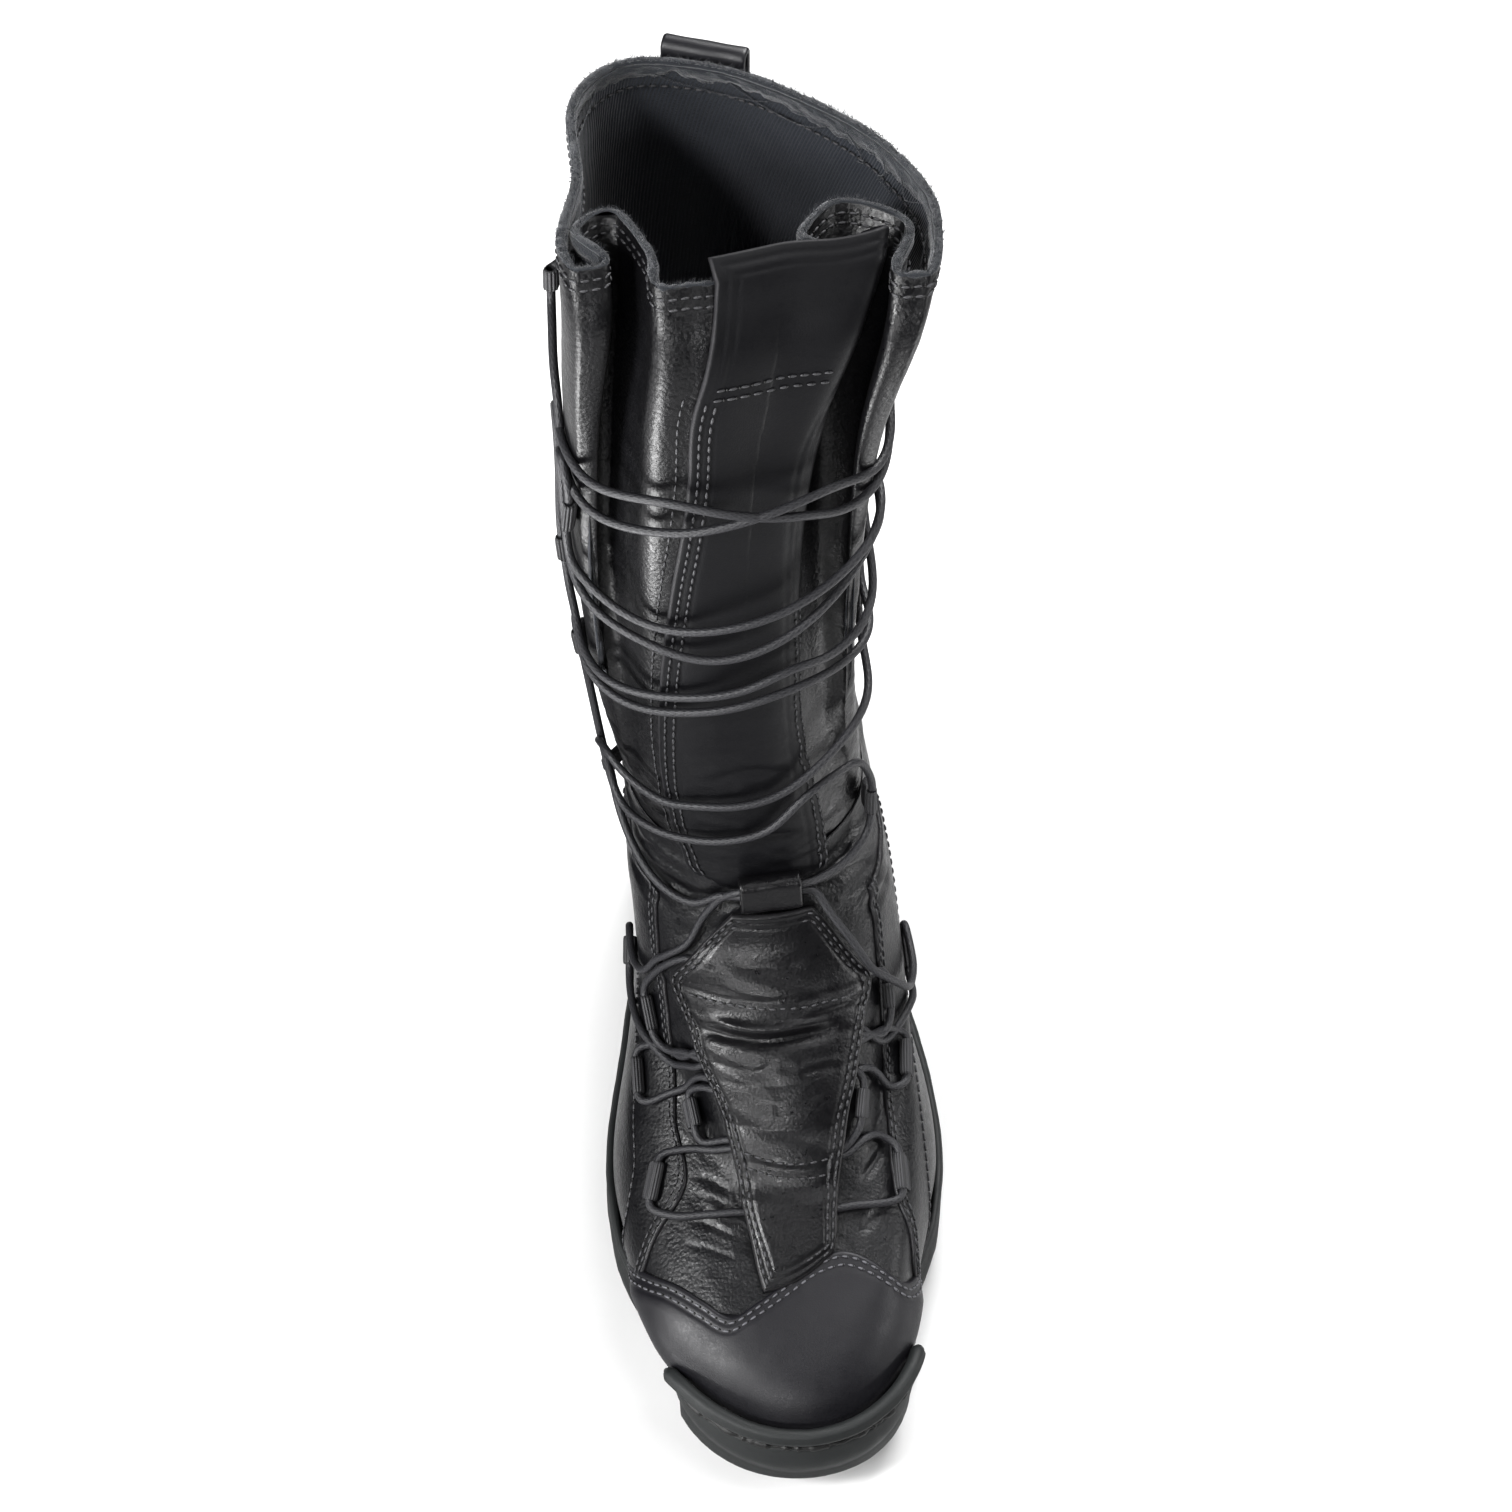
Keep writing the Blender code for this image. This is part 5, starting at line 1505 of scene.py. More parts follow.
@dataclass
class ToeCap:
    """Winged toe cap of smooth leather over the vamp."""

    last: Last
    stitches: StitchTree
    thickness: float = 1.4
    foot_v: float = 0.95                   # its lower edge, down inside the cup sole
    fullness: float = 2.7                  # swell of its sides behind the toe bumper
    seams: tuple[float, ...] = (2.6, 5.3)  # way of each stitch row from its edge
    wing: Route = ((-64, 1.15), (-55.3, 1.98), (-47.8, 2.78), (-42, 3.28), (-31.9, 3.76), (-23.4, 4.0),
                   (-16.5, 4.52), (-4.1, 5.14), (4.5, 5.33), (14, 5.27), (27.8, 4.52), (39.8, 3.14),
                   (48.7, 2.16), (58, 1.25))

    def build(self) -> list[bpy.types.Object]:
        """Make the cap and its double row of stitches.

        Returns:
            The cap and its stitches.
        """
        edge, _ = self.last.route(self.wing, 1.1)
        rows = 90
        t = edged(rows, 60, 1.4, False, True)[:, None]
        turn = np.broadcast_to(edge[:, 0], (rows, len(edge)))
        v = self.foot_v + (edge[:, 1] - self.foot_v) * t
        under = self.last.at(turn, v, LEATHER + 0.1)
        gap = edge_gap(under, (False, False, False, True))
        field = Lattice(23)
        places = under.transpose(2, 0, 1)
        dents = field.read(*(places / 15)) * 0.22 + field.read(*(places / 5)) * 0.05
        groove = grooves(gap, self.seams, 0.22, 0.7)
        side = np.abs(turn)
        full = ramp(side, 22, 42) * (1 - ramp(side, 50, 68)) * ramp(v, 1.0, 1.8) * (1 - ramp(v, 1.9, 3.9))
        lift = self.thickness * rounded(gap, 1.5) + dents * ramp(v, 1.2, 2.0) + groove + 0.1
        lift = lift + self.fullness * full * ramp(gap, 1, 9)
        outer = under + self.last.normal(turn, v) * lift[..., None]
        # Lighter at the rubbed edge, and on raised dents, where it is partly rub wear and partly a painted
        # highlight.
        wear = (1 - ramp(gap, 0, 1.6)) * 0.9 + ramp(dents, 0.05, 0.3) * 0.25
        cap = Shell(outer, under, False, 6, None, wear).build("toe_cap_leather", Finish.SMOOTH)
        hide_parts("toe_cap")
        across, normals = outer.transpose(1, 0, 2), grid_normals(outer).transpose(1, 0, 2)
        seams = [seam_inside(across, normals, inset, False) for inset in self.seams]
        return [cap, self.stitches.sew("toe_cap_stitches", seams, thread=Finish.PALE_THREAD)]


# ================================================================ lacing
@dataclass(frozen=True)
class Loop:
    """A webbing loop: turn and height in rows at both ends of its hole, and how far its axis stands off."""

    name: str
    turn_a: float
    v_a: float
    turn_b: float
    v_b: float
    lift: float

    def ends(self, last: Last, folds: bool) -> Array:
        """Both ends of the hole's axis."""
        return last.at(np.array((self.turn_a, self.turn_b)), np.array((self.v_a, self.v_b)), self.lift, folds)


FOOT_TOP = 10.0            # height in rows where the foot ends and the shaft begins, for the lace
FOOT_LIFT, SIDE_LIFT, SHAFT_LIFT, LOW_LIFT = 5.95, 3.5, 4.4, 2.7
STRAND = LEATHER + GAP + 2.2
LOOPS = (
    Loop("foot_loop_medial_outer_3", -58.7, 4.20, -56.3, 3.56, FOOT_LIFT),
    Loop("foot_loop_medial_inner_b", -49.1, 6.12, -49.1, 5.66, FOOT_LIFT),
    Loop("foot_loop_medial_outer_2", -73.0, 4.83, -69.8, 4.40, FOOT_LIFT),
    Loop("foot_loop_medial_inner_a", -66.6, 6.58, -65.6, 6.10, FOOT_LIFT),
    Loop("foot_loop_medial_outer_1", -88.0, 5.72, -86.5, 5.28, FOOT_LIFT),
    Loop("foot_loop_lateral_outer_3", 49.2, 5.00, 46.3, 4.56, FOOT_LIFT),
    Loop("foot_loop_lateral_inner_b", 28.5, 6.92, 25.5, 6.66, FOOT_LIFT),
    Loop("foot_loop_lateral_outer_2", 64.6, 5.68, 62.2, 5.27, FOOT_LIFT),
    Loop("foot_loop_lateral_inner_a", 49.5, 7.46, 51.0, 7.08, FOOT_LIFT),
    Loop("foot_loop_lateral_outer_1", 85.0, 5.66, 83.0, 5.24, FOOT_LIFT),
    Loop("shaft_loop_lateral_4", 45.0, 10.95, 46.5, 11.20, 6.0),
    Loop("shaft_loop_medial_4", -70.0, 10.64, -70.0, 10.88, 5.8),
    Loop("shaft_loop_medial_3", -76.0, 11.92, -76.0, 12.12, SIDE_LIFT),
    Loop("shaft_loop_lateral_3", 78.0, 12.16, 78.0, 12.34, SIDE_LIFT),
    Loop("shaft_loop_lateral_2", 80.0, 12.66, 80.0, 12.84, SIDE_LIFT),
    Loop("shaft_loop_medial_2", -82.0, 12.62, -82.0, 12.80, SIDE_LIFT),
    Loop("shaft_loop_medial_1", -53.0, 13.60, -55.5, 13.40, 5.2),
    Loop("shaft_loop_lateral_1", 80.0, 13.52, 80.0, 13.70, 4.2),
    Loop("shaft_loop_lateral_0", 96.0, 14.40, 96.0, 14.58, 4.4),
    Loop("shaft_loop_medial_0", -96.0, 14.40, -96.0, 14.58, SIDE_LIFT),
)
TAB_RUNS = (Loop("instep_tab_rear", -6.5, 10.78, 10.5, 10.78, 7.1),
            Loop("instep_tab_front", -6.5, 10.52, 10.5, 10.52, 7.1))


# The two halves of the lace, from the lowest bar to their ends: turn, height and stand-off of the axis, or the
# name of a loop that the lace runs straight through. Without a stand-off the lace lies on the leather.
LACE_A: tuple = (
    (-3, 5.88), (-23, 5.64), (-39, 4.94), (-50, 3.98, 5.2), "foot_loop_medial_outer_3", (-56.6, 4.67, 5.2),
    (-49.5, 5.30), (-38, 5.92), (-27, 6.37), (-10, 6.56), (8, 6.52), (17, 6.50, 5.2),
    "foot_loop_lateral_inner_b", (26, 7.22, 5.2), (16, 7.32), (0, 7.28), (-20, 7.16), (-35.7, 6.98),
    (-45, 6.58), (-60, 5.44), (-65.8, 4.72, 5.2), "foot_loop_medial_outer_2", (-72, 5.20, 5.2), (-66, 5.78),
    (-60.4, 6.19), (-50, 6.66), (-36, 7.28), (-15, 7.60), (15, 7.65), (34, 7.40), (44, 7.02, 5.4),
    "foot_loop_lateral_inner_a", (44, 7.84, 5.4), (28, 8.08), (0, 8.10), (-22, 7.72), (-38, 7.02),
    (-49, 6.60), (-59, 6.02), (-67, 5.66, 5.0), (-77, 5.36, 5.2), "foot_loop_medial_outer_1",
    (-86, 6.22, 5.8), (-79, 6.42, 5.4), (-70, 6.76, 5.0), (-55, 7.72), (-43, 8.30), (-33.5, 8.74),
    (-25, 9.50, 4.8), (-14, 10.38, 6.0), "instep_tab_rear", (22, 10.50, 5.6), (33, 10.34, 5.0),
    (42, 10.56, 5.4), "shaft_loop_lateral_4", (42, 11.62), (31, 11.72), (20, 11.70), (6, 11.52),
    (-8, 11.43), (-22, 11.33), (-38, 11.20, 5.0), (-54, 11.10, 5.4), (-66, 11.45), "shaft_loop_medial_3",
    (-72, 12.36, LOW_LIFT), (-57, 12.35, 3.6), (-38, 12.38), (-13, 12.53), (13, 12.63), (36, 12.61),
    (56, 12.56, 3.2), (70, 12.54, LOW_LIFT), "shaft_loop_lateral_2", (76, 13.04, LOW_LIFT),
    (60, 12.90, 3.0), (44, 12.78), (31, 12.74), (17, 12.78), (0, 12.70), (-17, 12.62), (-43, 12.47),
    (-56, 12.44, 3.4), (-68, 12.46, LOW_LIFT), "shaft_loop_medial_2", (-88, 13.20, LOW_LIFT),
    (-86, 13.60, LOW_LIFT), (-74, 13.88, LOW_LIFT), (-60, 13.88, 3.4), (-45, 13.84), (-18, 13.92),
    (17, 13.81), (34, 13.71), (48, 13.74), (58, 13.88, 3.6), (70, 14.06, 3.4), (84, 14.20, 3.8),
    "shaft_loop_lateral_0",
)
LACE_B: tuple = (
    (-3, 5.88), (13.5, 5.82), (23.6, 5.60), (36, 5.10), (43, 4.66, 5.2), "foot_loop_lateral_outer_3",
    (47.5, 5.34, 5.2), (37.3, 6.02), (27.3, 6.36), (16, 6.42), (0, 6.66), (-15, 6.62), (-28, 6.45),
    (-40, 5.94), (-46, 5.58, 5.2), "foot_loop_medial_inner_b", (-44.5, 6.50, 5.6), (-34.7, 6.88),
    (-15, 7.05), (4, 7.12), (20, 7.16), (31, 7.10), (41, 6.62), (50, 6.02), (57, 5.50, 5.2),
    "foot_loop_lateral_outer_2", (61, 6.14, 5.2), (50, 6.84), (39.4, 7.22), (30, 7.42), (12, 7.52),
    (-15, 7.42), (-38.5, 7.13), (-50, 6.74), (-60, 6.18, 5.2), "foot_loop_medial_inner_a", (-64, 6.98, 5.2),
    (-56.5, 7.49), (-43.4, 8.16), (-33, 8.52), (-10, 8.50), (15, 8.20), (30, 7.62), (42, 7.02), (50, 6.70),
    (58, 6.38, 5.0), (67, 6.02, 5.4), (76, 5.58, 5.4), "foot_loop_lateral_outer_1", (83, 6.16, 5.8),
    (76, 6.24, 6.2), (66, 6.56, 8.0), (54, 7.20, 10.9), (42.3, 7.80, 11.1), (34.2, 8.22, 11.5),
    (28.9, 8.66, 11.5), (24.0, 9.14, 10.9), (20, 9.72, 9.0), (17.5, 10.24, 7.4), "instep_tab_front",
    (-15, 10.32, 5.6), (-28, 9.70, 4.8), (-42, 9.60, 4.8), (-54, 9.95, 5.0), (-66, 10.36, 5.6),
    "shaft_loop_medial_4", (-65, 11.35, 5.6), (-54, 11.62), (-42, 11.62), (-30, 11.62), (-16, 11.72),
    (11, 11.81), (31, 11.93), (46, 12.02), (62, 12.04, 3.2), "shaft_loop_lateral_3", (88, 12.58, LOW_LIFT),
    (94, 12.80, LOW_LIFT), (90, 13.15, LOW_LIFT), (76, 13.38, LOW_LIFT), (60, 13.44, 3.4), (47, 13.38),
    (34, 13.20), (17, 13.04), (-8, 12.92), (-32, 12.94), (-50, 12.98, 4.0), (-60, 13.06, 3.2),
    (-66, 13.36, LOW_LIFT), (-65, 13.72, 3.2), (-57, 13.84, 5.0), "shaft_loop_medial_1", (-54, 13.18, 5.0),
    (-46, 13.12), (-28, 13.07), (0, 13.16), (30, 13.27), (46, 13.36), (60, 13.38, 3.4), (72, 13.40, 3.2),
    "shaft_loop_lateral_1", (74, 13.98, 3.4), (60, 13.92, 3.6), (46, 13.84), (26, 13.92), (6, 13.87),
    (-21, 13.72), (-46, 13.65), (-58, 13.74, 3.6), (-70, 14.02, LOW_LIFT), (-86, 14.22, LOW_LIFT),
    "shaft_loop_medial_0",
)


@dataclass
class Lacing:
    """The long cord, wrapped round foot and shaft, and the webbing loops that carry it."""

    last: Last
    lead: float = 2.0                      # straight run of cord beyond each loop
    sides: int = 12
    webbing: float = 0.6                   # thickness of the webbing
    anchor: float = 4.3                    # how far a foot loop's tail reaches before it is sewn down
    shaft_anchor: float = 5.5              # the same for a shaft loop
    paths: list = field(default_factory=list)

    def axis(self, route: Sequence) -> Array:
        """The cord's axis along a route, as points a millimetre or so apart.

        Args:
            route: Stops of one half of the lace.

        Returns:
            Points along the axis.
        """
        named = {loop.name: loop for loop in (*LOOPS, *TAB_RUNS)}
        stops: list = []
        straight = []
        for i, stop in enumerate(route):
            if not isinstance(stop, str):
                lies = STRAND if stop[1] < FOOT_TOP else SHAFT_LIFT
                stops.append(np.array((*stop, lies)[:3], float))
                continue
            loop = named[stop]
            ends = [np.array((loop.turn_a, loop.v_a, loop.lift)), np.array((loop.turn_b, loop.v_b, loop.lift))]
            before, first, second = (self.last.at(*place, False) for place in (stops[-1], *ends))
            if np.linalg.norm(second - before) < np.linalg.norm(first - before):
                ends = ends[::-1]
            beyond = (ends[1] - ends[0]) * self.lead / np.linalg.norm(second - first)
            straight.append(len(stops))
            stops += [ends[0] - beyond, (ends[0] + ends[1]) / 2 if i == len(route) - 1 else ends[1] + beyond]
        table = np.array(stops)
        at = self.last.at(*table.T, False)
        knots = np.concatenate([[0], np.cumsum(np.linalg.norm(np.diff(at, axis=0), axis=1) ** 0.5)])
        pieces = []
        for i in range(len(table) - 1):
            if i in straight:
                pieces.append(at[i] + (at[i + 1] - at[i]) * np.linspace(0, 1, 13)[:, None])
            else:
                fine = smooth_curve(knots, table, np.linspace(knots[i], knots[i + 1], 25))
                pieces.append(self.last.at(*fine.T, False))
        path = resampled(np.concatenate([pieces[0]] + [piece[1:] for piece in pieces[1:]]), 1.1)
        for _ in range(8):
            path[1:-1] = (path[:-2] + 2 * path[1:-1] + path[2:]) / 4
        return path

    def build(self, wanted: Sequence[str]) -> list[bpy.types.Object]:
        """Make the cord and each wanted loop.

        Args:
            wanted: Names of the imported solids.

        Returns:
            Both halves of the cord, then the loops.
        """
        ring = circle(self.sides, CORD_RADIUS)
        self.paths = [self.axis(LACE_A), self.axis(LACE_B)]
        halves = [closed_tube(f"lace_half_{number}", swept(path, lambda i: ring), Finish.CORD)
                  for number, path in enumerate(self.paths, 1)]
        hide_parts("lace")
        return halves + [self.make_loop(loop) for loop in LOOPS if loop.name in wanted]

    def make_loop(self, loop: Loop) -> bpy.types.Object:
        """One webbing loop: a band that wraps the cord and runs back down to the leather.

        Args:
            loop: The loop's place.

        Returns:
            The new object.
        """
        folds = loop.name.startswith("foot")
        a, b = loop.ends(self.last, folds)
        axis = unit(b - a)
        turn, v = (loop.turn_a + loop.turn_b) / 2, (loop.v_a + loop.v_b) / 2
        out = self.last.normal(np.array(turn), np.array(v), folds)
        out = unit(out - axis * out.dot(axis))
        away = np.cross(axis, out)
        farther = self.last.at(np.array(turn + math.copysign(4, turn)), np.array(v), loop.lift, folds)
        if away.dot(farther - (a + b) / 2) < 0:
            away = -away
        reach = self.anchor if folds else self.shaft_anchor
        drop = loop.lift - (LEATHER if folds else 0.0) - 0.9
        hole, skin = self.outline(reach, drop)
        width = np.linalg.norm(b - a)
        along = np.linspace(0, 1, 15)
        outer, inner = [], []
        for share in along:
            middle = a + axis * width * share
            frayed = 1 - 0.10 * (2 * share - 1) ** 8
            outer.append(middle + skin[:, :1] * away * frayed + skin[:, 1:] * out * frayed)
            inner.append(middle + hole[:, :1] * away + hole[:, 1:] * out)
        outer, inner = np.array(outer), np.array(inner)
        way = lengths(skin)
        u = np.concatenate([way, [way[-1] + np.linalg.norm(skin[0] - skin[-1])]])
        uv = np.stack(np.meshgrid(u, along * width), -1)
        piece = Shell(outer, inner, True, 1, uv).build(f"{loop.name}_webbing", Finish.WEBBING, True)
        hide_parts(loop.name)
        return piece

    def outline(self, reach: float, drop: float) -> tuple[Array, Array]:
        """Cross-section of a loop: the cord's hole, and the ribbed skin with its tail, in 64 steps each.

        Args:
            reach: Way from the cord's axis to the tail's end.
            drop: Depth of the tail's end under the cord's axis.

        Returns:
            The hole's points and the skin's.
        """
        count = 132
        share = np.linspace(0, 1, count, endpoint=False)
        angle = (share * 1.55 + 0.225) * math.pi      # from just above the tail round to just below it
        turned = np.clip(angle, 0.35 * math.pi, 1.65 * math.pi)
        radius = CORD_RADIUS + 0.25 + self.webbing
        skin = np.stack([np.cos(turned), np.sin(turned)], 1) * radius
        upper, lower = share < 0.30, share > 0.72
        t = ((0.30 - share) / 0.30)[upper]
        start = skin[upper][-1]
        skin[upper] = np.stack([start[0] + (reach - start[0]) * t,
                                start[1] + (-drop + self.webbing * 1.3 - start[1]) * ramp(t, 0, 0.95)], 1)
        t = ((share - 0.72) / 0.28)[lower]
        start = skin[lower][0]
        skin[lower] = np.stack([start[0] + (reach - start[0]) * t,
                                start[1] + (-drop - start[1]) * ramp(t, 0, 0.7)], 1)
        ribs = 0.38 * np.abs(np.sin(lengths(skin) * math.pi / Weave.pitch)) ** 0.7
        outward = np.stack([np.gradient(skin[:, 1]), -np.gradient(skin[:, 0])], 1)
        centre = skin.mean(0)
        outward = unit(outward) * np.sign(((skin - centre) * unit(outward)).sum(1))[:, None]
        skin = skin + outward * ribs[:, None]
        return circle(count, CORD_RADIUS + 0.15), skin


# ================================================================ instep flap
@dataclass(frozen=True)
class FlapRow:
    """A row across the instep flap: its two edges in turn and height, and its height in the middle."""

    left_turn: float
    left_v: float
    middle_v: float
    right_turn: float
    right_v: float
    lift: float


@dataclass
class InstepFlap:
    """Kite-shaped flap of wrinkled leather that hides the foot lacing."""

    last: Last
    stitches: StitchTree
    cords: Sequence[Array]
    thickness: float = 1.9
    seams: tuple[float, ...] = (2.6, 4.9)  # way of each stitch row from its edge
    rows: int = 230
    columns: int = 120
    sag: float = 5.6                       # stand-off of its underside between the cords
    over_cord: float = 6.75                # stand-off where it lies on a cord
    outline: tuple[FlapRow, ...] = (
        FlapRow(-14.5, 4.74, 5.06, 9.5, 5.34, 3.0), FlapRow(-19.5, 5.25, 5.38, 11.0, 5.54, 4.9),
        FlapRow(-24.0, 5.72, 5.82, 11.9, 5.94, 6.4), FlapRow(-24.6, 6.20, 6.42, 14.0, 6.35, 6.7),
        FlapRow(-25.5, 6.50, 6.67, 16.5, 6.60, 6.8), FlapRow(-28.7, 6.88, 7.00, 20.0, 6.88, 6.9),
        FlapRow(-34.4, 7.20, 7.35, 24.5, 7.15, 7.2), FlapRow(-38.0, 7.52, 7.80, 31.0, 7.60, 6.8),
        FlapRow(-42.7, 7.98, 8.30, 36.5, 8.02, 7.2), FlapRow(-34.0, 8.50, 8.75, 30.0, 8.50, 6.8),
        FlapRow(-26.7, 8.95, 9.20, 24.2, 8.94, 6.4), FlapRow(-13.5, 9.84, 9.90, 15.8, 9.84, 5.6),
    )
    creases: tuple[Crease, ...] = (
        Crease(((-36, 7.62), (-27, 7.74), (-10, 7.86), (8, 7.9), (22, 7.8)), -2.0, 3.4, 1.2, 0.25),
        Crease(((-30, 7.40), (-20, 7.44), (-6, 7.52)), -0.3, 2.4, 0.25),
        Crease(((2, 7.5), (12, 7.48), (20, 7.4)), -0.4, 2.0, 0.3),
        Crease(((4, 8.1), (16, 8.06), (28, 7.95)), -0.4, 1.8, 0.3),
        Crease(((-20, 8.72), (-6, 8.80), (12, 8.82)), -0.35, 4.0, 0.1),
    )

    def wrinkles(self, turn: Array, v: Array, points: Array) -> Array:
        """Fine cross wrinkles, strongest round the deep fold.

        Args:
            turn: Degrees round the boot; not used.
            v: Height in rows.
            points: Points of the leather's plain form.

        Returns:
            Millimetres outwards at each point.
        """
        x, y, z = points[..., 0], points[..., 1], points[..., 2]
        field = Lattice(31)
        bent = np.exp(-(((v - 7.55) / 0.75) ** 2))
        across = x / 6.5 + field.read(x / 9, y / 9, z / 9) * 1.2
        fine = 1 - 2 * np.abs(field.read(across, v * 6.6, z / 30))
        soft = field.read(x / 13 + 4, v * 2.3, z / 30)
        return fine * (0.02 + 0.12 * bent) + soft * (0.12 + 0.12 * bent)

    def build(self) -> list[bpy.types.Object]:
        """Make the flap and its stitches.

        Returns:
            The flap and its stitches.
        """
        table = np.array([astuple(row) for row in self.outline])
        s = edged(self.rows, 150, 1.2)
        left_turn, left_v, middle_v, right_turn, right_v, lift = smooth_curve(
            np.linspace(0, 1, len(table)), table, s).T[..., None]
        t = edged(self.columns, 45, 1.2)[None]
        bow = middle_v - (left_v + right_v) / 2
        turn = left_turn + (right_turn - left_turn) * t
        v = left_v + (right_v - left_v) * t + bow * 4 * t * (1 - t)
        plain = self.last.at(turn, v, 5.0)
        lift = np.minimum(lift, self.draped(plain))
        under = self.last.at(turn, v, lift)
        gap = edge_gap(under, (True,) * 4)
        relief = Relief(self.last, self.creases, self.wrinkles).height(turn, v) * ramp(gap, 0, 5)
        groove = grooves(gap, self.seams, 0.26, 0.8)
        lines = (self.wide_seam, self.low_seam)
        seam = sum(-0.5 * np.exp(-((np.abs(v - line(turn)) * 14 / 0.9) ** 2)) for line in lines)
        outer = under + self.last.normal(turn, v) * (
            self.thickness * rounded(gap, 1.3) + relief + groove + seam * ramp(gap, 3, 6))[..., None]
        # Lighter on raised wrinkles, partly rub wear and partly a painted highlight, and at the rubbed edges.
        wear = ramp(relief, 0.0, 0.8) * 0.35 + (1 - ramp(gap, 0.1, 1.1)) * 1.1
        flap = Shell(outer, under, False, 5, None, wear).build("instep_flap_leather", Finish.FLAP)
        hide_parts("instep_flap")
        normals = grid_normals(outer)
        seams = [self.round_edge(outer, normals, inset) for inset in self.seams]
        for line, offset in ((self.wide_seam, -0.09), (self.low_seam, -0.1), (self.low_seam, 0.08)):
            seams.append(self.across(outer, normals, turn, v, lambda a: line(a) + offset))
        return [flap, self.stitches.sew("instep_flap_stitches", seams, 2.3, 0.46)]

    def draped(self, plain: Array) -> Array:
        """Stand-off of the underside: low between the cords, and resting on them.

        Args:
            plain: Grid of points of the flap before it sinks.

        Returns:
            One stand-off a point.
        """
        cords = np.concatenate(self.cords)
        low, high = plain.reshape(-1, 3).min(0) - 12, plain.reshape(-1, 3).max(0) + 12
        cords = cords[np.all((cords > low) & (cords < high), axis=1)]
        tree = KDTree(len(cords))
        for i, point in enumerate(cords):
            tree.insert(point, i)
        tree.balance()
        gap = np.array([tree.find(point)[2] for point in plain.reshape(-1, 3)]).reshape(plain.shape[:2])
        return self.sag + (self.over_cord - self.sag) * np.exp(-(np.clip(gap - 1.2, 0, None) / 5.0) ** 2)

    @staticmethod
    def wide_seam(turn: Array) -> Array:
        """Height of the seam across the flap's widest place."""
        return np.interp(turn, (-43, -30, -16.4, 0, 16, 36), (7.98, 8.2, 8.33, 8.36, 8.3, 8.06))

    @staticmethod
    def low_seam(turn: Array) -> Array:
        """Height of the seam across the flap's narrow end."""
        return np.interp(turn, (-25, -14, 5.5, 16), (6.4, 6.44, 6.44, 6.42))

    @staticmethod
    def round_edge(grid: Array, normals: Array, inset: float) -> Array:
        """A closed row of stitches at a fixed distance inside all four edges.

        Args:
            grid: Points of the flap.
            normals: Its outward directions.
            inset: Way from the edge to the row.

        Returns:
            Points along the row.
        """
        gap = edge_gap(grid, (True,) * 4)
        path = []
        rows, columns = gap.shape
        left = [(r, slice(0, columns // 2)) for r in range(0, rows, 2)]
        right = [(r, slice(columns - 1, columns // 2, -1)) for r in range(rows - 1, -1, -2)]
        for index in left + right:
            along = gap[index]
            if along.max() <= inset:
                continue
            k = int(np.argmax(along > inset))
            t = (inset - along[k - 1]) / max(along[k] - along[k - 1], 1e-6)
            points = grid[index]
            path.append(points[k - 1] + (points[k] - points[k - 1]) * t + normals[index][k] * 0.12)
        return resampled(np.array(path), 1.0)

    @staticmethod
    def across(grid: Array, normals: Array, turn: Array, v: Array, line: Callable[[Array], Array]) -> Array:
        """A row of stitches across the flap where its height follows a line.

        Args:
            grid: Points of the flap.
            normals: Its outward directions.
            turn: Degrees round the boot at each point.
            v: Height in rows at each point.
            line: Height of the row at each turn.

        Returns:
            Points along the row.
        """
        path = []
        for c in range(6, grid.shape[1] - 6):
            over = v[:, c] - line(turn[:, c])
            k = int(np.argmax(over > 0))
            if k:
                t = -over[k - 1] / (over[k] - over[k - 1])
                path.append(grid[k - 1, c] + (grid[k, c] - grid[k - 1, c]) * t + normals[k, c] * 0.15)
        points = np.array(path)
        way = lengths(points)
        inside = (way > 5.5) & (way < way[-1] - 5.5)
        return resampled(points[inside], 1.0)


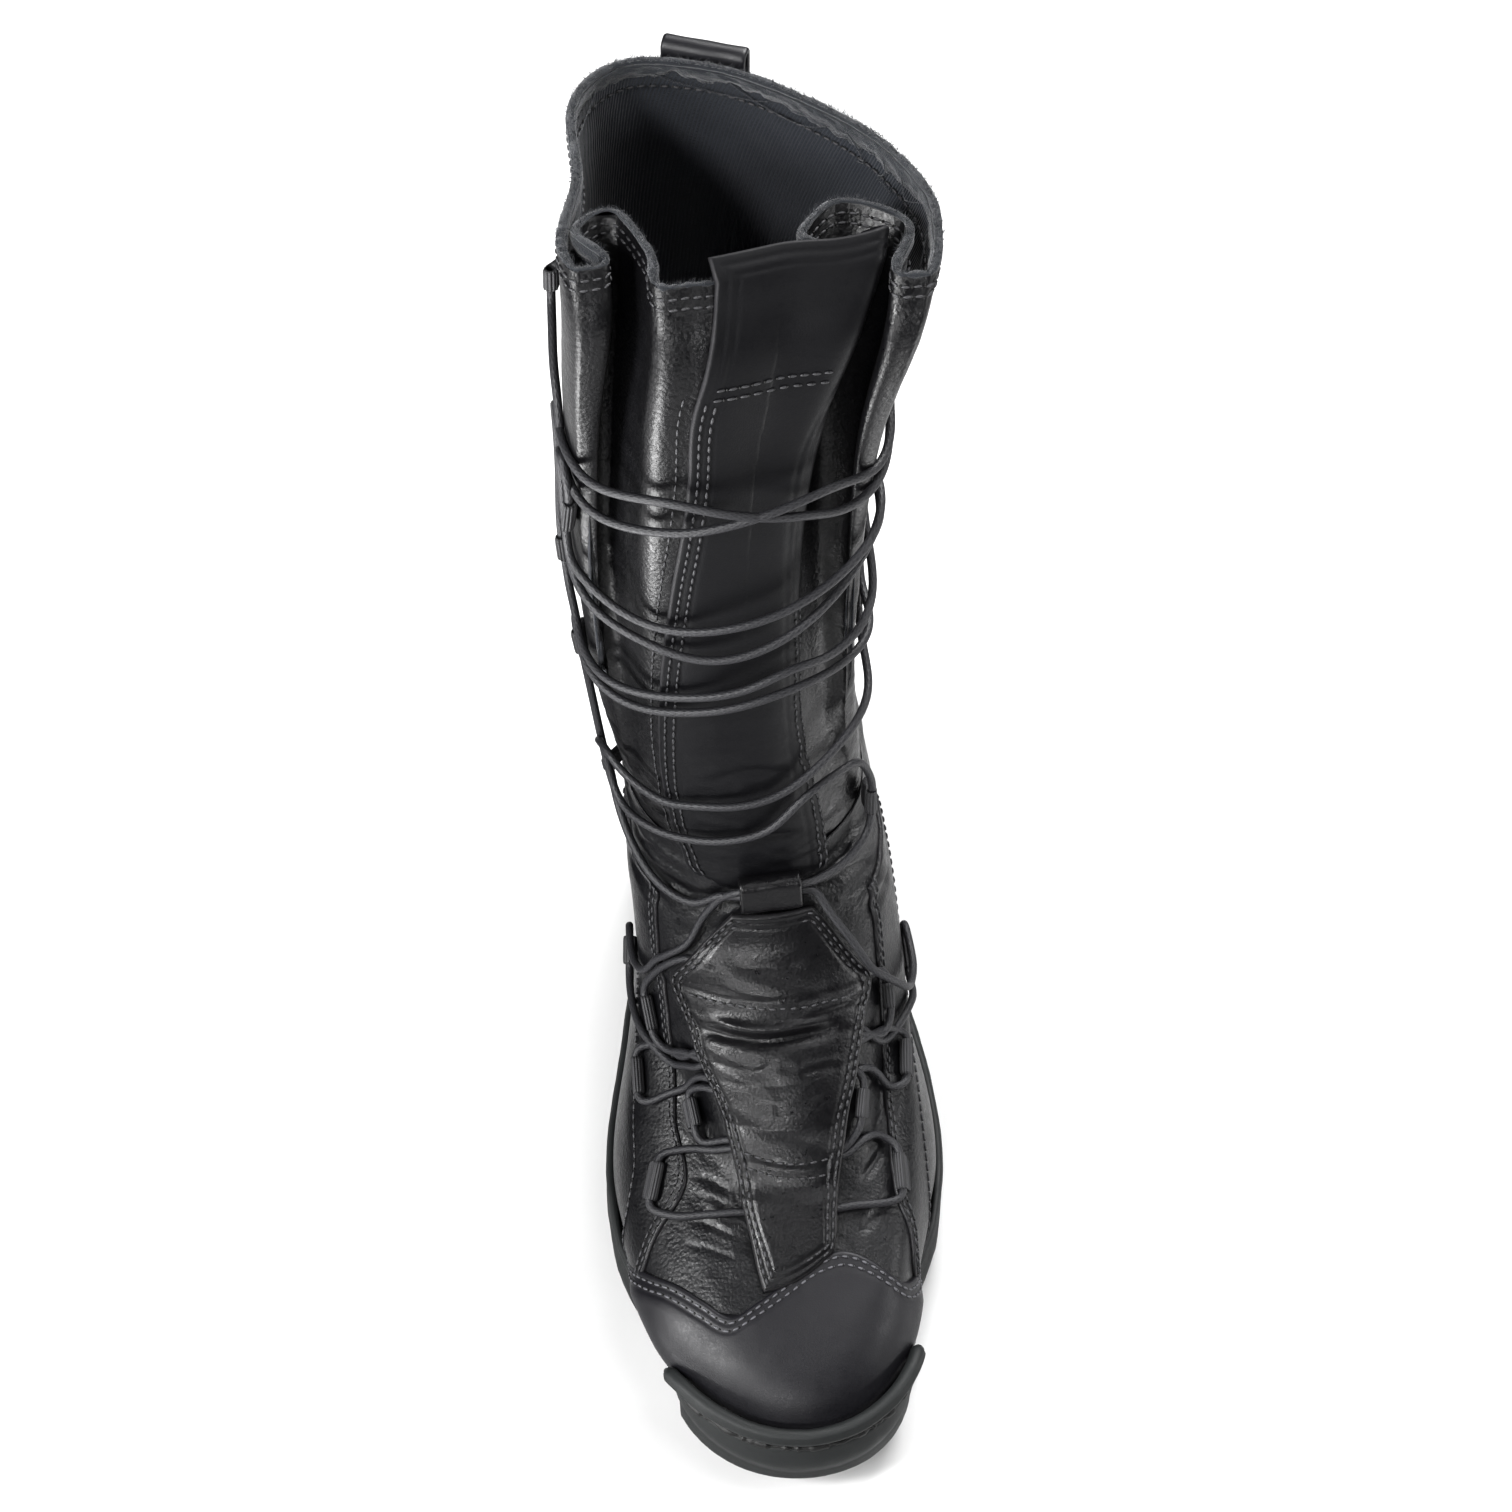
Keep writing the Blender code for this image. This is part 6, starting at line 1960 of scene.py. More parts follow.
# ================================================================ shaft
@dataclass
class Shaft:
    """Slack shaft with its two front pleats, its lining, its raw collar edge and its seams."""

    last: Last
    stitches: StitchTree
    low: float = 10.2
    skin: float = 1.25                     # leather alone, without the lining
    rows: int = 211
    ridges: Route = ((-61, 6), (-32, 5), (56, 6), (24, 4))  # turn and width of the ridges lightened with rub wear and a painted highlight
    collar_rows: tuple[float, float] = (15.84, 15.69)      # heights of the stitch rows under the collar
    back_rows: tuple[float, float] = (176.6, 183.4)        # turns of the stitch rows beside the back seam
    creases: tuple[Crease, ...] = (
        Crease(((-70, 11.9), (-60, 12.3), (-50, 12.5)), -0.9, 4.5, 0.4),
        Crease(((-58, 12.9), (-50, 12.7), (-44, 12.75)), -0.7, 3.6, 0.3),
        Crease(((-84, 12.6), (-74, 12.9), (-66, 13.0)), -0.9, 5.0, 0.4),
        Crease(((36, 11.7), (46, 12.0), (56, 12.1)), -0.8, 4.0, 0.4),
        Crease(((60, 12.7), (72, 12.9), (84, 12.8)), -0.8, 5.0, 0.3),
        Crease(((-20, 11.25), (0, 11.4), (20, 11.3)), -0.9, 3.4, 0.4),
        Crease(((-16, 11.9), (4, 11.98), (22, 11.8)), -0.6, 3.0, 0.3),
        Crease(((100, 12.0), (130, 11.7), (160, 11.9)), -1.2, 6.0, 0.5),
        Crease(((200, 11.9), (230, 11.6), (260, 11.9)), -1.2, 6.0, 0.5),
        Crease(((110, 13.1), (150, 12.8), (190, 13.1)), -0.9, 7.0, 0.3),
    )
    threads: tuple[Route, ...] = (         # each loose thread as turn, height and distance off the lining
        ((196, 15.80, 0.2), (188, 15.66, 1.0), (176, 15.58, 1.4), (164, 15.60, 0.9), (156, 15.70, 0.2)),
        ((170, 15.82, 0.2), (160, 15.62, 0.8), (148, 15.55, 1.2), (140, 15.62, 1.5), (134, 15.76, 0.2)),
        ((128, 15.84, 0.2), (122, 15.70, 1.2), (118, 15.52, 1.0), (121, 15.44, 0.6)),
        ((112, 15.84, 0.2), (108, 15.64, 1.0), (110, 15.50, 1.5), (104, 15.42, 0.6)),
        ((102, 15.82, 0.2), (97, 15.62, 1.3), (94, 15.66, 1.8), (90, 15.80, 0.2)),
        ((80, 15.82, 0.2), (76, 15.56, 0.9), (74, 15.30, 1.2), (78, 15.16, 0.6)),
        ((222, 15.84, 0.2), (228, 15.68, 1.0), (238, 15.60, 1.3), (246, 15.70, 0.2)),
        ((262, 15.80, 0.2), (270, 15.60, 1.0), (277, 15.48, 0.8), (281, 15.36, 0.5)),
    )

    def __post_init__(self) -> None:
        """Set up the folds and the soft waves."""
        self.field = Lattice(47)
        self.relief = Relief(self.last, self.creases, self.waves)

    def waves(self, turn: Array, v: Array, points: Array) -> Array:
        """Upright slack waves, and fine wrinkles near the ankle.

        Args:
            turn: Degrees round the boot; not used.
            v: Height in rows.
            points: Points of the leather's plain form.

        Returns:
            Millimetres outwards at each point.
        """
        x, y, z = points[..., 0], points[..., 1], points[..., 2]
        soft = self.field.read(x / 22, y / 22, z / 60) * 0.5 + self.field.read(x / 10, y / 10, z / 22) * 0.22
        low = 1 - ramp(v, 11.0, 12.8)
        fine = 1 - 2 * np.abs(self.field.read(x / 8, y / 8, z / 3.0 + x / 40))
        return soft * ramp(v, 10.6, 11.6) + fine * (0.05 + 0.28 * low)

    def grid(self, rows: int, fold_step: float, back_step: float) -> tuple[Array, Array]:
        """Turn and height of an even grid that is fine in the pleats.

        Args:
            rows: Number of rows.
            fold_step: Degrees between columns in the pleats.
            back_step: Degrees between columns elsewhere.

        Returns:
            The turns and the heights.
        """
        folds = np.arange(-82, 72, fold_step)
        back = np.linspace(72, 278, int(206 / back_step), endpoint=False)
        return np.meshgrid(np.concatenate([folds, back]), np.linspace(self.low, self.last.top, rows))

    def surface(self, turn: Array, v: Array, lift: float = 0.0) -> Array:
        """Points on the shaft's outside, or this far off it."""
        relief = self.relief.height(turn, v) * (1 - 0.6 * ramp(v, 15.2, 16))
        return self.last.at(turn, v, relief - LAP_GAP + lift)

    def build(self) -> list[bpy.types.Object]:
        """Make the shaft's leather, lining, collar edge and stitches.

        Returns:
            The new objects.
        """
        turn, v = self.grid(self.rows, 0.7, 2.3)
        outer = self.surface(turn, v)
        relief = self.relief.height(turn, v)
        ridge = sum(np.exp(-((turn - at) / width) ** 2) for at, width in self.ridges)
        # Lighter on raised folds and along the ridges: partly rub wear, partly a painted highlight.
        wear = (ramp(relief, 0.2, 1.0) * 0.45 + ridge * 0.30 * ramp(v, 11.5, 14)).astype(float)
        inner = self.last.at(turn, v, -LAP_GAP - self.skin)
        leather = Shell(outer, inner, True, 4, None, wear).build("shaft_leather", Finish.SHAFT)
        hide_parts("shaft")
        turn, v = self.grid(106, 1.4, 3.4)
        outside = self.last.at(turn, v, -LAP_GAP - self.skin - 0.05)
        lining = self.last.at(turn, v, -LAP_GAP - SHAFT_WALL + 0.12 * self.field.read(turn / 5, v * 6, 0))
        way = np.concatenate([lengths(lining[60]), [0]])
        way[-1] = way[-2] + 3
        uv = np.stack(np.meshgrid(way, (v[:, 0] - self.low) * 30), -1)
        cloth = Shell(outside, lining, True, 1, uv).build("shaft_lining", Finish.LINING)
        return [leather, cloth, *self.make_edge(), self.make_seams(), self.make_back_strip()]

    def make_edge(self) -> list[bpy.types.Object]:
        """Raw cut edge round the collar, and the napped strip just inside it.

        Returns:
            The bead, the strip, their fibres and the loose threads.
        """
        turns = np.concatenate([np.arange(-82, 72, 0.5), np.arange(72, 278, 1.2)])
        path = self.last.at(turns, np.full(len(turns), 16.0), -LAP_GAP - 1.15)
        out = self.last.normal(turns, np.full(len(turns), 16.0))
        up = unit(path - self.last.at(turns, np.full(len(turns), 15.9), -LAP_GAP - 1.15))
        along = np.arange(len(turns))
        fray = self.field.read(along / 5.0, 0.5, 3.2) * 0.34 + self.field.read(along / 1.7, 4.5, 1.2) * 0.3
        angle = np.linspace(0, 2 * math.pi, 14, endpoint=False)
        half, tall = 1.35 + fray * 0.5, 0.95 + fray
        ring = (path[:, None] + out[:, None] * (np.cos(angle)[None] * half[:, None])[..., None]
                + up[:, None] * (np.sin(angle)[None] * tall[:, None])[..., None])
        rows = ring.transpose(1, 0, 2)
        quads = grid_quads(*rows.shape[:2], True, True)[2]
        bead = new_piece("collar_raw_edge", rows.reshape(-1, 3), quads.tolist(), Finish.EDGE, turned=True)
        turn, share = np.meshgrid(turns, np.linspace(0, 1, 14))
        lowest = 15.72 + 0.10 * self.field.read(turn / 9, 0.3, 7) + 0.05 * self.field.read(turn / 1.7, 2.3, 7)
        v = lowest + (15.97 - lowest) * share
        outer = self.last.at(turn, v, -LAP_GAP - SHAFT_WALL + 0.1)
        ragged = self.field.read(turn / 3, v * 9, 7) * 0.3 + self.field.read(turn / 1.1, v * 30, 3) * 0.2
        inner = self.last.at(turn, v, -LAP_GAP - SHAFT_WALL - (0.2 + 0.5 * ramp(share, 0, 0.5)) - ragged)
        strip = Shell(outer, inner, True, 1).build("collar_inner_strip", Finish.EDGE)
        low = inner[0] - out * 0.1
        fibres = BristleTree()
        torn = fibres.fray("collar_strip_fibres", low, out, (0.25,))
        return [bead, strip, fibres.fray("collar_fibres", path + up * 0.7, out, (-0.9, 0.0, 0.9)), torn,
                *self.make_threads()]

    def make_threads(self) -> list[bpy.types.Object]:
        """Loose threads that hang off the frayed strip inside the collar.

        Returns:
            One object a thread.
        """
        ring = circle(6, 0.17)
        threads = []
        for number, route in enumerate(self.threads):
            table = np.array(route)
            way = np.linspace(0, len(table) - 1, 12 * len(table))
            turn, v, lift = smooth_curve(np.arange(len(table)), table, way).T
            path = self.last.at(turn, v, -LAP_GAP - SHAFT_WALL - 0.4 - lift)
            threads.append(closed_tube(f"loose_thread_{number + 1}", swept(path, lambda i: ring), Finish.EDGE))
        return threads

    def make_seams(self) -> bpy.types.Object:
        """Stitch rows under the collar, and down both ridges beside the pleats.

        Returns:
            One mesh with every stitch.
        """
        turns = np.arange(20, 346, 0.5)
        seams = [self.surface(turns, np.full(len(turns), v), 0.1) for v in self.collar_rows]
        turns = np.arange(0, 360, 0.8)
        seams.append(self.last.at(turns, np.full(len(turns), 15.5), -LAP_GAP - SHAFT_WALL - 0.65))
        heights = np.linspace(10.9, 14.62, 200)
        turns = smooth_curve(*np.array(Placket.left).T, heights) - 3.4
        seams.append(self.surface(turns, heights, 0.1))
        heights = np.linspace(11.1, 15.3, 160)
        seams += [self.surface(np.full(160, turn), heights, 1.15) for turn in self.back_rows]
        return self.stitches.sew("shaft_stitches", [resampled(points, 1.0) for points in seams])

    def make_back_strip(self) -> bpy.types.Object:
        """Strip of leather over the back seam.

        Returns:
            The new object.
        """
        turn, v = np.meshgrid(180 + np.linspace(-5.2, 5.2, 18), np.linspace(10.8, 15.95, 150))
        thick, sink = 1.1, 0.2
        under = self.surface(turn, v, -sink)
        gap = edge_gap(under, (True, True, False, False))
        outer = under + self.last.normal(turn, v) * (thick * rounded(gap, 1.1) + sink)[..., None]
        wear = 1 - ramp(gap, 0, 1.5)
        return Shell(outer, under, False, 3, None, wear).build("shaft_back_strip", Finish.SHAFT)


@dataclass
class Placket:
    """Smooth strip down the shaft's front, with its raw medial edge and its free flap above the collar."""

    last: Last
    shaft: Shaft
    stitches: StitchTree
    thickness: float = 1.5
    free: float = 12.0
    roll_columns: int = 16
    left: Route = ((10.35, -24), (10.8, -29), (11.3, -31.5), (11.82, -30.6), (12.63, -27), (13.3, -22),
                   (13.7, -18.6), (13.96, -17.5), (14.49, -18), (14.88, -16), (15.5, -14.2), (16, -13.4))
    right: Route = ((10.35, 24), (10.8, 26), (11.3, 27.5), (11.9, 26), (13, 23.5), (13.7, 21.5), (14.4, 19.5),
                    (15, 19), (15.5, 18.5), (16, 18.5))
    reach: Route = ((10.35, 0), (13.7, 0), (14.4, 2.5), (15, 5.5), (15.5, 7.5), (16, 9.5))

    def build(self) -> list[bpy.types.Object]:
        """Make the strip and its stitches.

        Returns:
            The strip and its stitches.
        """
        heights = np.linspace(10.35, 16, 200)
        left, right, reach = (smooth_curve(*np.array(side).T, heights)
                              for side in (self.left, self.right, self.reach))
        t = edged(76, 40, 1.2)
        turn = left[:, None] + (right - left)[:, None] * t
        v = np.broadcast_to(heights[:, None], turn.shape)
        field = Lattice(59)
        x, y, z = self.last.inner(turn, v).transpose(2, 0, 1)
        soft = field.read(x / 14, y / 14, z / 26) * 0.35 + field.read(x / 6, y / 6, z / 9) * 0.08
        low = 1 - ramp(v, 11.2, 13.2)
        fine = (1 - 2 * np.abs(field.read(x / 8, y / 8, z / 2.6))) * 0.34 * low
        creases = Relief(self.last, self.shaft.creases).height(turn, v)
        lap = 0.15 + 1.0 * (1 - ramp(v, 10.7, 11.15))
        under = self.last.at(turn, v, lap + creases)
        pull = reach[:, None] * ramp(t, 0.55, 1.0)
        under = under + np.stack([pull, -0.12 * pull, np.zeros(pull.shape)], -1)
        under = np.concatenate([under, self.roll(under, reach)], 1)
        t = np.concatenate([t, np.ones(self.roll_columns)])
        lean = unit((under[-1] - under[-8]).mean(0)) + np.stack([-0.5 * (1 - t), 0 * t, 0 * t], 1)
        steps = np.linspace(0, 1, 26)[1:, None, None]
        tall = self.free * (0.45 + 0.15 * ramp(t, 0.7, 1.0))
        tall[-self.roll_columns:] *= np.linspace(1, 0.15, self.roll_columns)
        tall = tall[None, :, None]
        curl = np.array((0.0, 2.2, 0.0)) * steps**2
        under = np.concatenate([under, under[-1] + unit(lean) * tall * steps + curl])
        surface = np.concatenate([soft + fine, np.repeat((soft + fine)[:, -1:], self.roll_columns, 1)], 1)
        surface = np.concatenate([surface, np.repeat(surface[-1:], 25, 0)])
        gap = edge_gap(under, (True, True, False, True))
        normals = grid_normals(under)
        groove = grooves(gap, (3.3, 6.1), 0.22, 0.8)
        body = ramp(np.arange(len(gap))[:, None] * np.ones(gap.shape), 0, 12)
        outer = under + normals * (self.thickness * rounded(gap, 1.2) * (0.3 + 0.7 * body) + surface
                                   + groove * (gap < 8))[..., None]
        # Lighter at the rubbed edges, and on raised places, where it is partly rub wear and partly a painted
        # highlight.
        wear = (1 - ramp(gap, 0, 1.5)) * 1.2 + ramp(surface, 0.15, 0.5) * 0.3
        strip = Shell(outer, under, False, 5, None, wear).build("placket_leather", Finish.PLACKET)
        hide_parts("shaft_placket")
        normals = grid_normals(outer)
        seams = [seam_inside(outer[10:stop], normals[10:stop], inset, side) for stop, side, inset in (
            (154, True, 3.3), (153, True, 6.1), (100, False, 3.0), (100, False, 5.4))]
        seams += [resampled((outer + normals * 0.12)[row, 12:62], 1.0) for row in (152, 155)]
        return [strip, self.stitches.sew("placket_stitches", seams)]

    def roll(self, under: Array, reach: Array) -> Array:
        """The strip's lateral edge, rolled back into the fold where it stands free.

        Args:
            under: Grid of the strip's underside.
            reach: How far each row stands free.

        Returns:
            More columns of the grid, round the roll.
        """
        along = unit(under[:, -1] - under[:, -5])
        up = unit(np.gradient(under[:, -1], axis=0))
        back = -unit(np.cross(along, up))
        radius = 0.15 + 4.6 * ramp(reach, 0.5, 6.0)
        angle = np.radians(np.linspace(0, 125, self.roll_columns + 1))[1:]
        return (under[:, -1:] + along[:, None] * (np.sin(angle)[None] * radius[:, None])[..., None]
                + back[:, None] * ((1 - np.cos(angle))[None] * radius[:, None])[..., None])


# ================================================================ straps
@dataclass(frozen=True)
class Strap:
    """A strap of leather folded into a flat loop."""

    name: str
    node: str
    finish: Finish
    width: float
    height: float
    depth: float
    wall: float
    rounding: float = 1.1      # width of its rounded edges

    def build(self, centre: Array, axis: Array, rise: Array) -> bpy.types.Object:
        """Make the strap round a centre.

        Args:
            centre: Middle of the loop.
            axis: Way of its hole.
            rise: Its long way up.

        Returns:
            The new object.
        """
        axis = unit(axis)
        rise = unit(rise - axis * rise.dot(axis))
        out = np.cross(axis, rise)
        count, corner = 48, self.depth / 2
        angle = 2 * math.pi * np.arange(count) / count
        cos, sin = np.cos(angle), np.sin(angle)
        bulge = np.copysign(self.height / 2 - corner, sin) * np.minimum(1, np.abs(sin) * 3)
        share = edged(26, self.width, self.rounding)[:, None]
        edge = np.minimum(np.minimum(share, 1 - share) * self.width / self.rounding, 1)
        thinner = self.wall * 0.35 * (1 - np.sqrt(1 - (1 - edge) ** 2))
        along = centre + axis * ((share - 0.5) * self.width)[..., None]
        field, grids = Lattice(71), []
        for radius, inset in ((corner - thinner, 0.0), (corner - self.wall + thinner, self.wall)):
            side = cos * radius + 0.22 * field.read(np.arange(count) / 5, share * 4, inset)
            grids.append(along + out * side[..., None] + rise * (sin * radius + bulge)[..., None])
        piece = Shell(*grids, True).build(self.name, self.finish, True)
        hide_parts(self.node)
        return piece


# ================================================================ sole
@dataclass
class Sole:
    """Lugged cup sole with its toe wrap, rim bead and insole board."""

    last: Last
    cells: int = 50                        # lug cells once round
    steps: tuple[float, ...] = (0, 0.10, 0.15, 0.5, 0.85, 0.90)     # a cell's border, lug foot and lug face
    rim: Route = ((0, 38.5), (.04, 38.3), (.075, 37), (.105, 32), (.15, 27.2), (.35, 26), (.58, 28.5),
                  (.82, 33), (1, 35))
    rubber: Route = ((0, 3.0), (.10, 5.4), (.3, 6.2), (.55, 5.2), (.8, 3.8), (.93, 3.2), (1, 2.2))
    base: float = 4.0
    length: float = 292.0
    toe_spring: float = 15.0
    spring_start: float = 64.0
    arch: tuple[float, float, float] = (6.0, 171.0, 40.0)     # rise, middle and half length
    lug_depth: float = 4.0
    cap_room: float = 1.75
    cup_gap: float = 0.5
    bead: float = 2.7

    def __post_init__(self) -> None:
        """Sample the foot's lower part once."""
        self.turns = np.concatenate([(cell + np.array(self.steps)) * 360 / self.cells
                                     for cell in range(self.cells)])
        self.columns = len(self.turns)
        self.way = (1 - np.cos(np.radians(self.turns))) / 2
        along = self.last.inner(self.turns + 0.57, 0.5) - self.last.inner(self.turns - 0.57, 0.5)
        self.flat = unit(np.cross(along, (0, 0, 1.0)))
        self.rim_z = smooth_curve(*np.array(self.rim).T, self.way)
        self.room = self.cap_room * np.clip((0.33 - self.way) / 0.05, 0, 1)
        self.field = Lattice(83)

    def tread(self, y: Array) -> Array:
        """Height of the underside between the lugs.

        Args:
            y: Ways from the toe.

        Returns:
            One height a way.
        """
        rise, middle, half = self.arch
        spring = self.toe_spring * np.clip((self.spring_start - y) / self.spring_start, 0, None) ** 2
        arch = np.where(np.abs(y - middle) < half, np.cos((y - middle) / half * math.pi / 2) ** 2, 0)
        return self.base + spring + rise * arch

    def low_grid(self) -> list[Array]:
        """Turn and height of a grid over the foot's lower part."""
        return np.meshgrid(self.turns, np.linspace(0, 4, 33))

    @staticmethod
    def level(stack: Array, heights: Array) -> Array:
        """Where each column of a grid of points reaches a height.

        Args:
            stack: Grid of points that rises row by row.
            heights: One height a column.

        Returns:
            One point a column.
        """
        return np.array([[np.interp(z, stack[:, i, 2], stack[:, i, k]) for k in range(3)]
                         for i, z in enumerate(heights)])

    def wall(self, shares: Array) -> Array:
        """Outer side of the cup, one row a share of its height.

        Args:
            shares: Shares of the wall's height.

        Returns:
            One row of points a share.
        """
        stack = self.last.inner(*self.low_grid())
        low = self.tread(stack[0, :, 1] + self.flat[:, 1] * 6)
        rows = []
        for share in shares:
            z = low + (self.rim_z - low) * share
            plan = self.level(stack, z)
            thick = float(smooth_curve(*np.array(self.rubber).T, np.array([share]))[0])
            groove = -0.7 * math.exp(-(((share - 0.80) / 0.035) ** 2))
            groove = groove - 0.4 * math.exp(-(((share - 0.1) / 0.03) ** 2))
            groove = groove * ramp(self.way, 0.10, 0.2)
            side = np.minimum(self.turns, 360 - self.turns)
            thick = thick * (1 - 0.55 * ramp(side, 32, 38) * (1 - ramp(side, 47, 60)))
            toe = 1 - ramp(side, 33, 36)
            torn = self.field.read(plan[:, 0] / 2.6, plan[:, 1] / 2.6, 0.5)
            groove = groove - toe * 1.3 * np.exp(-(((share + torn * 0.02 - 0.905) / 0.022) ** 2))
            rough = self.field.read(plan[:, 0] / 6, plan[:, 1] / 6, z / 6) * 0.12
            out = np.maximum(thick + groove, 0.5) + rough + self.room + LEATHER + self.cup_gap
            rows.append(plan + self.flat * out[:, None])
            rows[-1][:, 2] = z
        return np.array(rows)

    def cup(self, share: float) -> Array:
        """Inner side of the cup at a share of its height.

        Args:
            share: Share of the wall's height.

        Returns:
            One point a column.
        """
        stack = self.last.at(*self.low_grid(), LEATHER + self.cup_gap)
        z = stack[0, :, 2] + (self.rim_z - stack[0, :, 2]) * share
        return self.level(stack, z) + self.flat * self.room[:, None]

    def build(self) -> list[bpy.types.Object]:
        """Make the outsole, the toe bumper and the insole board."""
        return [self.make_outsole(), *self.make_bumper(), self.make_insole()]

    def make_outsole(self) -> bpy.types.Object:
        """Cup sole in one closed skin: underside with lugs, side wall, rim, inner wall and floor.

        Returns:
            The new object.
        """
        shares = np.concatenate([(0, 0.012, 0.03), np.linspace(0.06, 0.94, 40), (0.965, 0.985, 1.0)])
        shares = np.unique(np.concatenate([shares, np.linspace(0.80, 0.995, 26)]))
        walls = self.wall(shares)
        walls[0] -= self.flat * 1.1
        walls[1] -= self.flat * 0.35
        rim = [walls[-1] - self.flat * inset + (0, 0, rise)
               for inset, rise in ((0.35, 0.3), (0.9, 0.4), (1.6, 0.3))]
        cups = [self.cup(share) for share in (1.0, 0.8, 0.6, 0.4, 0.2)]
        floor = self.last.at(self.turns, np.zeros(self.columns), LEATHER + self.cup_gap)
        floor[:, 2] = self.floor_height()
        floor += self.flat * self.room[:, None]
        rings = [*walls, *rim, *cups, floor]
        n, half, start = self.columns, self.columns // 2, len(rings) * self.columns
        faces = grid_quads(len(rings), n, True)[2].tolist() + self.strips(start - n, n)
        across = np.concatenate([(k + np.array(self.steps)) / 6 for k in range(6)] + [[1.0]])
        index = np.zeros((half, len(across)), int)
        more: list = []
        for i in range(1, half):
            left, right = walls[0][i], walls[0][n - i]
            y = left[1] + (right[1] - left[1]) * across
            cell = (i // len(self.steps) + 0.5) / self.cells * 2 * math.pi
            middle = 2 + self.length * (1 - math.cos(cell)) / 2
            bare = not len(self.steps) <= i < half - len(self.steps)
            bare = bare or abs(middle - self.arch[1]) < self.arch[2]
            for k, share in enumerate(across):
                if k in (0, len(across) - 1):
                    index[i, k] = i if k == 0 else n - i
                    continue
                raised = not bare and 2 <= i % len(self.steps) <= 4 and 2 <= k % len(self.steps) <= 4
                x = left[0] + (right[0] - left[0]) * share
                z = float(self.tread(np.array(y[k]))) - self.lug_depth * raised
                index[i, k] = start + len(more)
                more.append((x, y[k], z))
        faces += [(index[i, k], index[i, k + 1], index[i + 1, k + 1], index[i + 1, k])
                  for i in range(1, half - 1) for k in range(len(across) - 1)]
        for i, tip in ((1, 0), (half - 1, half)):
            faces += [(index[i, k], index[i, k + 1], tip) for k in range(len(across) - 1)]
        sole = new_piece("outsole_rubber", np.concatenate([*rings, more]), faces, Finish.RUBBER, turned=True)
        sole.data.set_sharp_from_angle(angle=math.radians(38))
        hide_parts("outsole")
        return sole

    def floor_height(self) -> Array:
        """Height of the cup's floor, just under the upper's lower edge."""
        return self.last.at(self.turns, np.zeros(self.columns), LEATHER)[:, 2] - GAP

    @staticmethod
    def strips(start: int, count: int) -> list[tuple[int, ...]]:
        """Fill a ring whose points i and count - i face each other.

        Args:
            start: Number of the ring's first point.
            count: How many points it has.

        Returns:
            The faces.
        """
        half, end = count // 2, start + count
        faces = [(start, start + 1, end - 1), (start + half - 1, start + half, start + half + 1)]
        return faces + [(start + i, start + i + 1, end - i - 1, end - i) for i in range(1, half - 1)]

    def make_bumper(self) -> list[bpy.types.Object]:
        """Bead of rubber on the rim round the toe, and a ragged near-black tube of painted shade for the torn
        cut under it.

        Returns:
            The bead and the cut's painted shade.
        """
        near = np.abs((self.turns + 180) % 360 - 180) < 36
        order = np.argsort((self.turns[near] + 180) % 360)
        base = (self.cup(1.0) + self.flat * self.bead * 0.8)[near][order]
        path = resampled(base + self.flat[near][order] + (0, 0, self.bead + GAP), 1.2)
        count = len(path)
        angle = np.linspace(0, 2 * math.pi, 20, endpoint=False)
        along = np.minimum(np.arange(count), np.arange(count)[::-1]) * 1.2

        def outline(i: int) -> Array:
            """The bead's torn cross-section at a point of its path, smaller at both ends.

            Args:
                i: Number of the point.

            Returns:
                Its cross-section.
            """
            size = self.bead * min(1.0, math.sqrt(0.1 + 0.25 * along[i]))
            lumps = self.field.read(i / 6.0, angle / 1.2, 3.0) * 0.10
            cut = -0.5 * np.exp(-(((angle - 1.62 * math.pi) / 0.16) ** 2))
            radius = size * (1 + lumps * 0.4) + cut
            return np.stack([np.cos(angle), np.sin(angle) * 0.98], 1) * radius[:, None]

        bead = closed_tube("toe_bumper_bead", swept(path, outline, np.array((0.0, -1.0, 0.0))), Finish.RUBBER)
        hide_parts("toe_bumper")
        return [bead, self.make_cut_shade(near, order)]

    def make_cut_shade(self, near: Array, order: Array) -> bpy.types.Object:
        """Ragged near-black tube of painted shade for the cut in the rubber right under the bead.

        Args:
            near: Which columns lie round the toe.
            order: Their order along it.

        Returns:
            The new object.
        """
        middle = self.wall(np.array([0.905]))[0] + self.flat
        path = resampled(middle[near][order][4:-4], 0.6)

        def outline(i: int) -> Array:
            """The painted shade's ragged cross-section at a point of its path."""
            size = 0.62 + 1.1 * self.field.read(i / 2.3, 0.7, 5.0) + 0.6 * self.field.read(i / 7.0, 3.7, 5.0)
            return circle(8, min(max(size + 0.3, 0.6), 1.45))

        return closed_tube("toe_cut_line", swept(path, outline, np.array((0.0, -1.0, 0.0))), Finish.HOLE)

    def make_insole(self) -> bpy.types.Object:
        """Foot bed board lying inside the upper on the sole's floor.

        Returns:
            The new object.
        """
        edge = self.last.inner(self.turns, np.zeros(self.columns)) - self.flat * 0.9
        rings = []
        for rise, inset in ((0, 0.6), (0.3, 0.1), (0.9, 0), (3.0, 0), (3.7, 0.3), (4.0, 0.9)):
            level = edge - self.flat * inset
            level[:, 2] = self.floor_height() + GAP + rise
            rings.append(level)
        n, top = self.columns, (len(rings) - 1) * self.columns
        faces = grid_quads(len(rings), n, True)[2].tolist() + self.strips(0, n) + self.strips(top, n)
        board = new_piece("insole_felt_board", np.concatenate(rings), faces, Finish.BOARD, turned=True)
        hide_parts("insole")
        return board


# ================================================================ studio
def aimed(place: Sequence[float], aim: Sequence[float]) -> Euler:
    """Turn of a lamp or camera that looks from a place towards its aim."""
    return (Vector(aim) - Vector(place)).to_track_quat("-Z", "Y").to_euler()


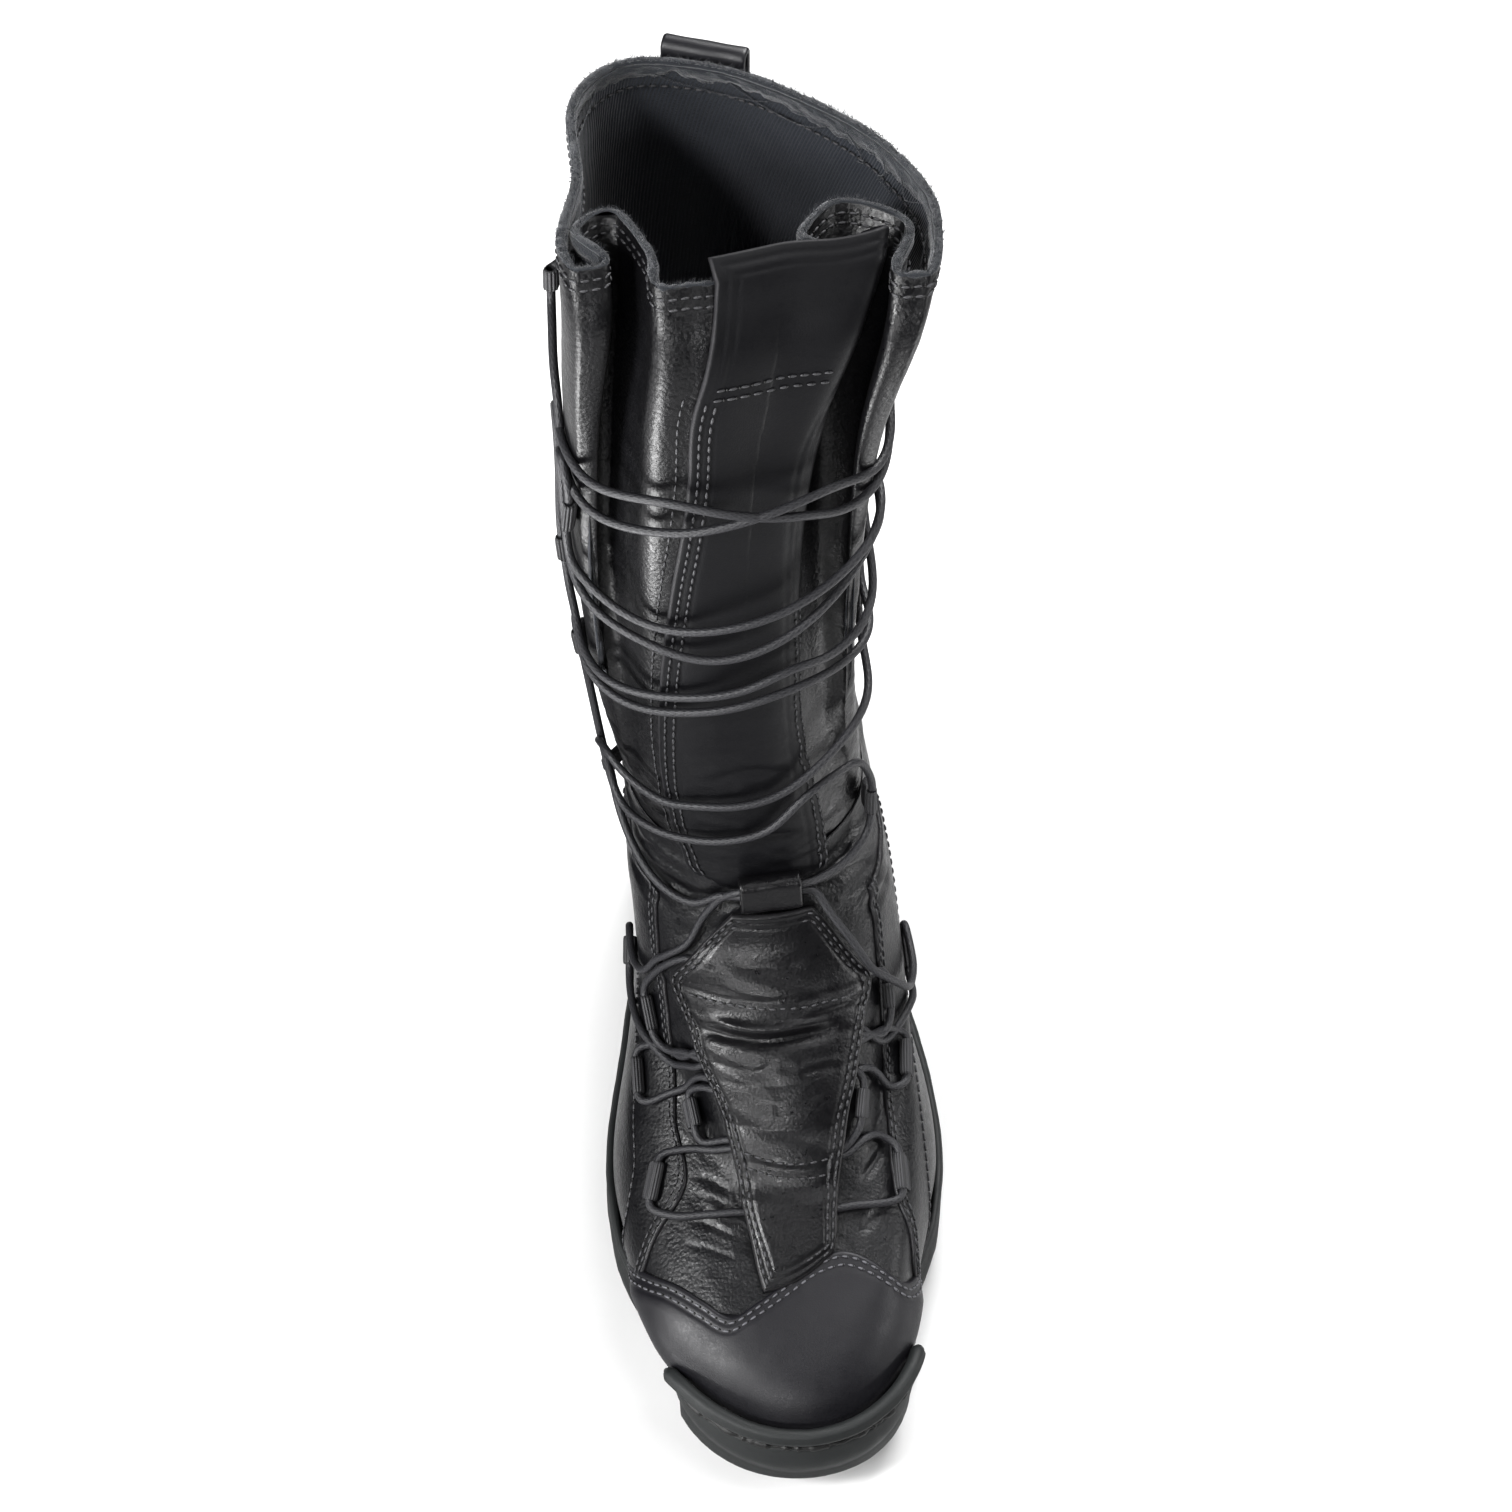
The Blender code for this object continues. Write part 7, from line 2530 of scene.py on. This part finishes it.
@dataclass(frozen=True)
class Lamp:
    """A rectangular soft lamp aimed at the boot's middle."""

    name: str
    place: tuple[float, float, float]
    size: tuple[float, float]
    power: float
    aim: tuple[float, float, float] = (0.0, 0.0, 0.19)

    def add(self) -> None:
        """Put the lamp up."""
        data = bpy.data.lights.new(self.name, "AREA")
        data.shape = "RECTANGLE"
        data.size, data.size_y = self.size
        data.energy = self.power
        obj = linked(self.name, data)
        obj.location = self.place
        obj.visible_camera = False
        obj.rotation_euler = aimed(self.place, self.aim)


@dataclass(frozen=True)
class Studio:
    """Camera, soft lamps, pale floor and even surroundings."""

    camera_place: tuple[float, float, float] = (-0.04197, -0.47527, 0.82914)
    camera_aim: tuple[float, float, float] = (-0.00336, -0.00354, 0.21746)
    focal: float = 61.9
    sensor: float = 36.0
    exposure: float = 0.40
    gamma: float = 0.80
    surroundings: float = 0.03
    floor_half: float = 3.0
    card: Route = ((-0.12, -0.12, 0), (-0.12, 0.25, 0), (-0.12, 0.25, 0.17), (-0.12, -0.12, 0.17))
    lamps: tuple[Lamp, ...] = (
        Lamp("key lamp", (-1.00, -0.42, 0.62), (0.45, 0.45), 12.0),
        Lamp("high lamp", (-0.75, -0.42, 1.00), (0.20, 0.20), 12.0),
        Lamp("fill lamp", (0.9, -0.25, 0.6), (0.4, 0.5), 5.0),
        Lamp("front lamp", (-0.24, -0.95, 0.72), (0.18, 0.18), 5.0),
        Lamp("top lamp", (0.45, 0.80, 1.30), (0.8, 0.8), 32.0),
        Lamp("inside lamp", (0.30, -0.30, 1.40), (0.30, 0.30), 3.0, (0.0, 0.05, 0.30)),
        Lamp("left reflector", (-0.42, -0.26, 0.01), (0.36, 0.40), 8.0, (-0.42, -0.26, 1.0)),
        Lamp("right reflector", (0.42, -0.24, 0.01), (0.36, 0.40), 2.0, (0.42, -0.24, 1.0)),
    )

    def set_up(self) -> None:
        """Put up everything that isn't the boot."""
        world = bpy.data.worlds.new("even surroundings")
        world.use_nodes = True
        world.node_tree.nodes["Background"].inputs["Color"].default_value = (1, 1, 1, 1)
        world.node_tree.nodes["Background"].inputs["Strength"].default_value = self.surroundings
        bpy.context.scene.world = world
        view = bpy.context.scene.view_settings
        view.view_transform = "Standard"
        view.exposure, view.gamma = self.exposure, self.gamma
        for lamp in self.lamps:
            lamp.add()
        data = bpy.data.cameras.new("camera")
        data.lens, data.sensor_width = self.focal, self.sensor
        camera = linked("camera", data)
        camera.location = self.camera_place
        camera.rotation_euler = aimed(self.camera_place, self.camera_aim)
        bpy.context.scene.camera = camera
        far = self.floor_half
        square = [(-far, -far, 0), (far, -far, 0), (far, far, 0), (-far, far, 0)]
        floor = self.sheet("studio_floor", square, Finish.PAPER)
        floor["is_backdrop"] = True
        card = self.sheet("dark_card", self.card, Finish.HOLE)
        card.visible_camera = card.visible_shadow = False
        card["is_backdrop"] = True

    @staticmethod
    def sheet(name: str, points: Route, finish: Finish) -> bpy.types.Object:
        """Put up a flat sheet with four corners.

        Args:
            name: The sheet's name.
            points: Its corners.
            finish: Its finish.

        Returns:
            The new object.
        """
        mesh = bpy.data.meshes.new(name)
        mesh.from_pydata(points, [], [(0, 1, 2, 3)])
        mesh.materials.append(finish.material())
        return linked(name, mesh)


# ================================================================ boot
class Boot:
    """The whole boot, put together from its sub-assemblies."""

    def __init__(self, wanted: Sequence[str]) -> None:
        """Build every sub-assembly.

        Args:
            wanted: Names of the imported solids.
        """
        last, stitches = Last(), StitchTree()
        foot = FootUpper(last, stitches)
        shaft = Shaft(last, stitches)
        lacing = Lacing(last)
        self.pieces: list[bpy.types.Object] = []
        for title, build in (
                ("foot upper", foot.build), ("toe cap", ToeCap(last, stitches).build), ("shaft", shaft.build),
                ("placket", Placket(last, shaft, stitches).build), ("lacing", lambda: lacing.build(wanted)),
                ("instep flap", lambda: InstepFlap(last, stitches, lacing.paths).build()),
                ("straps", lambda: self.make_straps(last)), ("sole", Sole(last).build)):
            made = build()
            count = sum(len(piece.data.polygons) for piece in made)
            LOG.info("%s: %d pieces, %d faces", title, len(made), count)
            self.pieces += made

    @staticmethod
    def make_straps(last: Last) -> list[bpy.types.Object]:
        """The tab at the top of the flap and the pull loop behind the collar.

        Args:
            last: The surface that they sit on.

        Returns:
            Both straps.
        """
        rear, front = (run.ends(last, False) for run in TAB_RUNS)
        tab = Strap("instep_tab_leather", "instep_tab", Finish.FLAP, 20.0, 13.5, 7.4, 1.5)
        centre = (rear.mean(0) + front.mean(0)) / 2
        axis = (rear[1] - rear[0] + front[1] - front[0]) / 2
        pull = Strap("pull_loop_leather", "pull_loop", Finish.SMOOTH, 25.0, 34.0, 7.0, 1.8)
        ends = last.at(np.array((186.0, 174.0)), np.array((15.6, 15.6)), 4.0)
        seat = last.at(np.array(181.0), np.array(15.45), -LAP_GAP + GAP + 3.5) - (0, 0, 5)
        return [tab.build(centre, axis, rear.mean(0) - front.mean(0)),
                pull.build(seat, ends[0] - ends[1], np.array((0.0, 0.0, 1.0)))]

    def hold(self) -> None:
        """Give every piece its body."""
        for piece in self.pieces:
            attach(piece, BODY)


def corners() -> list[list[float]]:
    """Lowest and highest corner of everything shown."""
    return [[round(float(value), 6) for value in corner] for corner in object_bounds()]


def main() -> None:
    """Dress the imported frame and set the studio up."""
    logging.basicConfig(level=logging.INFO, format="%(message)s")
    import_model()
    Boot([obj.name for obj in bpy.data.objects if obj.type == "MESH"]).hold()
    Studio().set_up()
    bpy.context.view_layer.update()


if __name__ == "__main__":
    main()
